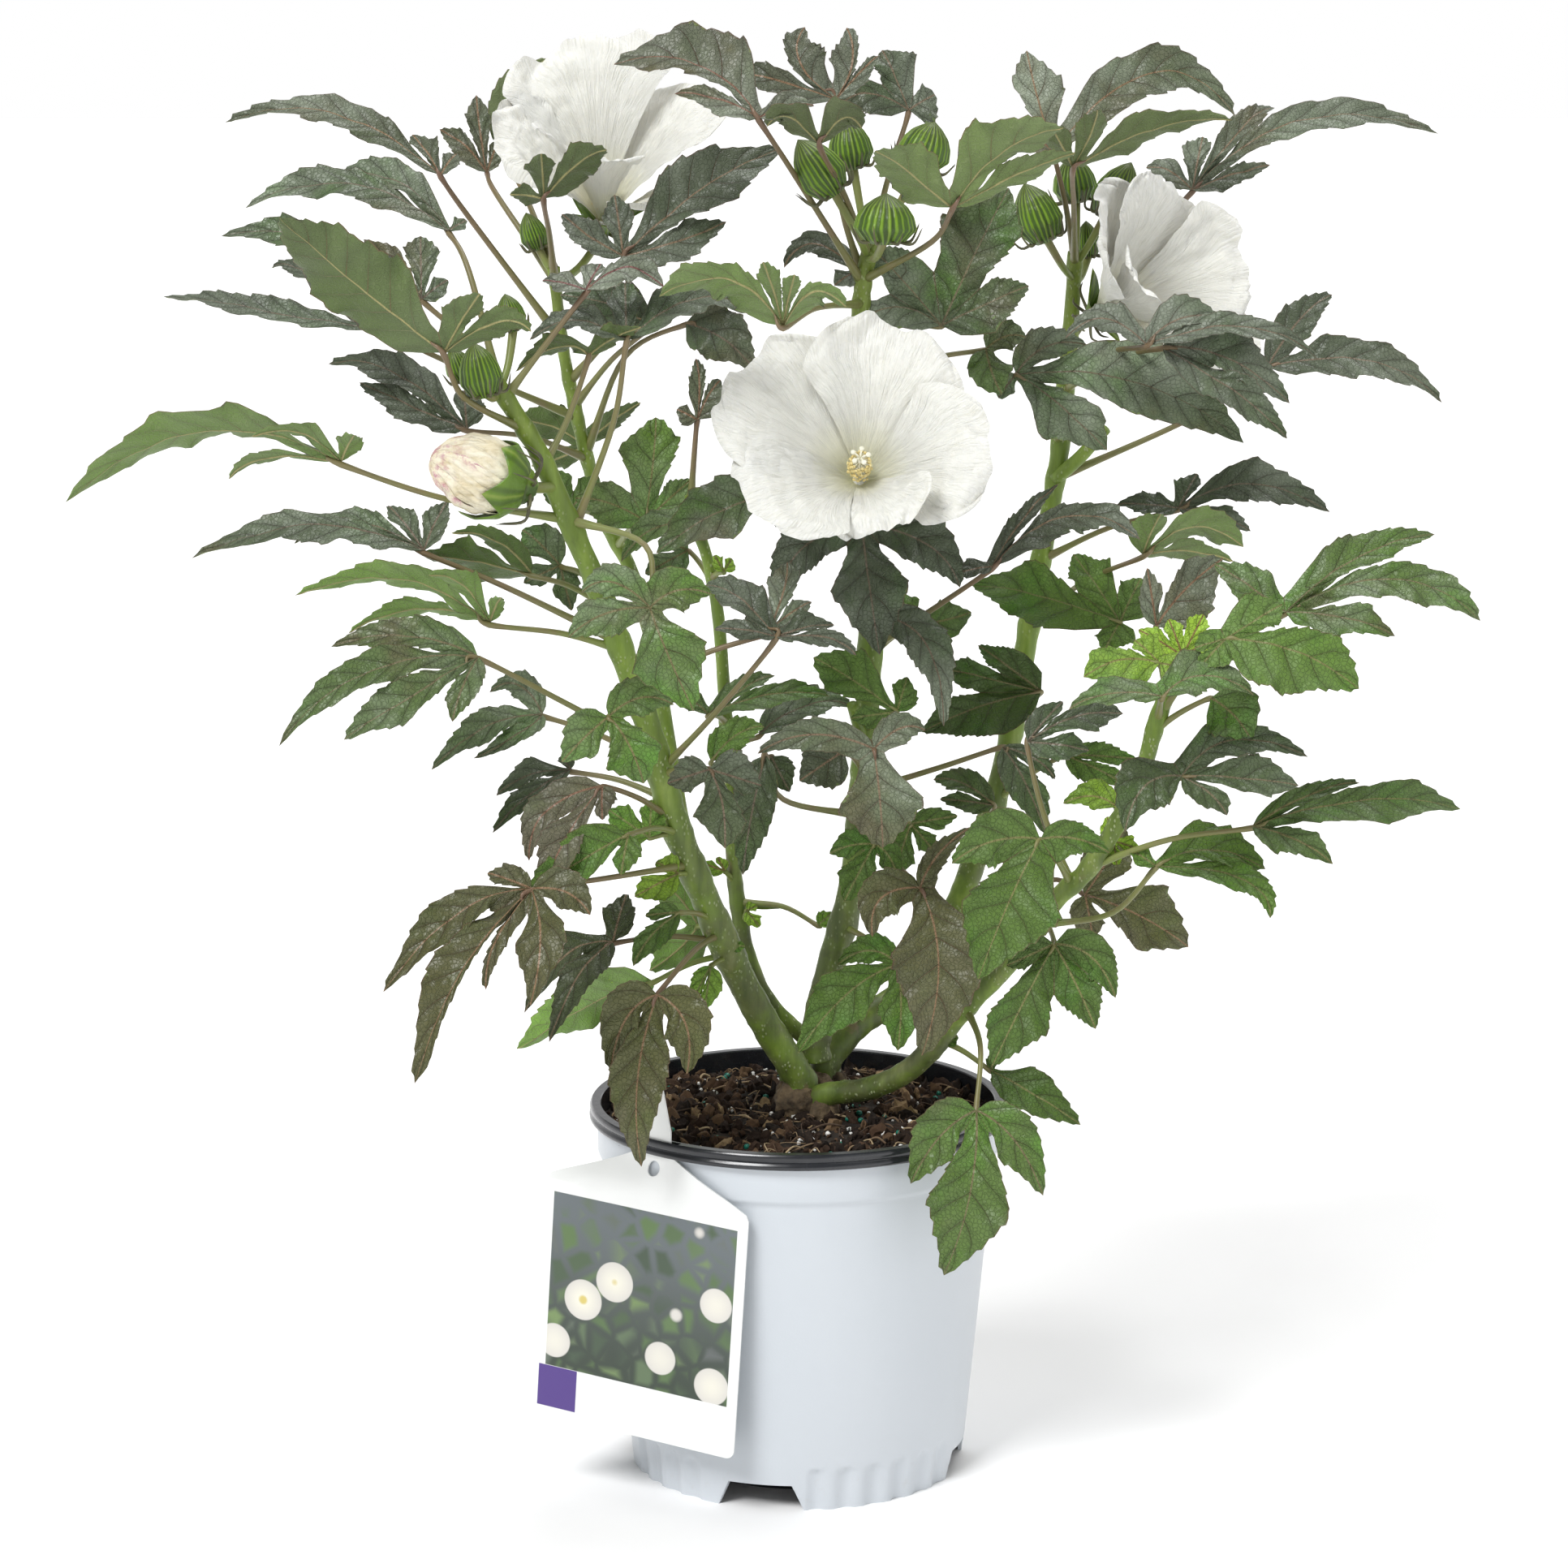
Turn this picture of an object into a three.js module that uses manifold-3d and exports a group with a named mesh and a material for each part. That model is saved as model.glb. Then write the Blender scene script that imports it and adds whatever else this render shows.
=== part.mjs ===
// A rose mallow growing in a nursery pot. Millimetres, standing on z = 0, its front towards -Y.
import * as THREE from "three";
import { mergeVertices } from "three/addons/utils/BufferGeometryUtils.js";
import Module from "manifold-3d";

const wasm = await Module();
wasm.setup();

// Driving dimensions of the pot and its soil, and the gap that separate pieces keep.
const POT_HEIGHT = 214;
const RIM_RADIUS = 120;
const BASE_RADIUS = 96;
const WALL = 2.2;
const RIM_DROP = 9;
const COLLAR_DROP = 31;
const FOOT_HEIGHT = 16;
const POT_SIDES = 40;
const NOTCH_COUNT = 4;
const NOTCH_WIDTH = 36;
const NOTCH_SLANT = 7;
const FIRST_NOTCH = -13;
const SOIL_BELOW_RIM = 13;
const GAP = 0.35;
const SLIVER = 0.03;

// Driving dimensions of the tag.
const TAG_THICKNESS = 0.9;
const TAG_WIDTH = 128;
const TAG_HEIGHT = 142;
const TAG_ROLL = -4;
const TAG_TURN = -26;
const TAG_SLOT_TURN = -43;
const TAG_RADIUS = 116.4;
const TAG_STAND_OFF = 5.5;
const TAG_NECK_BELOW_RIM = 8;
const TAG_SHOULDER = -24;
const TAG_BEND_TOP = -3;
const TAG_NECK_WIDTH = 24;
const TAG_TONGUE_HEIGHT = 45;
const TAG_HOLE_RADIUS = 4.3;

// Driving dimensions of the plant.
const BLADE_THICKNESS = 1.2;
const STALK_RADIUS = 1.9;
const CROWN_RADIUS = 21;
const PETAL_LENGTH = 88;
const PETAL_WIDTH = 104;
const PETAL_THICKNESS = 1.4;
const PISTIL_LENGTH = 27;

// The photograph's view, from which the plant was measured: where the eye stands, how far it looks
// down, how many pixels one unit of slope covers, and the pixel in the middle.
const EYE = new THREE.Vector3(-8, -2373, 863);
const LOOKS_DOWN = THREE.MathUtils.degToRad(11.08);
const PIXELS_PER_SLOPE = 5250;
const MIDDLE_PIXEL = 966;

// The direction in which a pixel of the photograph is seen.
function sight(px, py) {
  const right = (px - MIDDLE_PIXEL) / PIXELS_PER_SLOPE;
  const up = (MIDDLE_PIXEL - py) / PIXELS_PER_SLOPE;
  const forward = Math.cos(LOOKS_DOWN) + up * Math.sin(LOOKS_DOWN);
  const rise = up * Math.cos(LOOKS_DOWN) - Math.sin(LOOKS_DOWN);
  return new THREE.Vector3(right, forward, rise);
}

// The point seen at a pixel, at a depth behind (+) or in front of (-) the middle of the pot.
function seen([px, py], depth) {
  const ray = sight(px, py);
  return EYE.clone().addScaledVector(ray, (depth - EYE.y) / ray.y);
}

// The point seen at a pixel on the plane through a place with a normal.
function seenOnPlane([px, py], place, normal) {
  const ray = sight(px, py);
  const reach = place.clone().sub(EYE).dot(normal) / ray.dot(normal);
  return EYE.clone().addScaledVector(ray, reach);
}

// A unit vector from a turn to the viewer's right and a tilt upwards, in degrees.
function facing([turn, tilt]) {
  const [a, b] = [turn, tilt].map(THREE.MathUtils.degToRad);
  return new THREE.Vector3(Math.sin(a) * Math.cos(b), -Math.cos(a) * Math.cos(b), Math.sin(b));
}

// Solids

// Triangles without the slivers that two equal corners leave.
function soundTriangles(index) {
  const kept = [];
  for (let i = 0; i < index.length; i += 3) {
    const [a, b, c] = [index[i], index[i + 1], index[i + 2]];
    if (a !== b && b !== c && c !== a) kept.push(a, b, c);
  }
  return kept;
}

function signedVolume(position, index) {
  const [a, b, c] = [new THREE.Vector3(), new THREE.Vector3(), new THREE.Vector3()];
  let sum = 0;
  for (let i = 0; i < index.length; i += 3) {
    a.fromBufferAttribute(position, index[i]);
    b.fromBufferAttribute(position, index[i + 1]);
    c.fromBufferAttribute(position, index[i + 2]);
    sum += a.dot(b.cross(c));
  }
  return sum;
}

// The closed surface of a geometry as a solid, turned to face outwards.
function solidOf(geometry) {
  const bare = new THREE.BufferGeometry();
  bare.setAttribute("position", geometry.getAttribute("position"));
  bare.setIndex(geometry.index);
  const welded = mergeVertices(bare, 1e-3);
  const index = soundTriangles(welded.index.array);
  if (signedVolume(welded.attributes.position, index) < 0) index.reverse();
  return new wasm.Manifold(new wasm.Mesh({
    numProp: 3,
    vertProperties: new Float32Array(welded.attributes.position.array),
    triVerts: new Uint32Array(index),
  }));
}

// A solid's surface, without the slivers that joining and cutting leave.
function geometryOf(solid) {
  const mesh = solid.simplify(SLIVER).getMesh();
  const geometry = new THREE.BufferGeometry();
  geometry.setAttribute("position", new THREE.BufferAttribute(mesh.vertProperties, 3));
  geometry.setIndex(new THREE.BufferAttribute(mesh.triVerts, 1));
  return geometry;
}

// The pieces joined in one solid, without loose scraps.
function joined(solids) {
  const whole = solids.reduce((sum, next) => sum.add(next));
  const bodies = whole.decompose();
  return bodies.reduce((best, body) => (body.volume() > best.volume() ? body : best));
}

function geometryFrom(points, triangles) {
  const geometry = new THREE.BufferGeometry().setFromPoints(points);
  geometry.setIndex(triangles.flat());
  return geometry;
}

// A closed skin over rings of points, each ring with as many points as the next, or only one.
function loft(rings) {
  const points = [];
  const triangles = [];
  const starts = rings.map((ring) => points.push(...ring) - ring.length);
  for (let k = 0; k + 1 < rings.length; k += 1) {
    const count = Math.max(rings[k].length, rings[k + 1].length);
    const low = (i) => starts[k] + (i % rings[k].length);
    const high = (i) => starts[k + 1] + (i % rings[k + 1].length);
    for (let i = 0; i < count; i += 1) {
      triangles.push([low(i), low(i + 1), high(i + 1)], [low(i), high(i + 1), high(i)]);
    }
  }
  for (const end of [0, rings.length - 1]) {
    const ring = rings[end];
    if (ring.length === 3) {
      const [p, q, r] = [0, 1, 2].map((i) => starts[end] + i);
      triangles.push(end === 0 ? [r, q, p] : [p, q, r]);
      continue;
    }
    const centre = ring.reduce((sum, p) => sum.add(p), new THREE.Vector3()).divideScalar(ring.length);
    const middle = points.push(centre) - 1;
    for (let i = 0; i < ring.length; i += 1) {
      const pair = [starts[end] + i, starts[end] + ((i + 1) % ring.length)];
      if (ring.length > 1) triangles.push(end === 0 ? [middle, pair[1], pair[0]] : [middle, ...pair]);
    }
  }
  return geometryFrom(points, triangles);
}

// A direction across another, as near as it can be to a wished one.
function sideways(along, wished) {
  return wished.clone().addScaledVector(along, -wished.dot(along)).normalize();
}

// A round ring of points about a centre, facing along a direction.
function ring(centre, along, radius, sides, radiusAt = () => 1, wished = null) {
  let across = new THREE.Vector3(0, 1, 0).cross(along);
  if (across.length() < 0.1) across.set(1, 0, 0);
  across = wished ? sideways(along, wished) : across.normalize();
  const other = along.clone().cross(across).normalize();
  return Array.from({ length: sides }, (_, i) => {
    const angle = (2 * Math.PI * i) / sides;
    const reach = radius * radiusAt(i);
    return centre.clone()
      .addScaledVector(across, reach * Math.cos(angle))
      .addScaledVector(other, reach * Math.sin(angle));
  });
}

// A tapered stem through a list of points.
function stem(points, firstRadius, lastRadius, sides) {
  const last = points.length - 1;
  const rings = points.map((point, i) => {
    const along = points[Math.min(i + 1, last)].clone().sub(points[Math.max(i - 1, 0)]).normalize();
    const radius = THREE.MathUtils.lerp(firstRadius, lastRadius, i / last);
    return ring(point, along, radius, sides);
  });
  return solidOf(loft(rings));
}

// Gives a sheet of triangles a thickness along the given directions, half to each side. Its outer
// edge runs out to a sharp line, but for the points that stay thick.
function thicken(points, triangles, directions, thickness, staysThick) {
  const edgesOf = ([p, q, r]) => [[p, q], [q, r], [r, p]];
  const known = new Set(triangles.flatMap(edgesOf).map(([from, to]) => `${from},${to}`));
  const open = (list) => list.flatMap(edgesOf).filter(([from, to]) => !known.has(`${to},${from}`));
  const sharp = new Set(open(triangles).flat().filter((i) => !staysThick(i)));
  const kept = triangles.filter((corners) => !corners.every((i) => sharp.has(i)));
  const dropped = triangles.filter((corners) => corners.every((i) => sharp.has(i)));
  for (const [from, to] of dropped.flatMap(edgesOf)) known.delete(`${from},${to}`);
  const count = points.length;
  const half = (i) => (sharp.has(i) ? 0 : thickness / 2);
  const shift = (side) => points.map((p, i) => p.clone().addScaledVector(directions[i], side * half(i)));
  const skin = [...kept, ...kept.map(([p, q, r]) => [count + p, count + r, count + q])];
  for (const [from, to] of open(kept)) {
    skin.push([to, from, count + from], [to, count + from, count + to]);
  }
  return solidOf(geometryFrom([...shift(1), ...shift(-1)], skin));
}

// A curved sheet over a grid, from the point at each place along and across, both from 0 to 1. Its
// first row, at its root, stays thick.
function sheet(along, across, pointAt, thickness) {
  const points = [];
  const triangles = [];
  for (let i = 0; i <= along; i += 1) {
    for (let j = 0; j <= across; j += 1) points.push(pointAt(i / along, j / across));
  }
  for (let i = 0; i < along; i += 1) {
    for (let j = 0; j < across; j += 1) {
      const corner = i * (across + 1) + j;
      const beyond = corner + across + 1;
      triangles.push([corner, beyond, beyond + 1], [corner, beyond + 1, corner + 1]);
    }
  }
  const geometry = geometryFrom(points, triangles);
  geometry.computeVertexNormals();
  const normals = geometry.getAttribute("normal");
  const directions = points.map((_, i) => new THREE.Vector3().fromBufferAttribute(normals, i));
  return thicken(points, triangles, directions, thickness, (i) => i <= across);
}

// Where the plant's pieces are seen

// A cane: its radius at the foot and the top, and its route as pixel, pixel and depth.
const CANES = {
  front_left: { radii: [9.8, 4.2], route: [
    [985, 1328, -8], [945, 1265, -16], [905, 1190, -28], [870, 1110, -44], [830, 1010, -58],
    [800, 900, -72], [765, 800, -84], [735, 720, -94], [700, 640, -104], [665, 560, -110],
    [632, 505, -114], [610, 470, -116]] },
  back_left: { radii: [5.6, 3.2], route: [
    [972, 1310, 14], [932, 1230, 30], [880, 1140, 54], [846, 1040, 76], [822, 906, 96],
    [803, 790, 104], [776, 700, 104], [745, 640, 98], [722, 560, 90], [708, 500, 82],
    [694, 430, 72], [682, 330, 60]] },
  slender: { radii: [5.2, 2.8], route: [
    [1000, 1288, 42], [948, 1235, 44], [920, 1170, 46], [906, 1090, 48], [900, 1000, 48],
    [894, 880, 44], [885, 760, 40], [872, 690, 34], [855, 640, 28], [850, 610, 26]] },
  centre: { radii: [9.5, 4], route: [
    [1004, 1285, 10], [1012, 1240, 11], [1024, 1190, 13], [1048, 1100, 18], [1060, 1010, 22],
    [1067, 906, 24], [1072, 791, 22], [1068, 690, 16], [1062, 600, 10], [1060, 500, 6],
    [1060, 400, 4], [1064, 345, 2], [1072, 308, -2]] },
  right: { radii: [9.5, 4.2], route: [
    [1018, 1308, 26], [1055, 1262, 38], [1110, 1225, 56], [1160, 1160, 74], [1190, 1090, 90],
    [1230, 970, 108], [1250, 880, 120], [1270, 760, 132], [1290, 650, 138], [1305, 560, 140],
    [1315, 450, 138], [1321, 380, 136], [1325, 310, 134]] },
  low_right: { radii: [7.2, 4], route: [
    [1012, 1350, -14], [1075, 1340, -28], [1130, 1310, -42], [1190, 1240, -60], [1240, 1190, -74],
    [1300, 1110, -92], [1345, 1065, -104], [1400, 970, -120], [1425, 890, -130], [1440, 850, -134]] },
};

// A leaf: the cane's pixel row that its stalk leaves, the pixel and depth where the stalk joins the
// blade, a pixel the stalk passes, where its upper side faces, how far its lobes hang together, and
// its lobes in turn round the joint: tip pixel, half width in millimetres, and a pixel halfway along.
const LEAVES = {
  front_left: [
    { from: 480, joint: [553, 284], deep: -72, via: [578, 335], faces: [0, 50], lobes: [
      [302, 256, 14, 430, 240], [395, 222, 12, 480, 228], [575, 272, 6]] },
    { from: 480, joint: [520, 368], deep: -108, via: [575, 420], faces: [0, 35], lobes: [
      [273, 294, 13, 400, 305], [448, 295, 9], [518, 290, 14], [552, 345, 8]] },
    { from: 530, joint: [547, 434], deep: -158, via: [572, 490], faces: [180, 25], web: 0.35, lobes: [
      [344, 268, 23, 425, 348], [592, 358, 12], [655, 405, 10, 610, 400]] },
    { from: 640, joint: [420, 568], deep: -134, via: [550, 615], faces: [180, 50], lobes: [
      [282, 588, 6, 330, 572], [80, 626, 17, 240, 555], [310, 532, 7, 370, 540], [437, 532, 8]] },
    { from: 790, joint: [522, 678], deep: -96, via: [620, 722], faces: [0, 55], lobes: [
      [235, 681, 15, 390, 662], [362, 668, 10, 440, 652], [478, 622, 9], [551, 618, 8]] },
    { from: 800, joint: [603, 766], deep: -90, via: [690, 780], faces: [180, 45], lobes: [
      [429, 778, 9, 520, 758], [364, 726, 12, 495, 728], [528, 707, 10, 570, 728], [618, 733, 5]] },
    { from: 925, joint: [589, 809], deep: -126, via: [700, 868], faces: [0, 40], lobes: [
      [408, 798, 11, 500, 790], [342, 912, 11, 452, 838], [423, 908, 17, 510, 862],
      [557, 887, 10, 570, 850]] },
    { from: 945, joint: [668, 880], deep: -62, faces: [0, 45], lobes: [
      [603, 852, 8, 640, 848], [531, 946, 10, 598, 902], [583, 932, 7, 640, 908]] },
    { from: 985, joint: [703, 948], deep: -44, faces: [0, 50], lobes: [
      [690, 932, 5], [611, 977, 9, 655, 958], [607, 1028, 8, 652, 985]] },
    { from: 1010, joint: [742, 968], deep: -108, faces: [-10, 30], web: 0.4, lobes: [
      [650, 1058, 11, 675, 1003], [668, 1092, 17, 702, 1032], [742, 1010, 8]] },
    { from: 1025, joint: [774, 1028], deep: -118, faces: [0, 25], lobes: [
      [640, 1107, 15, 715, 1063], [765, 1078, 9]] },
    { from: 1028, joint: [800, 1032], deep: -70, faces: [0, 15], web: 0.5, lobes: [
      [750, 998, 13], [803, 985, 9]] },
    { from: 1065, joint: [655, 1095], deep: -158, via: [760, 1080], faces: [-10, 35], lobes: [
      [727, 1127, 12, 700, 1102], [652, 1237, 14, 668, 1165], [597, 1217, 7, 614, 1160],
      [508, 1331, 18, 575, 1202], [471, 1221, 14, 568, 1130], [600, 1075, 8]] },
    { from: 1160, joint: [755, 1160], deep: -74, faces: [0, 45], lobes: [
      [676, 1279, 11, 716, 1205], [646, 1249, 10, 698, 1182], [772, 1100, 9]] },
    { from: 1175, joint: [803, 1208], deep: -36, faces: [180, 35], lobes: [[636, 1297, 20, 722, 1250]] },
    { from: 1150, joint: [810, 1226], deep: -104, via: [855, 1172], faces: [0, 15], lobes: [
      [752, 1320, 15, 772, 1255], [790, 1438, 16, 786, 1330], [846, 1324, 15, 845, 1262]] },
    { from: 1135, joint: [838, 1124], deep: -76, faces: [0, 20], lobes: [
      [795, 1128, 6], [780, 1190, 9, 803, 1153]] },
    { from: 1080, joint: [836, 1076], deep: -64, faces: [0, 20], web: 0.5, lobes: [
      [782, 1105, 10], [808, 1062, 8]] },
    { from: 640, joint: [801, 749], deep: -160, via: [795, 672], faces: [0, 15], lobes: [
      [716, 730, 10, 755, 718], [700, 786, 13, 745, 757], [855, 877, 24, 820, 800],
      [876, 732, 13, 835, 728]] },
    { from: 870, joint: [750, 883], deep: -140, faces: [0, 15], lobes: [
      [692, 939, 13, 722, 908], [793, 965, 23, 775, 918], [830, 868, 11, 790, 860]] },
    { from: 955, joint: [874, 948], deep: -108, faces: [0, 15], web: 0.4, lobes: [
      [822, 965, 10], [893, 1045, 20, 890, 990], [938, 968, 14]] },
    { from: 950, joint: [956, 784], deep: -112, via: [880, 880], faces: [0, 50], lobes: [
      [1055, 805, 8, 1015, 790], [1028, 768, 11], [868, 722, 12, 905, 738], [880, 775, 8]] },
    { from: 850, joint: [946, 778], deep: -80, faces: [0, 45], lobes: [
      [1000, 740, 9], [970, 692, 13, 965, 735], [925, 735, 9]] },
    { from: 655, joint: [772, 418], deep: -110, via: [756, 520], faces: [0, 55], lobes: [
      [652, 415, 9, 710, 402], [770, 345, 10], [940, 393, 14, 860, 378]] },
    { from: 573, joint: [725, 437], deep: -96, via: [700, 515], faces: [180, 55], lobes: [
      [790, 402, 8], [635, 458, 9, 690, 432]] },
    { from: 490, joint: [722, 357], deep: -112, via: [672, 425], faces: [0, 50], lobes: [
      [668, 346, 8], [740, 325, 9], [818, 354, 13, 772, 335]] },
    { from: 745, joint: [655, 706], deep: -68, faces: [180, 40], lobes: [
      [518, 679, 16, 585, 698], [556, 652, 7, 610, 670]] },
    { from: 720, joint: [690, 697], deep: -56, faces: [0, 20], lobes: [
      [643, 652, 12, 665, 670], [645, 718, 8], [704, 752, 8]] },
  ],
  back_left: [
    { from: 420, joint: [543, 215], deep: 44, via: [578, 268], faces: [0, 50], lobes: [
      [276, 143, 11, 415, 156], [508, 165, 11], [563, 188, 7]] },
    { from: 345, joint: [600, 212], deep: 138, via: [612, 240], faces: [0, 30], lobes: [
      [541, 157, 9, 573, 182], [587, 118, 11, 592, 165], [615, 172, 6]] },
    { from: 515, joint: [473, 406], deep: 4, via: [565, 452], faces: [0, 55], lobes: [
      [199, 352, 9, 320, 396], [335, 330, 8, 385, 348]] },
    { from: 565, joint: [575, 528], deep: 16, faces: [0, 45], lobes: [
      [443, 472, 13, 505, 505], [403, 437, 12, 490, 470], [572, 482, 11]] },
    { from: 345, joint: [670, 244], deep: 6, faces: [180, 35], lobes: [
      [628, 240, 8], [667, 188, 12], [748, 185, 13, 712, 205]] },
    { from: 470, joint: [768, 315], deep: 4, via: [772, 385], faces: [0, 30], lobes: [
      [692, 262, 9, 722, 290], [757, 238, 10], [962, 176, 22, 862, 243], [895, 272, 13, 835, 302]] },
    { from: 500, joint: [800, 400], deep: 36, faces: [0, 40], lobes: [[690, 362, 15, 745, 378]] },
    { from: 560, joint: [845, 398], deep: 34, via: [770, 440], faces: [0, 30], lobes: [
      [930, 455, 17, 890, 420]] },
    { from: 600, joint: [720, 548], deep: 124, faces: [180, 20], lobes: [
      [655, 572, 8, 690, 565], [632, 515, 14, 680, 528], [790, 495, 6, 755, 520]] },
    { from: 640, joint: [702, 628], deep: 58, faces: [0, 20], web: 0.5, lobes: [
      [683, 578, 11], [738, 588, 10]] },
    { from: 672, joint: [795, 642], deep: 28, faces: [0, 12], web: 0.5, lobes: [
      [708, 614, 13, 750, 620], [808, 514, 23, 805, 570], [852, 590, 11]] },
    { from: 1150, joint: [860, 1140], deep: 84, faces: [180, 10], lobes: [
      [800, 1195, 14, 835, 1172], [812, 1092, 14, 835, 1105]] },
    { from: 330, joint: [617, 182], deep: 152, faces: [180, 20], lobes: [[676, 72, 10, 630, 118]] },
  ],
  slender: [
    { from: 618, joint: [859, 517], deep: 22, faces: [0, 20], lobes: [
      [834, 504, 7], [857, 440, 6, 862, 475], [888, 468, 11, 873, 488]] },
    { from: 660, joint: [888, 652], deep: -14, faces: [0, 40], lobes: [[765, 690, 10, 815, 652]] },
    { from: 715, joint: [848, 678], deep: 62, faces: [0, 20], web: 0.5, lobes: [
      [795, 708, 11], [812, 664, 8]] },
    { from: 890, joint: [872, 880], deep: 8, faces: [0, 50], lobes: [
      [820, 862, 7, 850, 865], [955, 828, 8], [1022, 857, 11, 950, 862]] },
    { from: 930, joint: [935, 905], deep: 26, faces: [0, 45], lobes: [[1050, 868, 11, 995, 872]] },
    { from: 965, joint: [876, 938], deep: -26, faces: [0, 45], lobes: [[942, 897, 10, 908, 908]] },
    { from: 985, joint: [950, 932], deep: 34, faces: [0, 15], lobes: [[973, 976, 9]] },
  ],
  centre: [
    { from: 350, joint: [935, 145], deep: -78, via: [985, 225], faces: [0, 40], lobes: [
      [1003, 128, 8, 970, 132], [756, 74, 24, 862, 88], [831, 114, 11, 890, 128]] },
    { from: 345, joint: [1030, 122], deep: 16, via: [1035, 245], faces: [0, 30], lobes: [
      [902, 88, 10, 955, 102], [992, 31, 15, 985, 80], [1043, 35, 13, 1050, 80], [1082, 68, 7]] },
    { from: 320, joint: [1120, 135], deep: 66, faces: [0, 20], web: 0.6, lobes: [
      [1034, 130, 13, 1070, 116], [1087, 60, 20], [1152, 116, 15]] },
    { from: 318, joint: [1010, 177], deep: -66, faces: [180, 50], lobes: [
      [945, 158, 11, 970, 148], [1062, 160, 12, 1040, 148]] },
    { from: 345, joint: [1173, 255], deep: -92, via: [1148, 298], faces: [180, 40], lobes: [
      [1078, 181, 17, 1120, 218], [1310, 152, 20, 1235, 195], [1325, 186, 9, 1262, 218]] },
    { from: 400, joint: [1160, 401], deep: 2, faces: [0, 20], web: 0.62, lobes: [
      [1045, 412, 14, 1100, 380], [1075, 305, 18, 1110, 345], [1243, 232, 32, 1200, 318],
      [1268, 352, 16]] },
    { from: 470, joint: [1215, 430], deep: 20, faces: [0, 25], lobes: [
      [1264, 415, 10, 1240, 415], [1235, 485, 13, 1222, 460]] },
    { from: 640, joint: [1062, 645], deep: -22, faces: [0, 25], lobes: [
      [960, 748, 13, 985, 682], [1084, 805, 25, 1070, 718], [1183, 723, 15, 1142, 674]] },
    { from: 650, joint: [945, 612], deep: -40, faces: [0, 35], lobes: [
      [808, 678, 18, 880, 638], [1000, 656, 11]] },
    { from: 760, joint: [1082, 758], deep: -30, faces: [15, 25], lobes: [[1161, 897, 13, 1140, 802]] },
    { from: 800, joint: [1222, 698], deep: -20, via: [1150, 750], faces: [0, 50], lobes: [
      [1170, 710, 7], [1305, 590, 6, 1258, 650], [1405, 668, 16, 1315, 645]] },
    { from: 810, joint: [1130, 768], deep: 64, faces: [0, 20], lobes: [
      [1106, 733, 9], [1197, 753, 12, 1165, 765]] },
    { from: 900, joint: [1105, 877], deep: -34, faces: [0, 15], lobes: [
      [1048, 885, 9], [1002, 810, 18, 1050, 838], [1118, 834, 9]] },
    { from: 925, joint: [1077, 923], deep: -96, faces: [0, 10], lobes: [
      [933, 929, 9, 1000, 905], [1088, 1045, 25, 1084, 985], [1140, 900, 9, 1110, 897]] },
    { from: 950, joint: [1040, 925], deep: -12, faces: [0, 15], web: 0.5, lobes: [[985, 962, 15]] },
    { from: 1005, joint: [943, 930], deep: -60, via: [965, 985], faces: [0, 15], lobes: [
      [915, 1078, 12, 926, 1005]] },
    { from: 975, joint: [1235, 920], deep: -4, via: [1160, 945], faces: [0, 20], lobes: [
      [1290, 1030, 12, 1264, 968], [1300, 960, 5, 1278, 938]] },
    { from: 1020, joint: [1122, 1015], deep: -8, faces: [0, 15], lobes: [
      [1100, 1080, 12], [1152, 1050, 9], [1180, 1005, 7]] },
    { from: 1032, joint: [1077, 1040], deep: -44, faces: [0, 15], lobes: [
      [1022, 1052, 9, 1048, 1042], [1040, 1111, 15, 1060, 1072], [1107, 1085, 8, 1095, 1055]] },
    { from: 1040, joint: [1134, 1094], deep: -70, faces: [0, 20], lobes: [
      [1075, 1155, 13, 1085, 1108], [1136, 1300, 26, 1156, 1190], [1196, 1018, 6, 1155, 1055]] },
    { from: 1140, joint: [1106, 1188], deep: -36, faces: [0, 25], lobes: [
      [1031, 1189, 9, 1070, 1172], [983, 1297, 18, 1042, 1228], [1106, 1295, 15, 1110, 1240]] },
    { from: 372, joint: [1058, 332], deep: 10, faces: [0, 40], lobes: [
      [1028, 352, 9], [966, 330, 8, 1000, 306]] },
    { from: 374, joint: [965, 401], deep: -122, via: [1005, 380], faces: [180, 40], lobes: [
      [812, 370, 19, 895, 352], [940, 322, 9], [979, 338, 11], [1043, 376, 13, 1002, 364]] },
  ],
  right: [
    { from: 318, joint: [1298, 186], deep: 84, faces: [0, 30], lobes: [
      [1243, 150, 10], [1265, 62, 17, 1278, 125], [1523, 138, 15, 1420, 98]] },
    { from: 325, joint: [1322, 206], deep: 28, faces: [180, 45], lobes: [
      [1290, 150, 8], [1352, 135, 9, 1345, 165], [1519, 141, 12, 1420, 170]] },
    { from: 420, joint: [1469, 234], deep: 150, faces: [0, 45], lobes: [
      [1412, 208, 10, 1440, 214], [1482, 168, 12], [1571, 122, 10, 1525, 170],
      [1772, 168, 14, 1610, 162], [1565, 204, 10, 1515, 222]] },
    { from: 470, joint: [1412, 424], deep: 2, faces: [0, 45], lobes: [
      [1313, 410, 10, 1362, 398], [1512, 392, 14, 1455, 397], [1625, 437, 8, 1530, 412]] },
    { from: 480, joint: [1432, 427], deep: 18, faces: [0, 35], web: 0.4, lobes: [
      [1590, 493, 18, 1510, 447], [1587, 537, 13, 1518, 488]] },
    { from: 590, joint: [1562, 452], deep: 108, via: [1470, 514], faces: [0, 40], lobes: [
      [1642, 361, 11, 1600, 400], [1779, 487, 14, 1680, 453]] },
    { from: 545, joint: [1252, 461], deep: 52, faces: [0, 25], lobes: [
      [1230, 490, 8], [1364, 556, 25, 1305, 502], [1534, 542, 24, 1400, 478], [1340, 425, 11, 1290, 428]] },
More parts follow.
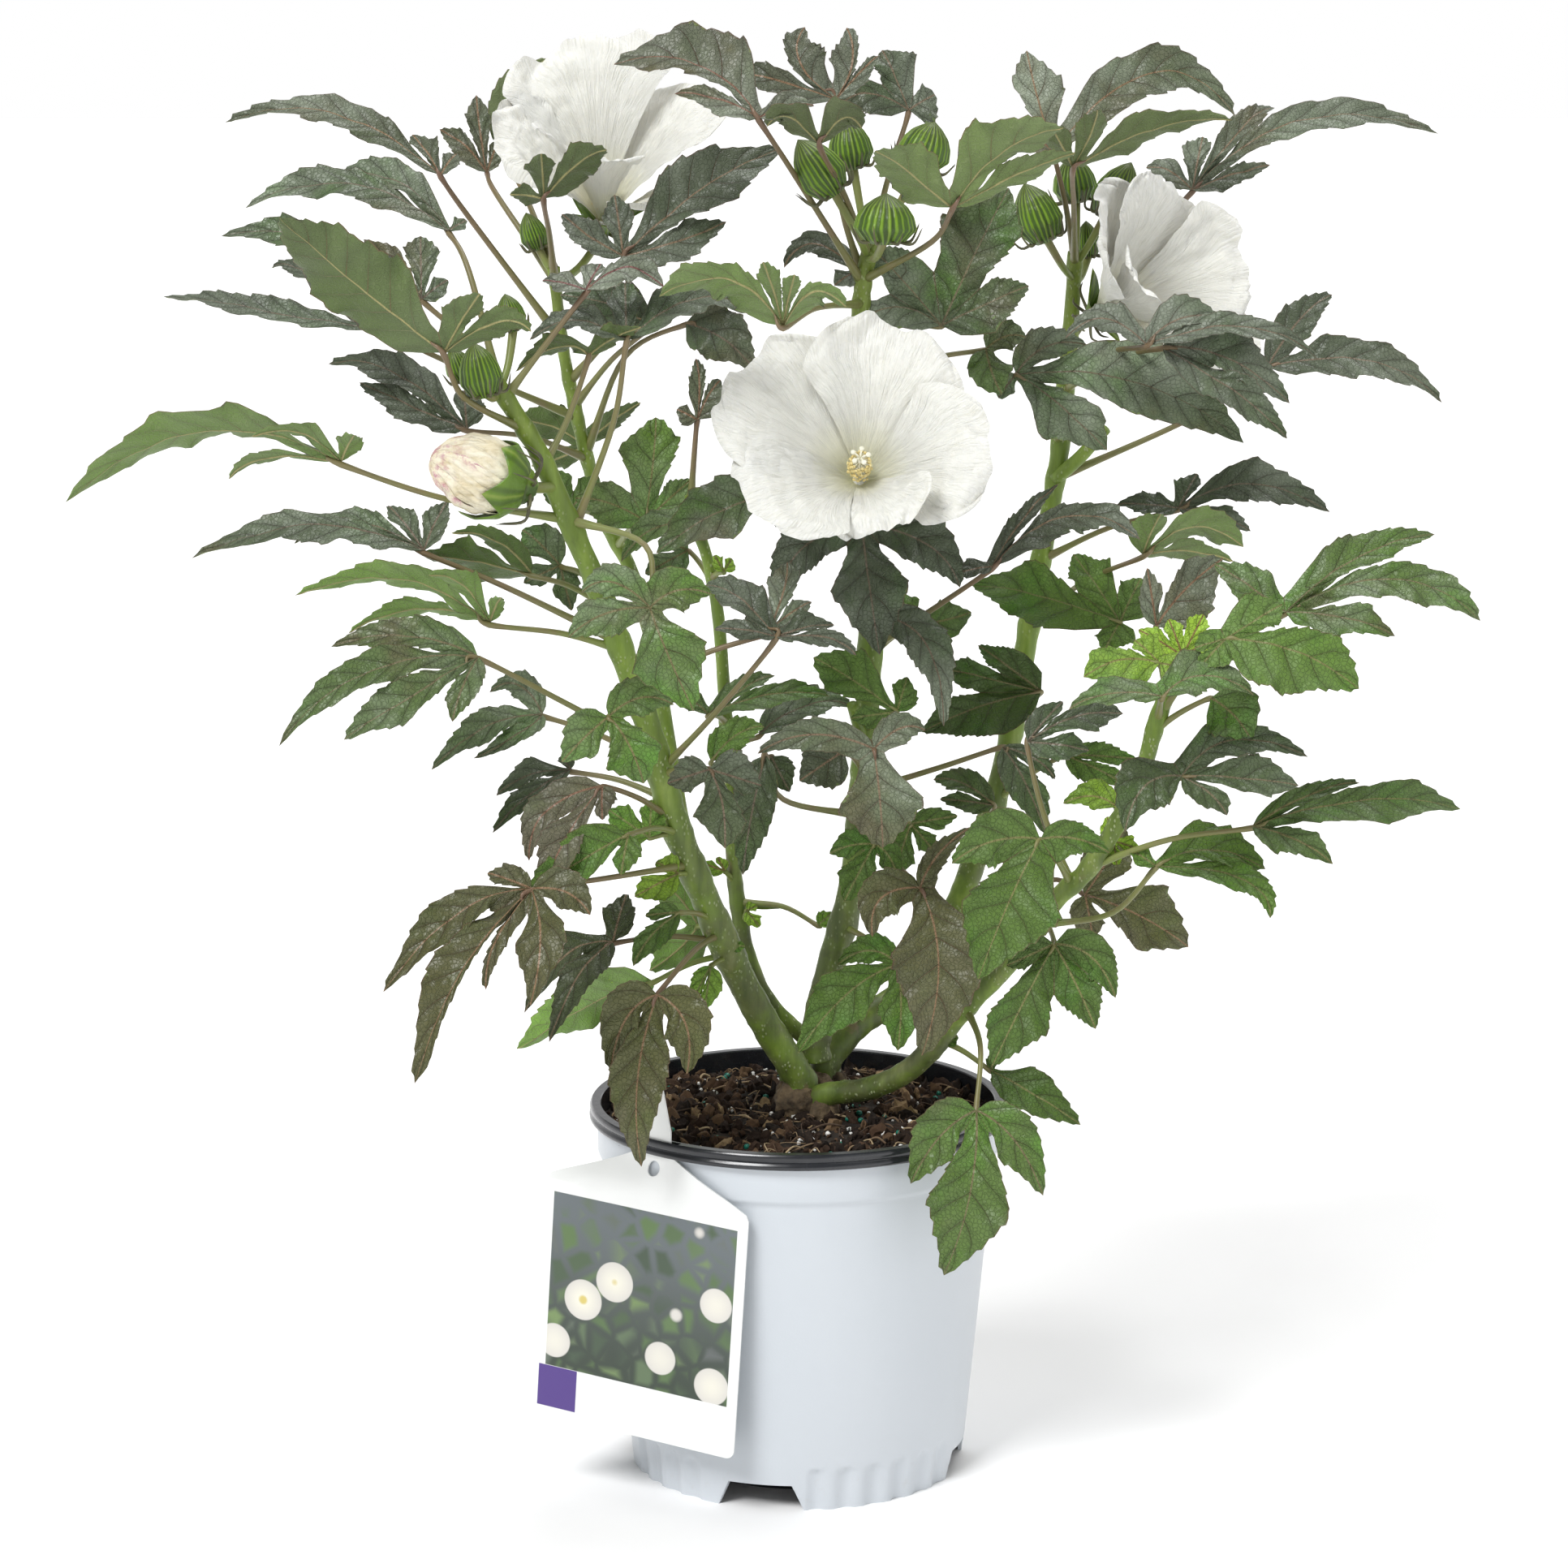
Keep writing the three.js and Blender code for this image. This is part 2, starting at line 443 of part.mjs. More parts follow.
    { from: 690, joint: [1452, 626], deep: 92, faces: [0, 40], lobes: [
      [1375, 622, 8], [1475, 584, 9], [1639, 630, 15, 1540, 604], [1541, 655, 9, 1500, 640]] },
    { from: 770, joint: [1408, 683], deep: 24, faces: [180, 35], lobes: [
      [1430, 630, 12], [1532, 670, 20, 1472, 655], [1520, 690, 8, 1465, 683]] },
    { from: 770, joint: [1380, 766], deep: 44, faces: [0, 35], web: 0.66, lobes: [
      [1360, 802, 13], [1198, 717, 25, 1290, 742], [1322, 684, 20], [1406, 712, 15]] },
    { from: 900, joint: [1283, 852], deep: 70, faces: [0, 20], web: 0.6, lobes: [
      [1136, 902, 20, 1208, 872], [1152, 822, 14], [1205, 795, 11]] },
    { from: 990, joint: [1312, 930], deep: 84, faces: [0, 20], lobes: [
      [1402, 935, 8], [1388, 966, 10]] },
    { from: 1120, joint: [1337, 1102], deep: 44, via: [1292, 1084], faces: [0, 20], lobes: [
      [1386, 1018, 14, 1366, 1058], [1465, 1166, 23, 1404, 1130], [1347, 1158, 11]] },
    { from: 1040, joint: [1225, 992], deep: 66, faces: [0, 25], lobes: [
      [1150, 960, 9, 1185, 966], [1158, 985, 7]] },
  ],
  low_right: [
    { from: 856, joint: [1425, 772], deep: -92, faces: [0, 10], lobes: [
      [1413, 700, 7], [1507, 688, 19, 1458, 728]] },
    { from: 854, joint: [1457, 808], deep: -144, faces: [0, 20], web: 0.55, lobes: [
      [1403, 775, 9], [1440, 762, 9], [1483, 757, 11], [1507, 782, 7]] },
    { from: 858, joint: [1429, 817], deep: -166, faces: [0, 30], web: 0.5, lobes: [
      [1335, 834, 18, 1382, 815], [1398, 788, 12], [1470, 826, 13]] },
    { from: 880, joint: [1510, 787], deep: -168, faces: [0, 25], web: 0.55, lobes: [
      [1478, 822, 11], [1472, 798, 10], [1580, 745, 17], [1675, 848, 26, 1596, 806]] },
    { from: 860, joint: [1584, 754], deep: -118, faces: [0, 40], lobes: [
      [1495, 695, 13, 1542, 728], [1767, 662, 13, 1672, 694], [1824, 766, 20, 1712, 722],
      [1719, 784, 14, 1650, 764]] },
    { from: 884, joint: [1432, 858], deep: -186, faces: [0, 50], lobes: [
      [1317, 871, 9, 1370, 858], [1545, 855, 14, 1482, 837]] },
    { from: 900, joint: [1492, 860], deep: -146, faces: [0, 15], lobes: [[1542, 912, 16, 1520, 882]] },
    { from: 1090, joint: [1266, 914], deep: -72, via: [1285, 1000], faces: [0, 35], lobes: [
      [1310, 862, 8], [1384, 880, 16, 1322, 888], [1342, 926, 11]] },
    { from: 985, joint: [1456, 956], deep: -160, faces: [0, 35], lobes: [
      [1386, 1025, 17, 1410, 972], [1612, 932, 11, 1520, 916], [1601, 965, 17, 1530, 962],
      [1512, 1004, 10, 1490, 980]] },
    { from: 1067, joint: [1543, 1018], deep: -140, faces: [0, 40], lobes: [
      [1677, 958, 6, 1612, 984], [1801, 993, 19, 1672, 995], [1643, 1063, 12, 1592, 1036]] },
    { from: 1140, joint: [1424, 1067], deep: -118, via: [1370, 1125], faces: [0, 45], lobes: [
      [1392, 1048, 7], [1559, 1073, 17, 1490, 1052], [1565, 1131, 9, 1532, 1090]] },
    { from: 1090, joint: [1282, 1034], deep: -136, faces: [0, 20], web: 0.55, lobes: [
      [1173, 1063, 16, 1225, 1037], [1205, 1207, 29, 1243, 1112], [1368, 1050, 9, 1325, 1034]] },
    { from: 1130, joint: [1299, 1163], deep: -146, faces: [0, 15], web: 0.62, lobes: [
      [1240, 1190, 9], [1222, 1314, 23, 1262, 1232], [1350, 1268, 15, 1325, 1212],
      [1374, 1230, 12, 1345, 1180]] },
    { from: 1240, joint: [1203, 1368], deep: -108, via: [1208, 1290], faces: [0, 12], lobes: [
      [1122, 1459, 16, 1158, 1400], [1163, 1572, 26, 1195, 1468], [1285, 1473, 14, 1250, 1405]] },
    { from: 1280, joint: [1221, 1318], deep: -54, faces: [0, 35], lobes: [
      [1332, 1384, 13, 1275, 1352], [1228, 1296, 4]] },
    { from: 1010, joint: [1376, 994], deep: -80, faces: [0, 40], lobes: [[1310, 990, 9, 1345, 983]] },
  ],
};

// A bud: the cane's pixel row that its stalk leaves, its foot, its tip, their depth and its radius.
const BUDS = {
  front_left: [
    { from: 478, foot: [598, 490], tip: [583, 422], deep: -130, radius: 11.5 },
    { from: 480, foot: [634, 408], tip: [622, 362], deep: -100, radius: 8 },
    { from: 484, foot: [572, 470], tip: [556, 428], deep: -102, radius: 7.5 },
  ],
  back_left: [
    { from: 338, foot: [664, 308], tip: [648, 262], deep: 66, radius: 8 },
  ],
  slender: [],
  centre: [
    { from: 318, foot: [1030, 240], tip: [983, 172], deep: -36, radius: 13.5 },
    { from: 316, foot: [1052, 209], tip: [1042, 146], deep: 14, radius: 12.5 },
    { from: 320, foot: [1090, 301], tip: [1092, 238], deep: -52, radius: 17 },
    { from: 318, foot: [1132, 208], tip: [1152, 150], deep: -14, radius: 14.5 },
  ],
  right: [
    { from: 345, foot: [1290, 298], tip: [1262, 226], deep: 104, radius: 14 },
    { from: 322, foot: [1327, 250], tip: [1320, 192], deep: 152, radius: 13 },
    { from: 330, foot: [1360, 270], tip: [1394, 200], deep: 124, radius: 13 },
    { from: 352, foot: [1342, 318], tip: [1338, 272], deep: 160, radius: 7.5 },
  ],
  low_right: [],
};

// A bloom: the cane that bears it, the pixel row that its stalk leaves, the pixel and depth of its
// heart, the way it faces, which edge of its petals lies on top, how wide it opens at the throat and at
// the rim, and for each petal its turn about the face, its share of the full length and how much wider
// it opens than the others, in degrees.
const BLOOMS = {
  centre: { cane: "centre", from: 606, heart: [1059, 592], deep: -48, faces: [0, 34], spiral: -1,
    opening: [50, 76],
    petals: [[18, 0.98, 0], [89, 0.87, 0], [164, 0.7, -12], [238, 0.92, -6], [305, 1.02, 0]] },
  right: { cane: "right", from: 400, heart: [1354, 384], deep: 122, faces: [48, 24], spiral: -1,
    opening: [34, 50],
    petals: [[20, 0.97, 0], [94, 1.02, 0], [166, 1.06, 6], [236, 1.06, -3], [304, 1, 9]] },
  left: { cane: "back_left", from: 350, heart: [744, 272], deep: 106, faces: [3, 64], spiral: 1,
    opening: [34, 62],
    petals: [[-12, 1.22, -6], [60, 1.08, 0], [128, 1, 12], [200, 0.95, -16], [268, 0.96, -2]] },
};
const OPENING_BUD = {
  cane: "front_left", from: 600, foot: [650, 600], tip: [528, 566], deep: -134, radius: 22 };

// Leaves

const STALK_SIDES = 3;
const STALK_RISE = 0.04;
const STALK_BELOW_BLADE = 2.1;
const STALK_HOLD = 9;
const STALK_TAPER = [1, 0.85, 0.7];
const SHARP_TURN = 1.2;

// Stations along a lobe of each least length, and how its edge steps in and out at the teeth.
const LOBE_STATIONS = [[70, 4], [22, 3], [0, 2]];
const WIDEST_AT = 0.4;
const TIP_SHARPNESS = 0.9;
const TOOTH = 0.09;
const FOLD = 0.22;
const WAVE = 0.16;
const ARCH = 0.07;
const USUAL_WEB = 0.26;
const WEB_SPAN = [0.14, 0.62];
const WIDE_ANGLE_WEB = 0.4;
const NEIGHBOUR_ROOM = 0.9;
const HEADING_AT = 0.3;
const STALK_HOLD_MOST = 0.6;
const STALK_SINK = 0.3;

// A lobe's midrib, from the joint through a middle point to the tip.
function midribOf(joint, normal, [tipX, tipY, halfWidth, midX, midY]) {
  const tip = seenOnPlane([tipX, tipY], joint, normal);
  const chordMiddle = joint.clone().add(tip).multiplyScalar(0.5);
  const middle = midX === undefined ? chordMiddle : seenOnPlane([midX, midY], joint, normal);
  const control = middle.clone().multiplyScalar(2).sub(chordMiddle);
  const curve = new THREE.QuadraticBezierCurve3(joint, control, tip);
  const length = middle.distanceTo(joint) + tip.distanceTo(middle);
  return { curve, length, halfWidth, heading: curve.getPoint(HEADING_AT).sub(joint).normalize() };
}

// The angle from one direction to another about a normal, from -180 to 180 degrees, in radians.
function angleAbout(normal, from, to) {
  return Math.atan2(normal.dot(from.clone().cross(to)), from.dot(to));
}

function lobeWidth(halfWidth, t) {
  const rise = (TIP_SHARPNESS * WIDEST_AT) / (1 - WIDEST_AT);
  return halfWidth * (t / WIDEST_AT) ** rise * ((1 - t) / (1 - WIDEST_AT)) ** TIP_SHARPNESS;
}

// How far a lobe may reach to its side, at a distance from the joint, without meeting the next.
function roomBeside(distance, halfAngle) {
  return NEIGHBOUR_ROOM * distance * Math.sin(Math.min(halfAngle, Math.PI / 2));
}

// Where two neighbouring lobes part, and the half angle between them.
function cleft(joint, normal, lobe, next, web) {
  const between = angleAbout(normal, lobe.heading, next.heading);
  const reach = Math.min(lobe.length, next.length) * web * (1 - (WIDE_ANGLE_WEB * between) / Math.PI);
  const [from, to] = [lobe, next].map((rib) => (
    rib.curve.getPoint(reach / rib.length).sub(joint).normalize()));
  const towards = from.clone().applyAxisAngle(normal, angleAbout(normal, from, to) / 2);
  return { reach, point: joint.clone().addScaledVector(towards, reach), halfAngle: between / 2 };
}

// A lobed blade as points, triangles and the lifts that fold, wave and arch it.
function bladeSheet({ joint, normal, lobes, web = USUAL_WEB }) {
  let ribs = lobes.map((lobe) => midribOf(joint, normal, lobe));
  const steps = ribs.slice(1).map((rib, i) => angleAbout(normal, ribs[i].heading, rib.heading));
  const turning = steps.reduce((sum, step) => sum + step, 0);
  if (turning < 0) ribs = ribs.reverse();
  const clefts = ribs.slice(1).map((rib, i) => cleft(joint, normal, ribs[i], rib, web));
  const points = [joint.clone()];
  const triangles = [];
  const mainRib = ribs.reduce((best, rib) => (rib.halfWidth > best.halfWidth ? rib : best));
  let grip = joint;
  const add = (place, lift) => points.push(place.clone().addScaledVector(normal, lift)) - 1;
  const cleftPoints = clefts.map(({ point }) => add(point, 0));

  ribs.forEach((rib, number) => {
    const sides = [{ sign: -1, cleft: number - 1 }, { sign: 1, cleft: number }];
    const beside = sides.map((side) => clefts[side.cleft]).filter((found) => found);
    const webReach = beside.length ? Math.max(...beside.map(({ reach }) => reach)) : rib.length * web;
    const firstStep = THREE.MathUtils.clamp(webReach / rib.length, ...WEB_SPAN);
    const [, stations] = LOBE_STATIONS.find(([least]) => rib.length >= least);
    const stepAt = (k) => firstStep + ((1 - firstStep) * (k - 1)) / (stations - 1);
    const arch = (t) => 4 * t * (1 - t) * ARCH * rib.length;
    const spine = [0];
    for (let k = 1; k <= stations; k += 1) spine.push(add(rib.curve.getPoint(stepAt(k)), arch(stepAt(k))));
    if (rib === mainRib) grip = points[spine[1]];
    for (const side of sides) {
      const edge = [0];
      for (let k = 1; k < stations; k += 1) {
        const t = stepAt(k);
        const middle = rib.curve.getPoint(t);
        const across = normal.clone().cross(rib.curve.getTangent(t)).multiplyScalar(side.sign);
        const room = clefts[side.cleft]
          ? roomBeside(middle.distanceTo(joint), clefts[side.cleft].halfAngle)
          : Infinity;
        const tooth = 1 + (k % 2 ? TOOTH : -TOOTH);
        const width = Math.min(lobeWidth(rib.halfWidth, t) * tooth, room);
        const lift = arch(t) + FOLD * width + (k % 2 ? WAVE : -WAVE) * width;
        const shared = k === 1 && clefts[side.cleft];
        edge.push(shared ? cleftPoints[side.cleft] : add(middle.addScaledVector(across, width), lift));
      }
      edge.push(spine[stations]);
      for (let k = 0; k < stations; k += 1) {
        const quad = [[spine[k], edge[k], edge[k + 1]], [spine[k], edge[k + 1], spine[k + 1]]];
        for (const [a, b, c] of quad) {
          if (a === b || b === c || c === a) continue;
          triangles.push(side.sign < 0 ? [a, b, c] : [a, c, b]);
        }
      }
    }
  });
  return { points, triangles, grip };
}

// The point of a cane's route at a pixel row.
function caneAt(cane, row) {
  const route = CANES[cane].route;
  let k = route.findIndex(([, py]) => py <= row);
  if (k === 0) k = 1;
  if (k < 0) k = route.length - 1;
  const [low, high] = [route[k - 1], route[k]];
  const share = (low[1] - row) / (low[1] - high[1]);
  const [px, py, depth] = low.map((value, i) => THREE.MathUtils.lerp(value, high[i], share));
  return seen([px, py], depth);
}

// Rings along a route, each turned as little as it can be from the one before.
function routeRings(places, radii, sides) {
  let wished = new THREE.Vector3(0, 0, 1);
  return places.map((place, i) => {
    const along = (places[i + 1] ?? place).clone().sub(places[i - 1] ?? place).normalize();
    if (i === 0 && Math.abs(along.z) > 0.9) wished = new THREE.Vector3(1, 0, 0);
    wished = sideways(along, wished);
    return ring(place, along, radii[i], sides, () => 1, wished);
  });
}

// A stalk that passes under the blade's joint and sinks into its main rib from below. Where the rib
// turns back, the end that sinks in is a spike of its own.
function leafSolids(cane, leaf) {
  const joint = seen(leaf.joint, leaf.deep);
  const normal = facing(leaf.faces);
  const { points, triangles, grip } = bladeSheet({ ...leaf, joint, normal });
  const blade = thicken(points, triangles, points.map(() => normal), BLADE_THICKNESS, (i) => i === 0);
  const root = caneAt(cane, leaf.from);
  const middle = root.clone().add(joint).multiplyScalar(0.5);
  middle.z += STALK_RISE * root.distanceTo(joint);
  const via = leaf.via ? seen(leaf.via, middle.y) : middle;
  const under = joint.clone().addScaledVector(normal, -STALK_BELOW_BLADE);
  const sunk = joint.clone().lerp(grip, Math.min(STALK_HOLD / joint.distanceTo(grip), STALK_HOLD_MOST));
  sunk.addScaledVector(normal, STALK_SINK * BLADE_THICKNESS);
  const radii = STALK_TAPER.map((share) => share * STALK_RADIUS);
  const rings = routeRings([root, via, under], radii, STALK_SIDES);
  const turn = under.clone().sub(via).angleTo(sunk.clone().sub(under));
  if (turn < SHARP_TURN) return [solidOf(loft([...rings, [sunk]])), blade];
  return [solidOf(loft(rings)), spike(under, sunk, radii[2]), blade];
}

// Buds

// A three-sided spike from a root to a point.
function spike(root, tip, radius) {
  return solidOf(loft([ring(root, tip.clone().sub(root).normalize(), radius, 3), [tip]]));
}

// A three-sided club, a point at its root and widest at its end.
function club(root, end, radius) {
  return solidOf(loft([[root], ring(end, end.clone().sub(root).normalize(), radius, 3)]));
}

const BUD_RIBS = 5;
const BUD_PROFILE = [[0, 0.5], [0.3, 1], [0.74, 0.7]];
const BRACT_COUNT = 5;
const BRACT_RADIUS = 1.2;
const BRACT_SPREAD = [0.45, 1.5];
const BRACT_RISE = 0.25;
const BUD_RIB = 0.84;
const BUD_STALK_SAG = 0.1;
const BUD_STALK_SINK = 0.15;
const BUD_STALK_WIDER = 1.3;

function budSolids(cane, { from, foot, tip, deep, radius }) {
  const [start, end] = [foot, tip].map((pixel) => seen(pixel, deep));
  const along = end.clone().sub(start).normalize();
  const length = start.distanceTo(end);
  const at = (share) => start.clone().addScaledVector(along, share * length);
  const ribbed = (i) => (i % 2 ? BUD_RIB : 1);
  const rings = BUD_PROFILE.map(([share, width]) => (
    ring(at(share), along, radius * width, 2 * BUD_RIBS, ribbed)));
  const body = solidOf(loft([...rings, [end]]));
  const root = caneAt(cane, from);
  const middle = root.clone().add(at(-2 * BUD_STALK_SAG)).multiplyScalar(0.5);
  const inside = at(BUD_STALK_SINK);
  const stalk = stem([root, middle, inside], STALK_RADIUS, BUD_STALK_WIDER * STALK_RADIUS, STALK_SIDES);
  const bractRoots = ring(inside, along, BRACT_SPREAD[0] * radius, BRACT_COUNT);
  const bractTips = ring(at(BRACT_RISE), along, BRACT_SPREAD[1] * radius, BRACT_COUNT);
  const bracts = bractTips.map((point, i) => spike(bractRoots[i], point, BRACT_RADIUS));
  return [stalk, body, ...bracts];
}

// Blooms

const PETAL_STEPS = [4, 4];
const PETAL_SWING = [33, 50];
const PETAL_WIDEST_AT = 0.76;
const PETAL_OVERLAP_LIFT = 3.5;
const PETAL_RUFFLE = 2.6;
const HUB_RADIUS = 4.6;
const HUB_DEPTH = 3;
const HUB_TOP = 2;
const HUB_SIDES = 10;
const PETAL_START = 3;
const SEPAL_LENGTH = 27;
const SEPAL_COUNT = 5;
const SEPAL_THICKNESS = 1.2;
const ANTHER_COUNT = 10;

// Directions of a flower: along its axis, and up and across its face.
function flowerFrame({ faces }) {
  const axis = facing(faces);
  const across = new THREE.Vector3(0, 0, 1).cross(axis).normalize();
  const upward = axis.clone().cross(across).normalize();
  const spoke = (degrees) => {
    const angle = THREE.MathUtils.degToRad(degrees);
    return upward.clone().multiplyScalar(Math.cos(angle)).addScaledVector(across, Math.sin(angle));
  };
  return { axis, spoke };
}

// How far out and forward a curved strip lies that opens from one angle to another.
function opened(length, [throat, rim], share) {
  const [a, b] = [throat, throat + (rim - throat) * share].map(THREE.MathUtils.degToRad);
  const bend = THREE.MathUtils.degToRad(rim - throat);
  return {
    out: (length * (Math.cos(a) - Math.cos(b))) / bend,
    forward: (length * (Math.sin(b) - Math.sin(a))) / bend,
  };
}

function petalHalfWidth(share) {
  if (share < PETAL_WIDEST_AT) return 0.1 + 0.9 * Math.sin((Math.PI / 2) * (share / PETAL_WIDEST_AT)) ** 0.85;
  return Math.sqrt(1 - ((share - PETAL_WIDEST_AT) / (1.06 - PETAL_WIDEST_AT)) ** 2);
}

function petalSolid(bloom, heart, { axis, spoke }, [turn, size, lean]) {
  const opening = bloom.opening.map((angle) => angle + lean);
  const pointAt = (share, across) => {
    const { out, forward } = opened(PETAL_LENGTH * size, opening, share);
    const reach = PETAL_START + out;
    const side = 2 * across - 1;
    const halfWidth = (PETAL_WIDTH / 2) * size * petalHalfWidth(share);
    const mostSwing = THREE.MathUtils.lerp(...PETAL_SWING, share);
    const swing = side * Math.min(THREE.MathUtils.radToDeg(halfWidth / reach), mostSwing);
    const ruffle = PETAL_RUFFLE * share * share * Math.cos(3 * Math.PI * across + turn);
    const lift = forward + bloom.spiral * PETAL_OVERLAP_LIFT * side * share + ruffle;
    return heart.clone().addScaledVector(spoke(turn + swing), reach).addScaledVector(axis, lift);
  };
  return sheet(...PETAL_STEPS, pointAt, PETAL_THICKNESS);
}

function bloomPetals(bloom) {
  const heart = seen(bloom.heart, bloom.deep);
  const frame = flowerFrame(bloom);
  const petals = bloom.petals.map((petal) => petalSolid(bloom, heart, frame, petal));
  const hubEnds = [-HUB_DEPTH, HUB_TOP].map((at) => heart.clone().addScaledVector(frame.axis, at));
  const hub = solidOf(loft(hubEnds.map((end) => ring(end, frame.axis, HUB_RADIUS, HUB_SIDES))));
  return joined([hub, ...petals]);
}

const COLUMN_RADII = [1.9, 1.3];
const COLUMN_SIDES = 5;
const STIGMA_TURNS = [0, 72, 144, 216, 288];
const STIGMA_REACH = 4;
const STIGMA_SINK = 1.5;
const STIGMA_RADIUS = 1.4;
const ANTHER_FIRST = 0.42;
const ANTHER_SPAN = 0.5;
const ANTHER_REACH = 5;
const ANTHER_RADIUS = 1.3;
const GOLDEN_TURN = 137.5;

function bloomPistil(bloom) {
  const heart = seen(bloom.heart, bloom.deep);
  const { axis, spoke } = flowerFrame(bloom);
  const at = (forward) => heart.clone().addScaledVector(axis, forward);
  const foot = HUB_TOP + GAP;
  const top = foot + PISTIL_LENGTH;
  const column = stem([at(foot), at(top)], ...COLUMN_RADII, COLUMN_SIDES);
  const stigmas = STIGMA_TURNS.map((turn) => {
    const end = at(top + STIGMA_REACH).addScaledVector(spoke(turn), STIGMA_REACH);
    return club(at(top - STIGMA_SINK), end, STIGMA_RADIUS);
  });
  const anthers = Array.from({ length: ANTHER_COUNT }, (_, i) => {
    const root = at(top * (ANTHER_FIRST + (ANTHER_SPAN * i) / ANTHER_COUNT));
    return club(root, root.clone().addScaledVector(spoke(GOLDEN_TURN * i), ANTHER_REACH), ANTHER_RADIUS);
  });
  return joined([column, ...stigmas, ...anthers]);
}

// The calyx: how far behind the petals' hub its floor, edge and foot lie, how much wider than the hub
// its edge is, how its sepals open compared with the petals, and its bracts and stalk.
const CUP_FLOOR = 1;
const CUP_EDGE = 2.6;
const CUP_FOOT = 6;
const CUP_FOOT_RADIUS = 2.4;
const CUP_CLEAR = 0.8;
const SEPAL_NARROWER = 2;
const SEPAL_WIDER = 12;
const BLOOM_BRACT_ROOT = 3;
const BLOOM_BRACT_TIP = 5;
const BLOOM_BRACT_REACH = 18;
const BLOOM_STALK_SAG = 8;
const BLOOM_STALK_RADIUS = 2.4;

// The green parts that hold a bloom: its stalk, a cup with five pointed sepals, and thin bracts.
function calyxSolids(bloom) {
  const heart = seen(bloom.heart, bloom.deep);
  const { axis, spoke } = flowerFrame(bloom);
  const under = -HUB_DEPTH - GAP;
  const at = (behind) => heart.clone().addScaledVector(axis, under - behind);
  const opening = [bloom.opening[0] - SEPAL_NARROWER, bloom.opening[1] + SEPAL_WIDER];
  const lean = THREE.MathUtils.degToRad(opening[1]);
  const turnOf = (i) => bloom.petals[0][0] + (180 / SEPAL_COUNT) * i;
  const cupRing = (shares, inwards) => Array.from({ length: 2 * SEPAL_COUNT }, (_, i) => {
    const { out, forward } = opened(SEPAL_LENGTH, opening, shares[i % 2]);
    const reach = HUB_RADIUS + CUP_CLEAR + out - inwards * Math.cos(lean);
    const behind = CUP_EDGE - forward - inwards * Math.sin(lean);
    return at(behind).addScaledVector(spoke(turnOf(i)), reach);
  });
  const footRing = Array.from({ length: 2 * SEPAL_COUNT }, (_, i) => (
    at(CUP_FOOT).addScaledVector(spoke(turnOf(i)), CUP_FOOT_RADIUS)));
  const cup = solidOf(loft([
    footRing, cupRing([0, 0], 0), cupRing([0.34, 0.3], 0), cupRing([0.5, 1], 0),
    cupRing([0.46, 0.94], SEPAL_THICKNESS), cupRing([0.34, 0.3], SEPAL_THICKNESS),
    cupRing([0.02, 0.02], SEPAL_THICKNESS), [at(CUP_FLOOR)],
  ]));
  const bracts = Array.from({ length: BRACT_COUNT }, (_, i) => {
    const out = spoke(turnOf(2 * i));
    const root = at(BLOOM_BRACT_ROOT).addScaledVector(out, BLOOM_BRACT_ROOT);
    return spike(root, at(BLOOM_BRACT_TIP).addScaledVector(out, BLOOM_BRACT_REACH), BRACT_RADIUS);
  });
  const root = caneAt(bloom.cane, bloom.from);
  const middle = root.clone().add(at(0)).multiplyScalar(0.5).addScaledVector(axis, -BLOOM_STALK_SAG);
  const stalk = stem([root, middle, at(BLOOM_BRACT_TIP)], BLOOM_STALK_RADIUS, BLOOM_STALK_RADIUS, 4);
  return [stalk, cup, ...bracts];
}

// The bud about to open: petals rolled in a ball, held by a green cup of sepals.
const ROLLED_PROFILE = [[0.04, 0.42], [0.2, 0.84], [0.42, 1], [0.64, 0.93], [0.86, 0.58]];
const ROLLED_SIDES = 10;
const ROLLED_TIP = 0.97;

// The cup round the rolled petals, outside and inside: its height at two shares of the bud's length
// in turn, and its width.
const OPEN_CUP_OUTSIDE = [
  [-0.1, -0.1, 0.14], [-0.04, -0.04, 0.42], [0.12, 0.12, 0.84], [0.24, 0.24, 0.96], [0.3, 0.48, 1.02]];
const OPEN_CUP_INSIDE = [[0.29, 0.45, 1.03], [0.16, 0.16, 0.9], [0.01, 0.01, 0.48]];
const OPEN_CUP_STALK_END = -0.04;
const OPEN_CUP_STALK_RADIUS = 3;

function openingBudAxis() {
  const [start, end] = [OPENING_BUD.foot, OPENING_BUD.tip].map((pixel) => seen(pixel, OPENING_BUD.deep));
  return { start, along: end.clone().sub(start).normalize(), length: start.distanceTo(end) };
}

// A ring of the opening bud, at two shares of its length in turn, so that its edge can be pointed.
function budRing(shares, width, more) {
  const { start, along, length } = openingBudAxis();
  return ring(start, along, OPENING_BUD.radius * width + more, ROLLED_SIDES)
    .map((point, i) => point.addScaledVector(along, shares[i % 2] * length));
}

function rolledPetals() {
  const { start, along, length } = openingBudAxis();
  const tip = start.clone().addScaledVector(along, ROLLED_TIP * length);
  return solidOf(loft([...ROLLED_PROFILE.map(([share, width]) => budRing([share, share], width, 0)), [tip]]));
}

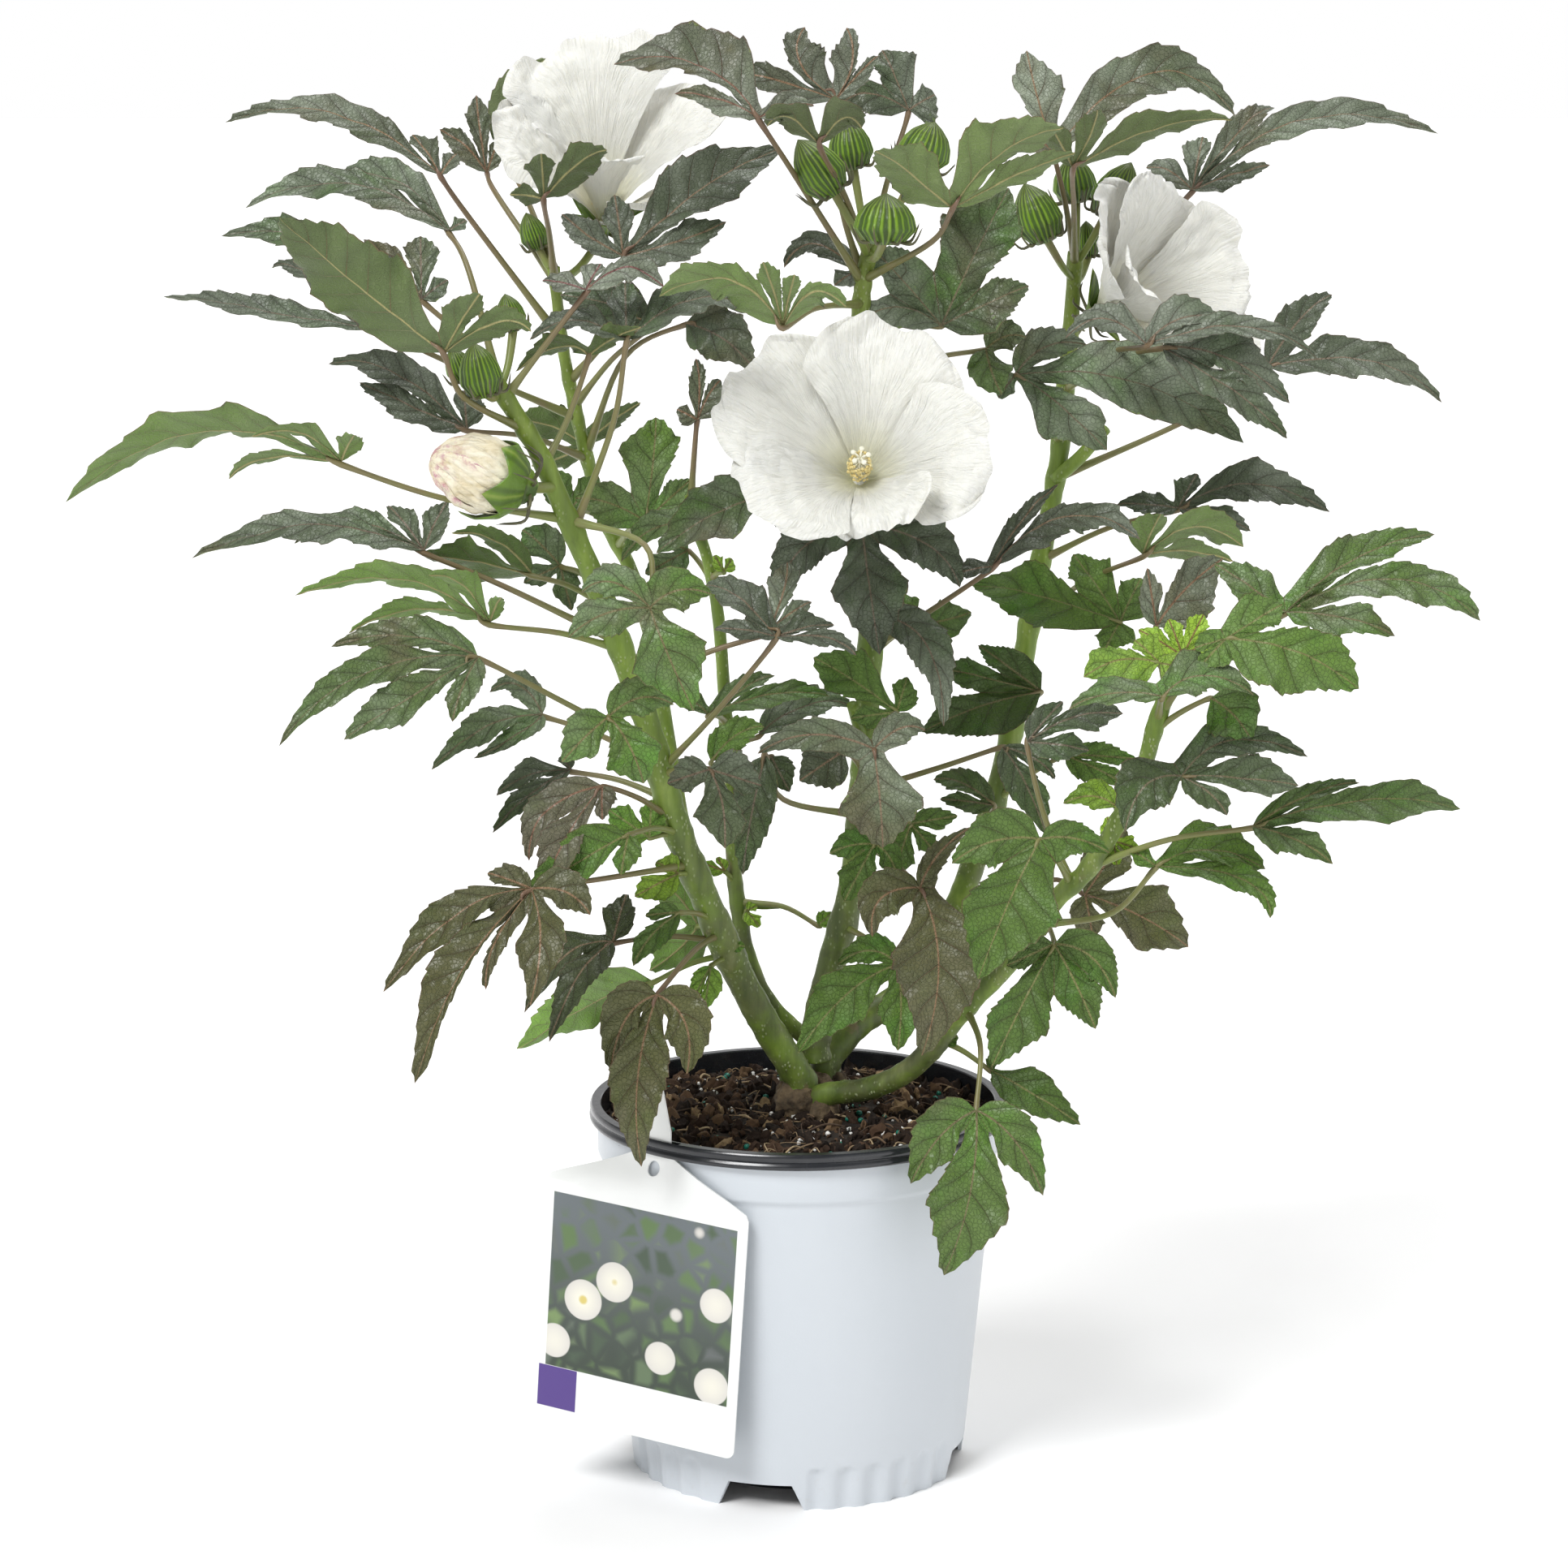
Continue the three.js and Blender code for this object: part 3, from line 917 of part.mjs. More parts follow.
function openingBudCup() {
  const { start, along, length } = openingBudAxis();
  const cup = solidOf(loft([
    ...OPEN_CUP_OUTSIDE.map(([low, high, width]) => budRing([low, high], width, 2 * GAP + SEPAL_THICKNESS)),
    ...OPEN_CUP_INSIDE.map(([low, high, width]) => budRing([low, high], width, 2 * GAP)),
  ]));
  const root = caneAt(OPENING_BUD.cane, OPENING_BUD.from);
  const end = start.clone().addScaledVector(along, OPEN_CUP_STALK_END * length);
  const stalk = stem([root, end], OPEN_CUP_STALK_RADIUS, OPEN_CUP_STALK_RADIUS, 5);
  return [stalk, cup];
}

// Canes, crown, soil and pot

const CANE_SIDES = 7;
const FOOT_SINK = 10;
const CROWN_LUMP = 1.45;
const CROWN_TOP = POT_HEIGHT;
const CROWN_HEART = [4, 8, CROWN_TOP - 12];

// A cane's route with its foot drawn down into the crown.
function caneRoute(cane, more = 0) {
  const points = CANES[cane].route.map(([px, py, depth]) => seen([px, py], depth));
  const foot = points[0].clone();
  foot.z -= FOOT_SINK + more;
  return [foot, ...points];
}

function caneSolid(cane, more = 0) {
  const [foot, top] = CANES[cane].radii;
  return stem(caneRoute(cane, more), foot + more, top + more, CANE_SIDES);
}

function leafyStem(cane) {
  const solids = [caneSolid(cane)];
  for (const leaf of LEAVES[cane]) solids.push(...leafSolids(cane, leaf));
  for (const bud of BUDS[cane]) solids.push(...budSolids(cane, bud));
  for (const bloom of Object.values(BLOOMS)) {
    if (bloom.cane === cane) solids.push(...calyxSolids(bloom));
  }
  if (OPENING_BUD.cane === cane) solids.push(...openingBudCup());
  return joined(solids);
}

// The woody knob that the canes grow from: a lump round each foot.
function crownSolid(more = 0) {
  const lumps = Object.entries(CANES).map(([cane, { radii }]) => {
    const lump = new THREE.SphereGeometry(radii[0] * CROWN_LUMP + more, 6, 4);
    const place = caneRoute(cane)[0];
    lump.translate(place.x, place.y, Math.min(place.z, CROWN_TOP));
    return solidOf(lump);
  });
  const heart = new THREE.SphereGeometry(CROWN_RADIUS + more, 8, 5);
  heart.translate(...CROWN_HEART);
  return joined([solidOf(heart), ...lumps]);
}

function rootCrown() {
  const cut = (crown, cane) => crown.subtract(caneSolid(cane, 3 * GAP));
  const holed = Object.keys(CANES).reduce(cut, crownSolid());
  return joined([holed]);
}

function wallRadius(height) {
  return THREE.MathUtils.lerp(BASE_RADIUS, RIM_RADIUS - 6.5, height / (POT_HEIGHT - COLLAR_DROP));
}

// An outline of radius and height turned about the Z axis.
function lathe(outline, sides) {
  const points = outline.map(([r, z]) => new THREE.Vector2(r, z));
  return new THREE.LatheGeometry(points, sides).rotateX(Math.PI / 2);
}

function turned(outline) {
  return solidOf(lathe(outline, POT_SIDES));
}

const COLLAR_RADIUS = RIM_RADIUS - 4.6;
const BOSS_RADIUS = 62;

// From where to where a notch cuts the foot ring, and the block that cuts the tag's slot in the rim.
const NOTCH_REACH = [BOSS_RADIUS + 5, BOSS_RADIUS + 35];
const SLOT_WIDER = 12;
const SLOT_BLOCK = [24, 30];
const SLOT_INWARDS = 0.2;
const SLOT_DEPTH = 10;
const RIM_EDGE = 1.5;

// The pot's closed outline, from the middle of its floor up the outside and down the inside.
function potOutline() {
  const [step, top] = [POT_HEIGHT - COLLAR_DROP, POT_HEIGHT];
  return [
    [0, 0], [BOSS_RADIUS, 0], [BOSS_RADIUS + 2, FOOT_HEIGHT], [BASE_RADIUS - WALL, FOOT_HEIGHT],
    [BASE_RADIUS - WALL, 0], [BASE_RADIUS, 0], [wallRadius(step), step], [COLLAR_RADIUS, step + 3],
    [COLLAR_RADIUS, top - RIM_DROP], [RIM_RADIUS, top - RIM_DROP], [RIM_RADIUS, top - RIM_EDGE],
    [RIM_RADIUS - RIM_EDGE, top], [COLLAR_RADIUS - WALL, top], [COLLAR_RADIUS - WALL, step + 4],
    [wallRadius(step) - WALL, step], [BASE_RADIUS - WALL, FOOT_HEIGHT + WALL],
    [BOSS_RADIUS, FOOT_HEIGHT + WALL], [BOSS_RADIUS - WALL, WALL], [0, WALL],
  ];
}

// A notch in the pot's foot, a block narrower at the top.
function notchSolid(number) {
  const half = NOTCH_WIDTH / 2;
  const top = FOOT_HEIGHT - 1;
  const corners = [[-half - NOTCH_SLANT, -1], [half + NOTCH_SLANT, -1], [half, top], [-half, top]];
  const outline = new THREE.Shape(corners.map(([x, y]) => new THREE.Vector2(x, y)));
  const block = new THREE.ExtrudeGeometry(outline, {
    depth: NOTCH_REACH[1] - NOTCH_REACH[0], bevelEnabled: false,
  }).rotateX(Math.PI / 2).translate(0, -NOTCH_REACH[0], 0);
  block.rotateZ(THREE.MathUtils.degToRad(FIRST_NOTCH + (360 / NOTCH_COUNT) * number));
  return solidOf(block);
}

// The slot in the rim that the tag's tongue stands in.
function tagSlot() {
  const [inner, outer] = [COLLAR_RADIUS - SLOT_INWARDS, RIM_RADIUS - RIM_EDGE];
  const [low, high] = [POT_HEIGHT - SLOT_DEPTH, POT_HEIGHT + SLOT_DEPTH];
  const band = turned([[inner, low], [outer, low], [outer, high], [inner, high], [inner, low]]);
  const block = new THREE.BoxGeometry(TAG_NECK_WIDTH + SLOT_WIDER, ...SLOT_BLOCK);
  block.translate(0, -TAG_RADIUS, POT_HEIGHT);
  return band.intersect(solidOf(block.rotateZ(THREE.MathUtils.degToRad(TAG_SLOT_TURN))));
}

function pot() {
  const cuts = Array.from({ length: NOTCH_COUNT }, (_, i) => notchSolid(i));
  return [...cuts, tagSlot()].reduce((body, cut) => body.subtract(cut), turned(potOutline()));
}

const SOIL_MOUND = 6;
const SOIL_RINGS = 3;
const SOIL_SIDES = 22;

// The soil's top, with low mounds.
function soilHeight(x, y) {
  const spread = Math.hypot(x, y) / RIM_RADIUS;
  const lumps = Math.sin(x / 11) * Math.cos(y / 9) + 0.6 * Math.sin((x + y) / 6);
  return POT_HEIGHT - SOIL_BELOW_RIM + SOIL_MOUND * (1 - spread * spread) + lumps;
}

function soil() {
  const step = POT_HEIGHT - COLLAR_DROP;
  const outer = COLLAR_RADIUS - WALL - GAP;
  const floor = FOOT_HEIGHT + WALL + GAP;
  const level = POT_HEIGHT - SOIL_BELOW_RIM;
  const top = Array.from({ length: SOIL_RINGS }, (_, i) => [outer * (1 - i / SOIL_RINGS), level]);
  const outline = [
    [0, WALL + GAP], [BOSS_RADIUS - WALL - 2 * GAP, WALL + GAP], [BOSS_RADIUS - GAP, floor],
    [BASE_RADIUS - WALL - 2 * GAP, floor], [wallRadius(step) - WALL - GAP, step], [outer, step + 5],
    ...top, [0, level],
  ];
  const body = lathe(outline, SOIL_SIDES);
  const place = body.getAttribute("position");
  for (let i = 0; i < place.count; i += 1) {
    if (place.getZ(i) < step + 6) continue;
    place.setZ(i, soilHeight(place.getX(i), place.getY(i)));
  }
  return Object.keys(CANES).reduce((mass, cane) => mass.subtract(caneSolid(cane, 2 * GAP)),
    solidOf(body).subtract(crownSolid(2 * GAP)));
}

// The tag: a card with a pointed top, whose tongue stands up through the rim's slot.
function tagOutline() {
  const [half, neck] = [TAG_WIDTH / 2, TAG_NECK_WIDTH / 2];
  const roof = (y) => [THREE.MathUtils.lerp(neck, half, y / TAG_SHOULDER), y];
  const right = [
    [half, TAG_SHOULDER - TAG_HEIGHT], [half, TAG_SHOULDER], roof(0.75 * TAG_SHOULDER),
    roof(0.5 * TAG_SHOULDER), roof(0.25 * TAG_SHOULDER), roof(0), [neck, 7], [neck, 14],
    [4, TAG_TONGUE_HEIGHT],
  ];
  const left = right.map(([x, y]) => [-x, y]).reverse();
  const roll = THREE.MathUtils.degToRad(TAG_ROLL);
  return [...right, ...left].map(([x, y]) => {
    const share = THREE.MathUtils.smoothstep(y, TAG_SHOULDER, TAG_BEND_TOP);
    return new THREE.Vector2(x, y).rotateAround(new THREE.Vector2(0, 0), roll * (1 - share));
  });
}

// Bends a flat piece round the neck: the tongue lies along the rim, and the card turns to the front
// and stands clear of the pot.
function placeTag(flat) {
  const place = flat.getAttribute("position");
  const slot = THREE.MathUtils.degToRad(TAG_SLOT_TURN);
  const out = new THREE.Vector3(Math.sin(slot), -Math.cos(slot), 0);
  for (let i = 0; i < place.count; i += 1) {
    const [x, y, z] = [place.getX(i), place.getY(i), place.getZ(i)];
    const twist = THREE.MathUtils.smoothstep(y, TAG_SHOULDER, TAG_BEND_TOP);
    const turn = THREE.MathUtils.degToRad(THREE.MathUtils.lerp(TAG_TURN, TAG_SLOT_TURN, twist));
    const reach = TAG_RADIUS + TAG_STAND_OFF * (1 - twist);
    place.setXYZ(i, reach * out.x + x * Math.cos(turn) + z * Math.sin(turn),
      reach * out.y + x * Math.sin(turn) - z * Math.cos(turn), POT_HEIGHT - TAG_NECK_BELOW_RIM + y);
  }
  return flat;
}

function tag() {
  const outline = new THREE.Shape(tagOutline());
  outline.holes.push(new THREE.Path().absarc(0, -9, TAG_HOLE_RADIUS, 0, 2 * Math.PI, true));
  const card = new THREE.ExtrudeGeometry(outline, {
    depth: TAG_THICKNESS, bevelEnabled: false, curveSegments: 6 });
  return solidOf(placeTag(card.translate(0, 0, -TAG_THICKNESS / 2)));
}

// The object

const COLOURS = {
  pot: 0xdfe6ec, soil: 0x33241b, root_crown: 0x5a4630, tag: 0xf4f4f0, petals: 0xf6f4ea,
  pistil: 0xefd98a, leaf: 0x53643f,
};

const object = new THREE.Group();

function place(name, solid, color, roughness) {
  const material = new THREE.MeshStandardMaterial({ color, roughness, metalness: 0 });
  const mesh = new THREE.Mesh(geometryOf(solid), material);
  mesh.name = name;
  object.add(mesh);
}

place("pot", pot(), COLOURS.pot, 0.35);
place("soil", soil(), COLOURS.soil, 0.95);
place("tag", tag(), COLOURS.tag, 0.4);
place("root_crown", rootCrown(), COLOURS.root_crown, 0.9);
for (const cane of Object.keys(CANES)) place(`leafy_stem_${cane}`, leafyStem(cane), COLOURS.leaf, 0.6);
for (const [name, bloom] of Object.entries(BLOOMS)) {
  place(`bloom_${name}_petals`, bloomPetals(bloom), COLOURS.petals, 0.6);
  place(`bloom_${name}_pistil`, bloomPistil(bloom), COLOURS.pistil, 0.7);
}
place("opening_bud_petals", rolledPetals(), COLOURS.petals, 0.6);

export default object;
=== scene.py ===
# A rose mallow growing in a nursery pot, with its tag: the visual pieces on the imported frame.
# Lengths in the tables and functions are millimetres; the meshes are made in metres, and so are the
# heights that the materials measure and the depths of their bumps.
import math
import random
from functools import cache

import bmesh
import bpy
import numpy as np
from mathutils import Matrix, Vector, noise
from mathutils.geometry import delaunay_2d_cdt


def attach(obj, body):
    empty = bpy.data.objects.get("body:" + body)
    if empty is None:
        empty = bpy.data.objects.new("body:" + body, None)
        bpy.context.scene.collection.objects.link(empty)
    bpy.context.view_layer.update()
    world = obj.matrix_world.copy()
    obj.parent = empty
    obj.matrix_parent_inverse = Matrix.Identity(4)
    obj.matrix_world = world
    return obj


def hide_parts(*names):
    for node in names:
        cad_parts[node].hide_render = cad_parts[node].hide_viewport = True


MM = 0.001

# The pot, its soil and its tag
POT_HEIGHT = 214
RIM_RADIUS = 120
BASE_RADIUS = 96
WALL = 2.2
RIM_DROP = 9
COLLAR_DROP = 31
FOOT_HEIGHT = 16
BOSS_RADIUS = 62
COLLAR_RADIUS = 115.4
NOTCH_COUNT = 4
NOTCH_WIDTH = 36
NOTCH_SLANT = 7
FIRST_NOTCH = -13
SOIL_BELOW_RIM = 13
SOIL_MOUND = 6
GAP = 0.35
TAG_THICKNESS = 0.9
TAG_WIDTH = 128
TAG_HEIGHT = 142
TAG_ROLL = -4
TAG_TURN = -26
TAG_SLOT_TURN = -43
TAG_RADIUS = 116.4
TAG_STAND_OFF = 5.5
TAG_NECK_BELOW_RIM = 8
TAG_SHOULDER = -24
TAG_BEND_TOP = -3
TAG_NECK_WIDTH = 24
TAG_TONGUE_HEIGHT = 45
TAG_HOLE_RADIUS = 4.3

# The plant
STALK_RADIUS = 1.9
CROWN_RADIUS = 21
CROWN_HEART = (4, 8, POT_HEIGHT - 12)
PETAL_LENGTH = 88
PETAL_WIDTH = 104
PISTIL_LENGTH = 27
SEPAL_LENGTH = 27
HUB_RADIUS = 4.6
HUB_DEPTH = 3
HUB_TOP = 2
PETAL_START = 3

# The photograph's view
EYE = np.array([-8.0, -2373.0, 863.0])
LOOKS_DOWN = math.radians(11.08)
PIXELS_PER_SLOPE = 5250
MIDDLE_PIXEL = 966
SENSOR = 36
PICTURE_WIDTH = 1932


# A vector made one long.
def unit(vector):
    return vector / max(np.linalg.norm(vector), 1e-9)


# The direction in which a pixel of the photograph is seen.
def sight(px, py):
    right = (px - MIDDLE_PIXEL) / PIXELS_PER_SLOPE
    up = (MIDDLE_PIXEL - py) / PIXELS_PER_SLOPE
    forward = math.cos(LOOKS_DOWN) + up * math.sin(LOOKS_DOWN)
    rise = up * math.cos(LOOKS_DOWN) - math.sin(LOOKS_DOWN)
    return np.array([right, forward, rise])


# The point seen at a pixel, at a depth behind (+) or in front of (-) the middle of the pot.
def seen(pixel, depth):
    ray = sight(*pixel)
    return EYE + ray * ((depth - EYE[1]) / ray[1])


# The point seen at a pixel on the plane through a place with a normal.
def seen_on_plane(pixel, place, normal):
    ray = sight(*pixel)
    return EYE + ray * (np.dot(place - EYE, normal) / np.dot(ray, normal))


# A unit vector from a turn to the viewer's right and a tilt upwards, in degrees.
def facing(turn_tilt):
    turn, tilt = (math.radians(v) for v in turn_tilt)
    return np.array([
        math.sin(turn) * math.cos(tilt), -math.cos(turn) * math.cos(tilt), math.sin(tilt)])


def smoothstep(value, low=0.0, high=1.0):
    share = np.clip((value - low) / (high - low), 0, 1)
    return share * share * (3 - 2 * share)


def lerp(low, high, share):
    return low + (high - low) * share


# A vector turned about an axis that is one long.
def turned_about(vector, axis, angle):
    return (
        vector * math.cos(angle) + np.cross(axis, vector) * math.sin(angle)
        + axis * np.dot(axis, vector) * (1 - math.cos(angle)))


# The angle from one direction to another as seen against a normal.
def angle_about(normal, start, end):
    return math.atan2(np.dot(normal, np.cross(start, end)), np.dot(start, end))


# Meshes

# Surfaces under way: points, faces of three or four corners, and what each corner knows of its
# place: how far along and across in millimetres, how far from the middle from 0 to 1, and then a
# number of its own, its tone, and its share along.
class Skin:
    def __init__(self):
        self.points = []
        self.total = 0
        self.faces = []
        self.marks = []
        self.finishes = []

    # The number of the first of some new points.
    def add(self, points):
        points = np.asarray(points, float).reshape(-1, 3)
        start = self.total
        self.points.append(points)
        self.total += len(points)
        return start

    # Faces from rows of four point numbers, where a repeated number makes a triangle.
    def join(self, index, marks, finish=0):
        index = np.array(index, int).reshape(-1, 4)
        marks = np.array(marks, float).reshape(-1, 4, 6)
        for corner in range(4):
            double = index[:, corner] == index[:, (corner + 1) % 4]
            order = [c for c in range(4) if c != corner] + [corner]
            index[double] = index[double][:, order]
            marks[double] = marks[double][:, order]
            index[double, 3] = -1
        a, b, c = index[:, 0], index[:, 1], index[:, 2]
        sound = (a != b) & (b != c) & (c != a)
        self.faces.append(index[sound])
        self.marks.append(marks[sound])
        self.finishes.append(np.full(sound.sum(), finish))

    # A grid of points, with marks for each; wrap joins its last column to its first, and the marks
    # then have a column more than the points.
    def grid(self, points, marks, finish=0, wrap=False, flip=False):
        rows, columns = points.shape[:2]
        number = self.add(points) + np.arange(rows * columns).reshape(rows, columns)
        if wrap:
            number = np.hstack([number, number[:, :1]])
        self.weave(number, marks, finish, flip)
        return number

    # Faces over a grid of point numbers.
    def weave(self, number, marks, finish=0, flip=False):
        corners = [(0, 0), (1, 0), (1, 1), (0, 1)]
        if flip:
            corners.reverse()
        rows, columns = number.shape

        def cut(grid, row, column):
            return grid[row:rows - 1 + row, column:columns - 1 + column]
        index = np.stack([cut(number, *c) for c in corners], axis=-1)
        known = np.stack([cut(marks, *c) for c in corners], axis=-2)
        self.join(index.reshape(-1, 4), known.reshape(-1, 4, 6), finish)

    # The mesh, dressed and linked to the scene as one visual piece that stands for the named nodes.
    def piece(self, name, materials, slot, *nodes, smooth=True):
        points = np.vstack(self.points) * MM
        index = np.vstack(self.faces)
        marks = np.vstack(self.marks)
        used = index >= 0
        mesh = bpy.data.meshes.new(name)
        mesh.vertices.add(len(points))
        mesh.vertices.foreach_set("co", points.astype(np.float32).ravel())
        loops = index[used]
        totals = used.sum(axis=1)
        mesh.loops.add(len(loops))
        mesh.loops.foreach_set("vertex_index", loops.astype(np.int32))
        mesh.polygons.add(len(totals))
        starts = np.concatenate([[0], np.cumsum(totals)[:-1]])
        mesh.polygons.foreach_set("loop_start", starts.astype(np.int32))
        mesh.polygons.foreach_set("material_index", np.concatenate(self.finishes).astype(np.int32))
        mesh.polygons.foreach_set("use_smooth", np.full(len(totals), smooth))
        for title, columns in (("place", slice(0, 3)), ("kind", slice(3, 6))):
            layer = mesh.attributes.new(title, "FLOAT_VECTOR", "CORNER")
            layer.data.foreach_set("vector", marks[used][:, columns].astype(np.float32).ravel())
        mesh.update(calc_edges=True)
        mesh.validate()
        for material in materials:
            mesh.materials.append(material)
        made = bpy.data.objects.new(name, mesh)
        bpy.context.scene.collection.objects.link(made)
        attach(made, "root")
        if nodes:
            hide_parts(*nodes)
        return made


# Marks for a grid: each of the six values broadcast to rows and columns.
def marks_of(shape, along=0, across=0, side=0, seed=0, tone=0, share=0):
    return np.stack([np.broadcast_to(np.asarray(v, float), shape) for v in (
        along, across, side, seed, tone, share)], axis=-1)


# A smooth route through points, with steps between each two.
def smooth_route(points, steps):
    points = np.array(points, float)
    ends = np.vstack([2 * points[0] - points[1], points, 2 * points[-1] - points[-2]])
    rows = []
    for k in range(len(points) - 1):
        before, here, then, after = ends[k:k + 4]
        for s in np.arange(steps) / steps:
            rows.append(0.5 * (
                2 * here + (then - before) * s + (2 * before - 5 * here + 4 * then - after) * s * s
                + (3 * here - before - 3 * then + after) * s ** 3))
    rows.append(points[-1])
    return np.array(rows)


# Directions across a route, turned as little as they can be from each to the next.
def frames_of(route):
    along = np.gradient(route, axis=0)
    along /= np.maximum(np.linalg.norm(along, axis=1, keepdims=True), 1e-9)
    wished = np.array([0.0, 1.0, 0.0]) if abs(along[0][1]) < 0.9 else np.array([1.0, 0.0, 0.0])
    across = []
    for direction in along:
        wished = unit(wished - direction * np.dot(wished, direction))
        across.append(wished)
    across = np.array(across)
    return along, across, np.cross(along, across)


# A closed tube along a route, its radius given at each point, or at each point and side.
def tube(skin, route, radii, sides, seed, tone, finish=0):
    _, across, other = frames_of(route)
    angles = 2 * np.pi * np.arange(sides) / sides
    radii = np.asarray(radii, float)
    if radii.ndim == 1:
        radii = radii[:, None] * np.ones(sides)
    cosine, sine = np.cos(angles)[None, :, None], np.sin(angles)[None, :, None]
    ring = cosine * across[:, None] + sine * other[:, None]
    points = route[:, None] + radii[..., None] * ring
    steps = np.linalg.norm(np.diff(route, axis=0), axis=1)
    along = np.concatenate([[0], np.cumsum(steps)])
    shape = (len(route), sides + 1)
    turn = np.arange(sides + 1) / sides
    marks = marks_of(shape, along[:, None], radii.mean() * turn[None], turn[None], seed, tone,
                     (along / max(along[-1], 1e-9))[:, None])
    number = skin.grid(points, marks, finish, wrap=True, flip=True)
    for end in (0, -1):
        middle = np.full(sides, skin.add(route[end]))
        fan = np.stack([number[end, :-1], number[end, 1:], middle, middle], axis=1)
        if end == 0:
            fan = fan[:, [1, 0, 2, 3]]
        skin.join(fan, np.broadcast_to(marks[end, 0], (sides, 4, 6)), finish)


# A sheet with a front and a back over the same grid, sharp at its rim and open at its first row.
def thin_sheet(skin, points, marks, thickness):
    normals = np.cross(np.gradient(points, axis=0), np.gradient(points, axis=1))
    normals /= np.maximum(np.linalg.norm(normals, axis=2, keepdims=True), 1e-9)
    body = np.ones(points.shape[:2])
    body[-1] = 0
    body[:, 0] = body[:, -1] = 0
    skin.grid(points, marks)
    skin.grid(points - normals * (thickness * body)[..., None], marks, flip=True)


# Where the plant's pieces are seen

# A cane: its radius at the foot and the top, and its route as pixel, pixel and depth.
CANES = {
    "front_left": {"radii": (9.8, 4.2), "route": (
        (985, 1328, -8), (945, 1265, -16), (905, 1190, -28), (870, 1110, -44), (830, 1010, -58),
        (800, 900, -72), (765, 800, -84), (735, 720, -94), (700, 640, -104), (665, 560, -110),
        (632, 505, -114), (610, 470, -116))},
    "back_left": {"radii": (5.6, 3.2), "route": (
        (972, 1310, 14), (932, 1230, 30), (880, 1140, 54), (846, 1040, 76), (822, 906, 96),
        (803, 790, 104), (776, 700, 104), (745, 640, 98), (722, 560, 90), (708, 500, 82),
        (694, 430, 72), (682, 330, 60))},
    "slender": {"radii": (5.2, 2.8), "route": (
        (1000, 1288, 42), (948, 1235, 44), (920, 1170, 46), (906, 1090, 48), (900, 1000, 48),
        (894, 880, 44), (885, 760, 40), (872, 690, 34), (855, 640, 28), (850, 610, 26))},
    "centre": {"radii": (9.5, 4), "route": (
        (1004, 1285, 10), (1012, 1240, 11), (1024, 1190, 13), (1048, 1100, 18), (1060, 1010, 22),
        (1067, 906, 24), (1072, 791, 22), (1068, 690, 16), (1062, 600, 10), (1060, 500, 6),
        (1060, 400, 4), (1064, 345, 2), (1072, 308, -2))},
    "right": {"radii": (9.5, 4.2), "route": (
        (1018, 1308, 26), (1055, 1262, 38), (1110, 1225, 56), (1160, 1160, 74), (1190, 1090, 90),
        (1230, 970, 108), (1250, 880, 120), (1270, 760, 132), (1290, 650, 138), (1305, 560, 140),
        (1315, 450, 138), (1321, 380, 136), (1325, 310, 134))},
    "low_right": {"radii": (7.2, 4), "route": (
        (1012, 1350, -14), (1075, 1340, -28), (1130, 1310, -42), (1190, 1240, -60), (1240, 1190, -74),
        (1300, 1110, -92), (1345, 1065, -104), (1400, 970, -120), (1425, 890, -130),
        (1440, 850, -134))},
}


# A leaf: the pixel row where its stalk leaves the cane, the pixel and depth where the stalk joins
# the blade, the turn and tilt of its upper side, and its lobes in turn round the joint: tip pixel,
# half width in millimetres, and for some a pixel halfway along. Some also say a pixel that the
# stalk passes, via, how far the lobes hang together, web, and how green they are, tone.
def leaf(row, joint, deep, faces, *lobes, **more):
    return {"row": row, "joint": joint, "deep": deep, "faces": faces, "lobes": lobes, **more}


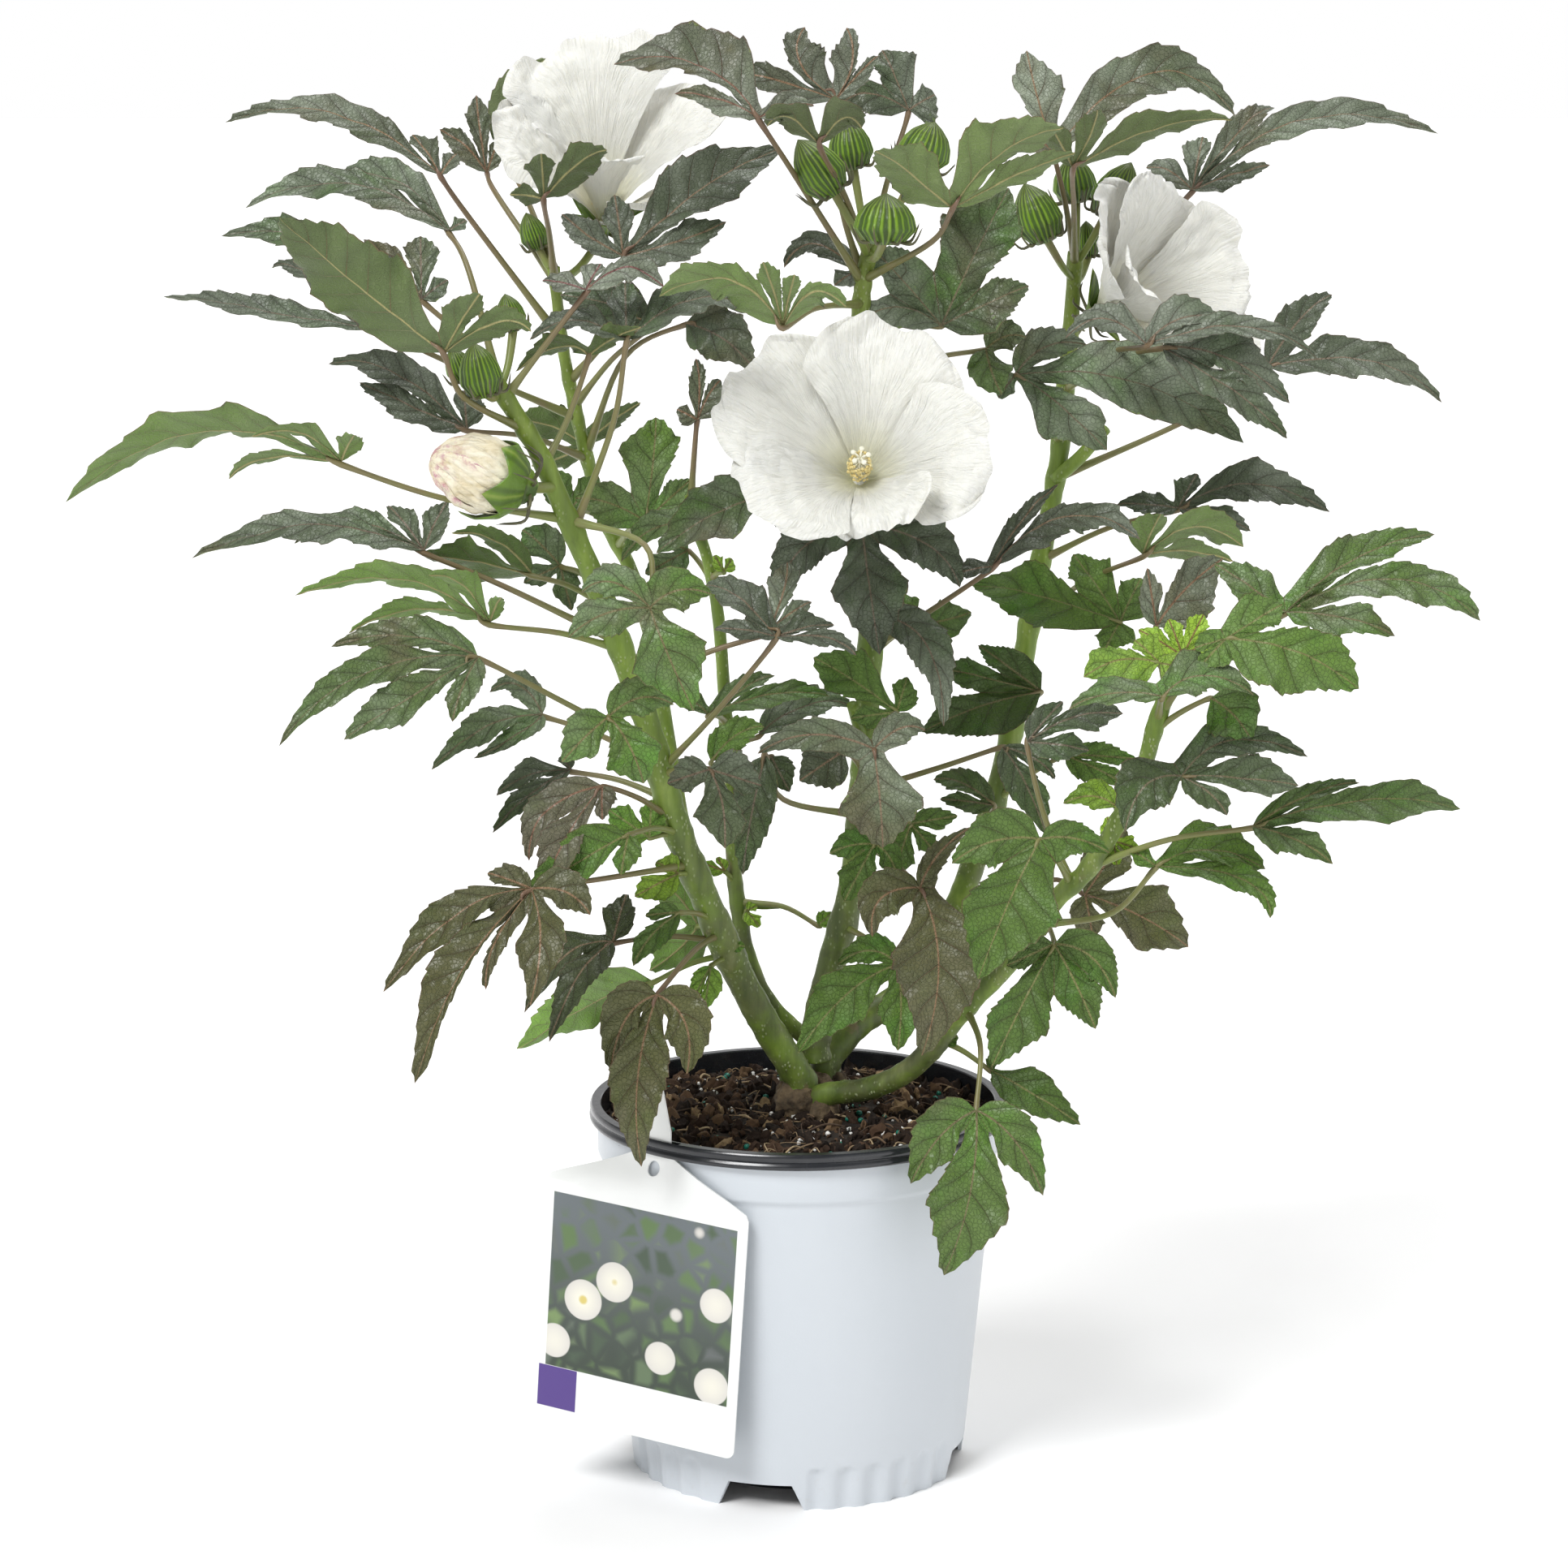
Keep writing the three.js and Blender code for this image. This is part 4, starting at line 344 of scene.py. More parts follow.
LEAVES = {
    "front_left": (
        leaf(1172, (902, 1165), -38, (0, 20), (918, 1166, 4), (904, 1152, 4), tone=0.85),
        leaf(1180, (876, 1190), -52, (0, 20), (852, 1235, 6), (868, 1246, 8), tone=0.85),
        leaf(480, (553, 284), -72, (0, 50), (302, 256, 14, 430, 240), (395, 222, 12, 480, 228),
             (575, 272, 6), tone=0.42, via=(578, 335)),
        leaf(480, (520, 368), -108, (0, 35), (273, 294, 13, 400, 305), (448, 295, 9), (518, 290, 14),
             (552, 345, 8), tone=0.4, via=(575, 420)),
        leaf(530, (547, 434), -158, (180, 25), (344, 268, 23, 425, 348), (592, 358, 12),
             (655, 405, 10, 610, 400), via=(572, 490), web=0.35),
        leaf(640, (420, 568), -134, (180, 50), (282, 588, 6, 330, 572), (80, 626, 17, 240, 555),
             (310, 532, 7, 370, 540), (437, 532, 8), via=(550, 615)),
        leaf(790, (522, 678), -96, (0, 55), (235, 681, 15, 390, 662), (362, 668, 10, 440, 652),
             (478, 622, 9), (551, 618, 8), tone=0.42, via=(620, 722)),
        leaf(800, (603, 766), -90, (180, 45), (429, 778, 9, 520, 758), (364, 726, 12, 495, 728),
             (528, 707, 10, 570, 728), (618, 733, 5), via=(690, 780)),
        leaf(925, (589, 809), -126, (0, 40), (408, 798, 11, 500, 790), (342, 912, 11, 452, 838),
             (423, 908, 17, 510, 862), (557, 887, 10, 570, 850), tone=0.5, via=(700, 868)),
        leaf(945, (668, 880), -62, (0, 45), (603, 852, 8, 640, 848), (531, 946, 10, 598, 902),
             (583, 932, 7, 640, 908), tone=0.52),
        leaf(985, (703, 948), -44, (0, 50), (690, 932, 5), (611, 977, 9, 655, 958),
             (607, 1028, 8, 652, 985), tone=0.5),
        leaf(1010, (742, 968), -108, (-10, 30), (650, 1058, 11, 675, 1003), (668, 1092, 17, 702, 1032),
             (742, 1010, 8), tone=0.2, web=0.4),
        leaf(1025, (774, 1028), -118, (0, 25), (640, 1107, 15, 715, 1063), (765, 1078, 9), tone=0.7),
        leaf(1028, (800, 1032), -70, (0, 15), (750, 998, 13), (803, 985, 9), tone=0.7, web=0.5),
        leaf(1065, (655, 1095), -158, (-10, 35), (727, 1127, 12, 700, 1102), (652, 1237, 14, 668, 1165),
             (597, 1217, 7, 614, 1160), (508, 1331, 18, 575, 1202), (471, 1221, 14, 568, 1130),
             (600, 1075, 8), tone=0.26, via=(760, 1080)),
        leaf(1160, (755, 1160), -74, (0, 45), (676, 1279, 11, 716, 1205), (646, 1249, 10, 698, 1182),
             (772, 1100, 9), tone=0.28),
        leaf(1175, (803, 1208), -36, (180, 35), (636, 1297, 20, 722, 1250)),
        leaf(1150, (810, 1226), -104, (0, 15), (752, 1320, 15, 772, 1255), (790, 1438, 16, 786, 1330),
             (846, 1324, 15, 845, 1262), tone=0.28, via=(855, 1172)),
        leaf(1135, (838, 1124), -76, (0, 20), (795, 1128, 6), (780, 1190, 9, 803, 1153), tone=0.62),
        leaf(1080, (836, 1076), -64, (0, 20), (782, 1105, 10), (808, 1062, 8), tone=0.95, web=0.5),
        leaf(640, (801, 749), -160, (0, 15), (716, 730, 10, 755, 718), (700, 786, 13, 745, 757),
             (855, 877, 24, 820, 800), (876, 732, 13, 835, 728), tone=0.53, via=(795, 672)),
        leaf(870, (750, 883), -140, (0, 15), (692, 939, 13, 722, 908), (793, 965, 23, 775, 918),
             (830, 868, 11, 790, 860), tone=0.54),
        leaf(955, (874, 948), -108, (0, 15), (822, 965, 10), (893, 1045, 20, 890, 990), (938, 968, 14),
             tone=0.3, web=0.4),
        leaf(950, (956, 784), -112, (0, 50), (1055, 805, 8, 1015, 790), (1028, 768, 11),
             (868, 722, 12, 905, 738), (880, 775, 8), tone=0.36, via=(880, 880)),
        leaf(850, (946, 778), -80, (0, 45), (1000, 740, 9), (970, 692, 13, 965, 735), (925, 735, 9),
             tone=0.3),
        leaf(655, (772, 418), -110, (0, 55), (652, 415, 9, 710, 402), (770, 345, 10),
             (940, 393, 14, 860, 378), tone=0.45, via=(756, 520)),
        leaf(573, (725, 437), -96, (180, 55), (790, 402, 8), (635, 458, 9, 690, 432), via=(700, 515)),
        leaf(490, (722, 357), -112, (0, 50), (668, 346, 8), (740, 325, 9), (818, 354, 13, 772, 335),
             tone=0.08, via=(672, 425)),
        leaf(745, (655, 706), -68, (180, 40), (518, 679, 16, 585, 698), (556, 652, 7, 610, 670)),
        leaf(720, (690, 697), -56, (0, 20), (643, 652, 12, 665, 670), (645, 718, 8), (704, 752, 8),
             tone=0.5),
    ),
    "back_left": (
        leaf(420, (543, 215), 44, (0, 50), (276, 143, 11, 415, 156), (508, 165, 11), (563, 188, 7),
             tone=0.25, via=(578, 268)),
        leaf(345, (600, 212), 138, (0, 30), (541, 157, 9, 573, 182), (587, 118, 11, 592, 165),
             (615, 172, 6), tone=0.2, via=(612, 240)),
        leaf(515, (473, 406), 4, (0, 55), (199, 352, 9, 320, 396), (335, 330, 8, 385, 348), tone=0.38,
             via=(565, 452)),
        leaf(565, (575, 528), 16, (0, 45), (443, 472, 13, 505, 505), (403, 437, 12, 490, 470),
             (572, 482, 11), tone=0.42),
        leaf(345, (670, 244), 6, (180, 35), (628, 240, 8), (667, 188, 12), (748, 185, 13, 712, 205)),
        leaf(470, (768, 315), 4, (0, 30), (692, 262, 9, 722, 290), (757, 238, 10),
             (962, 176, 22, 862, 243), (895, 272, 13, 835, 302), tone=0.36, via=(772, 385)),
        leaf(500, (800, 400), 36, (0, 40), (690, 362, 15, 745, 378), tone=0.4),
        leaf(560, (845, 398), 34, (0, 30), (930, 455, 17, 890, 420), tone=0.42, via=(770, 440)),
        leaf(600, (720, 548), 124, (180, 20), (655, 572, 8, 690, 565), (632, 515, 14, 680, 528),
             (790, 495, 6, 755, 520)),
        leaf(640, (702, 628), 58, (0, 20), (683, 578, 11), (738, 588, 10), tone=0.54, web=0.5),
        leaf(672, (795, 642), 28, (0, 12), (708, 614, 13, 750, 620), (808, 514, 23, 805, 570),
             (852, 590, 11), tone=0.6, web=0.5),
        leaf(1150, (860, 1140), 84, (180, 10), (800, 1195, 14, 835, 1172), (812, 1092, 14, 835, 1105)),
        leaf(330, (617, 182), 152, (180, 20), (676, 72, 10, 630, 118)),
    ),
    "slender": (
        leaf(1090, (893, 1073), 40, (0, 20), (866, 1064, 5), (884, 1056, 4), tone=0.95),
        leaf(1140, (920, 1122), 40, (0, 20), (936, 1142, 5), (933, 1116, 4), tone=0.95),
        leaf(712, (892, 704), 20, (0, 20), (880, 684, 4), (902, 688, 5), tone=0.95),
        leaf(1112, (1008, 1140), 30, (0, 20), (1026, 1124, 5), tone=0.8, via=(965, 1117)),
        leaf(618, (859, 517), 22, (0, 20), (834, 504, 7), (857, 440, 6, 862, 475),
             (888, 468, 11, 873, 488), tone=0.22),
        leaf(660, (888, 652), -14, (0, 40), (765, 690, 10, 815, 652)),
        leaf(715, (848, 678), 62, (0, 20), (795, 708, 11), (812, 664, 8), tone=0.6, web=0.5),
        leaf(890, (872, 880), 8, (0, 50), (820, 862, 7, 850, 865), (955, 828, 8),
             (1022, 857, 11, 950, 862), tone=0.55),
        leaf(930, (935, 905), 26, (0, 45), (1050, 868, 11, 995, 872), tone=0.5),
        leaf(965, (876, 938), -26, (0, 45), (942, 897, 10, 908, 908)),
        leaf(985, (950, 932), 34, (0, 15), (973, 976, 9), tone=0.5),
    ),
    "centre": (
        leaf(350, (935, 145), -78, (0, 40), (1003, 128, 8, 970, 132), (756, 74, 24, 862, 88),
             (831, 114, 11, 890, 128), tone=0.12, via=(985, 225)),
        leaf(345, (1030, 122), 16, (0, 30), (902, 88, 10, 955, 102), (992, 31, 15, 985, 80),
             (1043, 35, 13, 1050, 80), (1082, 68, 7), tone=0.15, via=(1035, 245)),
        leaf(320, (1120, 135), 66, (0, 20), (1034, 130, 13, 1070, 116), (1087, 60, 20), (1152, 116, 15),
             tone=0.42, web=0.6),
        leaf(318, (1010, 177), -66, (180, 50), (945, 158, 11, 970, 148), (1062, 160, 12, 1040, 148)),
        leaf(345, (1173, 255), -92, (180, 40), (1078, 181, 17, 1120, 218), (1310, 152, 20, 1235, 195),
             (1325, 186, 9, 1262, 218), via=(1148, 298)),
        leaf(400, (1160, 401), 2, (0, 20), (1045, 412, 14, 1100, 380), (1075, 305, 18, 1110, 345),
             (1243, 232, 32, 1200, 318), (1268, 352, 16), tone=0.46, web=0.62),
        leaf(470, (1215, 430), 20, (0, 25), (1264, 415, 10, 1240, 415), (1235, 485, 13, 1222, 460),
             tone=0.5),
        leaf(640, (1062, 645), -22, (0, 25), (960, 748, 13, 985, 682), (1084, 805, 25, 1070, 718),
             (1183, 723, 15, 1142, 674), tone=0.36),
        leaf(650, (945, 612), -40, (0, 35), (808, 678, 18, 880, 638), (1000, 656, 11), tone=0.5),
        leaf(760, (1082, 758), -30, (15, 25), (1161, 897, 13, 1140, 802), tone=0.36),
        leaf(800, (1222, 698), -20, (0, 50), (1170, 710, 7), (1305, 590, 6, 1258, 650),
             (1405, 668, 16, 1315, 645), tone=0.35, via=(1150, 750)),
        leaf(810, (1130, 768), 64, (0, 20), (1106, 733, 9), (1197, 753, 12, 1165, 765), tone=0.66),
        leaf(900, (1105, 877), -34, (0, 15), (1048, 885, 9), (1002, 810, 18, 1050, 838), (1118, 834, 9),
             tone=0.76),
        leaf(925, (1077, 923), -96, (0, 10), (933, 929, 9, 1000, 905), (1088, 1045, 25, 1084, 985),
             (1140, 900, 9, 1110, 897), tone=0.3),
        leaf(950, (1040, 925), -12, (0, 15), (985, 962, 15), tone=0.3, web=0.5),
        leaf(1005, (943, 930), -60, (0, 15), (915, 1078, 12, 926, 1005), tone=0.45, via=(965, 985)),
        leaf(975, (1235, 920), -4, (0, 20), (1290, 1030, 12, 1264, 968), (1300, 960, 5, 1278, 938),
             tone=0.42, via=(1160, 945)),
        leaf(1020, (1122, 1015), -8, (0, 15), (1100, 1080, 12), (1152, 1050, 9), (1180, 1005, 7),
             tone=0.76),
        leaf(1032, (1077, 1040), -44, (0, 15), (1022, 1052, 9, 1048, 1042),
             (1040, 1111, 15, 1060, 1072), (1107, 1085, 8, 1095, 1055), tone=0.64),
        leaf(1040, (1134, 1094), -70, (0, 20), (1075, 1155, 13, 1085, 1108),
             (1136, 1300, 26, 1156, 1190), (1196, 1018, 6, 1155, 1055), tone=0.2),
        leaf(1140, (1106, 1188), -36, (0, 25), (1031, 1189, 9, 1070, 1172), (983, 1297, 18, 1042, 1228),
             (1106, 1295, 15, 1110, 1240), tone=0.66),
        leaf(372, (1058, 332), 10, (0, 40), (1028, 352, 9), (966, 330, 8, 1000, 306), tone=0.35),
        leaf(374, (965, 401), -122, (180, 40), (812, 370, 19, 895, 352), (940, 322, 9), (979, 338, 11),
             (1043, 376, 13, 1002, 364), via=(1005, 380)),
    ),
    "right": (
        leaf(318, (1298, 186), 84, (0, 30), (1243, 150, 10), (1265, 62, 17, 1278, 125),
             (1523, 138, 15, 1420, 98), tone=0.15),
        leaf(325, (1322, 206), 28, (180, 45), (1290, 150, 8), (1352, 135, 9, 1345, 165),
             (1519, 141, 12, 1420, 170)),
        leaf(420, (1469, 234), 150, (0, 45), (1412, 208, 10, 1440, 214), (1482, 168, 12),
             (1571, 122, 10, 1525, 170), (1772, 168, 14, 1610, 162), (1565, 204, 10, 1515, 222),
             tone=0.36),
        leaf(470, (1412, 424), 2, (0, 45), (1313, 410, 10, 1362, 398), (1512, 392, 14, 1455, 397),
             (1625, 437, 8, 1530, 412), tone=0.4),
        leaf(480, (1432, 427), 18, (0, 35), (1590, 493, 18, 1510, 447), (1587, 537, 13, 1518, 488),
             tone=0.42, web=0.4),
        leaf(590, (1562, 452), 108, (0, 40), (1642, 361, 11, 1600, 400), (1779, 487, 14, 1680, 453),
             tone=0.42, via=(1470, 514)),
        leaf(545, (1252, 461), 52, (0, 25), (1230, 490, 8), (1364, 556, 25, 1305, 502),
             (1534, 542, 24, 1400, 478), (1340, 425, 11, 1290, 428), tone=0.42),
        leaf(690, (1452, 626), 92, (0, 40), (1375, 622, 8), (1475, 584, 9), (1639, 630, 15, 1540, 604),
             (1541, 655, 9, 1500, 640), tone=0.38),
        leaf(770, (1408, 683), 24, (180, 35), (1430, 630, 12), (1532, 670, 20, 1472, 655),
             (1520, 690, 8, 1465, 683)),
        leaf(770, (1380, 766), 44, (0, 35), (1360, 802, 13), (1198, 717, 25, 1290, 742),
             (1322, 684, 20), (1406, 712, 15), tone=0.74, web=0.66),
        leaf(900, (1283, 852), 70, (0, 20), (1136, 902, 20, 1208, 872), (1152, 822, 14),
             (1205, 795, 11), tone=0.5, web=0.6),
        leaf(990, (1312, 930), 84, (0, 20), (1402, 935, 8), (1388, 966, 10), tone=0.7),
        leaf(1120, (1337, 1102), 44, (0, 20), (1386, 1018, 14, 1366, 1058),
             (1465, 1166, 23, 1404, 1130), (1347, 1158, 11), tone=0.2, via=(1292, 1084)),
        leaf(1040, (1225, 992), 66, (0, 25), (1150, 960, 9, 1185, 966), (1158, 985, 7), tone=0.5),
    ),
    "low_right": (
        leaf(1062, (1372, 1036), -100, (0, 20), (1376, 1066, 6), (1402, 1046, 6), (1364, 1006, 6),
             tone=0.98),
        leaf(1292, (1164, 1284), -52, (0, 20), (1180, 1276, 5), tone=0.8),
        leaf(856, (1425, 772), -92, (0, 10), (1413, 700, 7), (1507, 688, 19, 1458, 728), tone=0.2),
        leaf(854, (1457, 808), -144, (0, 20), (1403, 775, 9), (1440, 762, 9), (1483, 757, 11),
             (1507, 782, 7), tone=1, web=0.55),
        leaf(858, (1429, 817), -166, (0, 30), (1335, 834, 18, 1382, 815), (1398, 788, 12),
             (1470, 826, 13), tone=0.9, web=0.5),
        leaf(880, (1510, 787), -168, (0, 25), (1478, 822, 11), (1472, 798, 10), (1580, 745, 17),
             (1675, 848, 26, 1596, 806), tone=0.62, web=0.55),
        leaf(860, (1584, 754), -118, (0, 40), (1495, 695, 13, 1542, 728), (1767, 662, 13, 1672, 694),
             (1824, 766, 20, 1712, 722), (1719, 784, 14, 1650, 764), tone=0.5),
        leaf(884, (1432, 858), -186, (0, 50), (1317, 871, 9, 1370, 858), (1545, 855, 14, 1482, 837),
             tone=0.62),
        leaf(900, (1492, 860), -146, (0, 15), (1542, 912, 16, 1520, 882), tone=0.64),
        leaf(1090, (1266, 914), -72, (0, 35), (1310, 862, 8), (1384, 880, 16, 1322, 888),
             (1342, 926, 11), tone=0.5, via=(1285, 1000)),
        leaf(985, (1456, 956), -160, (0, 35), (1386, 1025, 17, 1410, 972), (1612, 932, 11, 1520, 916),
             (1601, 965, 17, 1530, 962), (1512, 1004, 10, 1490, 980), tone=0.42),
        leaf(1067, (1543, 1018), -140, (0, 40), (1677, 958, 6, 1612, 984), (1801, 993, 19, 1672, 995),
             (1643, 1063, 12, 1592, 1036), tone=0.6),
        leaf(1140, (1424, 1067), -118, (0, 45), (1392, 1048, 7), (1559, 1073, 17, 1490, 1052),
             (1565, 1131, 9, 1532, 1090), tone=0.6, via=(1370, 1125)),
        leaf(1090, (1282, 1034), -136, (0, 20), (1173, 1063, 16, 1225, 1037),
             (1205, 1207, 29, 1243, 1112), (1368, 1050, 9, 1325, 1034), tone=0.68, web=0.55),
        leaf(1130, (1299, 1163), -146, (0, 15), (1240, 1190, 9), (1222, 1314, 23, 1262, 1232),
             (1350, 1268, 15, 1325, 1212), (1374, 1230, 12, 1345, 1180), tone=0.62, web=0.62),
        leaf(1240, (1203, 1368), -108, (0, 12), (1122, 1459, 16, 1158, 1400),
             (1163, 1572, 26, 1195, 1468), (1285, 1473, 14, 1250, 1405), tone=0.56, via=(1208, 1290)),
        leaf(1280, (1221, 1318), -54, (0, 35), (1332, 1384, 13, 1275, 1352), (1228, 1296, 4), tone=0.6),
        leaf(1010, (1376, 994), -80, (0, 40), (1310, 990, 9, 1345, 983), tone=0.98),
    ),
}


# A bud: the pixel row where its stalk leaves the cane, its foot, its tip, their depth, its radius.
def bud_at(row, foot, tip, deep, radius):
    return {"row": row, "foot": foot, "tip": tip, "deep": deep, "radius": radius}


BUDS = {
    "front_left": (
        bud_at(478, (598, 490), (583, 422), -130, 11.5),
        bud_at(480, (634, 408), (622, 362), -100, 8),
        bud_at(484, (572, 470), (556, 428), -102, 7.5),
    ),
    "back_left": (
        bud_at(338, (664, 308), (648, 262), 66, 8),
    ),
    "slender": (),
    "centre": (
        bud_at(318, (1030, 240), (983, 172), -36, 13.5),
        bud_at(316, (1052, 209), (1042, 146), 14, 12.5),
        bud_at(320, (1090, 301), (1092, 238), -52, 17),
        bud_at(318, (1132, 208), (1152, 150), -14, 14.5),
    ),
    "right": (
        bud_at(345, (1290, 298), (1262, 226), 104, 14),
        bud_at(322, (1327, 250), (1320, 192), 152, 13),
        bud_at(330, (1360, 270), (1394, 200), 124, 13),
        bud_at(352, (1342, 318), (1338, 272), 160, 7.5),
    ),
    "low_right": (),
}

# A bloom: the cane that bears it, the pixel row where its stalk leaves, the pixel and depth of its
# heart, the way it faces, which edge of its petals lies on top, how wide it opens at the throat and
# at the rim, and for each petal its turn about the face, its share of the full length and how much
# wider it opens than the others, in degrees.
BLOOMS = {
    "centre": {
        "cane": "centre", "row": 606, "heart": (1059, 592), "deep": -48,
        "faces": (0, 34), "spiral": -1, "opening": (50, 76),
        "petals": ((18, 0.98, 0), (89, 0.87, 0), (164, 0.7, -12), (238, 0.92, -6), (305, 1.02, 0))},
    "right": {
        "cane": "right", "row": 400, "heart": (1354, 384), "deep": 122,
        "faces": (48, 24), "spiral": -1, "opening": (34, 50),
        "petals": ((15, 0.98, 0), (94, 1.02, 0), (166, 1.06, 6), (240, 1.06, -10), (310, 1.04, 4))},
    "left": {
        "cane": "back_left", "row": 350, "heart": (744, 272), "deep": 106,
        "faces": (3, 64), "spiral": 1, "opening": (34, 62),
        "petals": ((-12, 1.22, -6), (60, 1.08, 0), (128, 1, 12), (200, 0.95, -16), (268, 0.96, -2))},
}
OPENING_BUD = {"cane": "front_left", **bud_at(600, (650, 600), (528, 566), -134, 22)}


# Leaves

# A lobe's outline: where it is widest and how it narrows to its tip, as shares of its length.
WIDEST_AT = 0.4
TIP_SHARPNESS = 0.9
TIP_DRAWN_OUT = 0.22

# How far neighbouring lobes hang together unless a leaf says it, and the stations up to there.
USUAL_WEB = 0.26
WEB_STATIONS = 5

# How a lobe's halves fold up and its edge waves, as shares of its width, and how it arches and its
# tip curls, as shares of its length.
FOLD = 0.22
WAVE = 0.17
FINE_WAVE = 0.45
ARCH = 0.07
TIP_CURL = 0.5
CURL_FROM = 0.55

# Crumples of the whole blade, in millimetres: their height, their size and how far from the joint
# they reach their height, and the finer ones as a share.
CRUMPLE = 2.1
CRUMPLE_SCALE = 24
CRUMPLE_STARTS = 25
FINE_CRUMPLE = 0.45

# Teeth along the edge.
TOOTH_DEPTH = 0.13
TOOTH_SHAPE = (0, 0.5, 1)
TOOTH_STATIONS = len(TOOTH_SHAPE)

# Side veins, and how high the blade bulges between them.
SIDE_VEINS = 6
VEIN_SPACING = 15
FEWEST_VEINS = 3
MOST_VEINS = 9
SIDE_VEIN_LEAN = 0.2
QUILT = 0.3
QUILT_SHARE = 0.03

# How far the under side lies below the upper one, how much further below the midrib, and how deep the
# midrib is sunk, in millimetres.
BLADE_BELOW = 0.5
RIB_BELOW = 0.9
RIB_SUNK = 0.3

# The leaf stalk: its width from cane to blade and at its end, its knee under the blade and its foot on
# the cane as shares of its radius, its rise as a share of its length, and its way under the blade.
STALK_TAPER = (1, 0.85, 0.7)
STALK_END = 0.3
STALK_KNEE = 0.35
STALK_FOOT = 0.5
STALK_RISE = 0.04
STALK_BELOW_BLADE = 2.1
STALK_HOLD = 9

# Free stations along a lobe and columns from its midrib to its edge, for each least length.
LOBE_GRIDS = ((70, 31, 8), (35, 22, 6), (18, 14, 5), (0, 9, 4))


# The place on a cane that is seen in a pixel row.
def cane_at(cane, row):
    route = CANES[cane]["route"]
    high = next((k for k, (_, py, _) in enumerate(route) if py <= row), len(route) - 1)
    high = max(high, 1)
    below, above = route[high - 1], route[high]
    share = (below[1] - row) / (below[1] - above[1])
    px, py, depth = (lerp(a, b, share) for a, b in zip(below, above))
    return seen((px, py), depth)


# A lobe's midrib as a quadratic curve from the joint to the tip.
def midrib(joint, normal, lobe):
    tip = seen_on_plane(lobe[:2], joint, normal)
    chord_middle = (joint + tip) / 2
    middle = seen_on_plane(lobe[3:5], joint, normal) if len(lobe) > 3 else chord_middle
    control = 2 * middle - chord_middle

    def at(t):
        return joint * (1 - t) ** 2 + control * 2 * t * (1 - t) + tip * t * t

    def tangent(t):
        return unit(2 * (1 - t) * (control - joint) + 2 * t * (tip - control))
    length = np.linalg.norm(middle - joint) + np.linalg.norm(tip - middle)
    return {"at": at, "tangent": tangent, "length": length, "half": lobe[2],
            "heading": unit(at(0.3) - joint)}


# Half a lobe's width at a share of its length; its tip is drawn out to a thin point.
def lobe_width(half, t):
    rise = TIP_SHARPNESS * WIDEST_AT / (1 - WIDEST_AT)
    width = half * (t / WIDEST_AT) ** rise * (max(1 - t, 0) / (1 - WIDEST_AT)) ** TIP_SHARPNESS
    return width * (1.04 - TIP_DRAWN_OUT * float(smoothstep(t, 0.5, 0.9)))


# Where two neighbouring lobes part.
def cleft_of(joint, normal, lobe, following, web):
    between = angle_about(normal, lobe["heading"], following["heading"])
    reach = min(lobe["length"], following["length"]) * web * (1 - 0.4 * between / math.pi)
    start, end = (unit(rib["at"](reach / rib["length"]) - joint) for rib in (lobe, following))
    towards = turned_about(start, normal, angle_about(normal, start, end) / 2)
    return {"reach": reach, "point": joint + towards * reach, "half": between / 2}


# The points of a blade under way: those of its upper side, and how far under each its lower side is.
class BladePoints:
    def __init__(self, joint, normal, seed):
        self.joint = joint
        self.normal = normal
        self.seed = seed
        self.points = [joint]
        self.below = [BLADE_BELOW]

    # The number of a new point: a place in the blade's plane, lifted, and crumpled away from the joint.
    def add(self, place, lift, under):
        away = float(smoothstep(np.linalg.norm(place - self.joint) / CRUMPLE_STARTS))
        spot = Vector(place) / CRUMPLE_SCALE + Vector((40 * self.seed, 0, 0))
        crumple = noise.noise(spot) + FINE_CRUMPLE * noise.noise(spot * 2.4)
        self.points.append(place + self.normal * (lift + CRUMPLE * away * crumple))
        self.below.append(under)
        return len(self.points) - 1


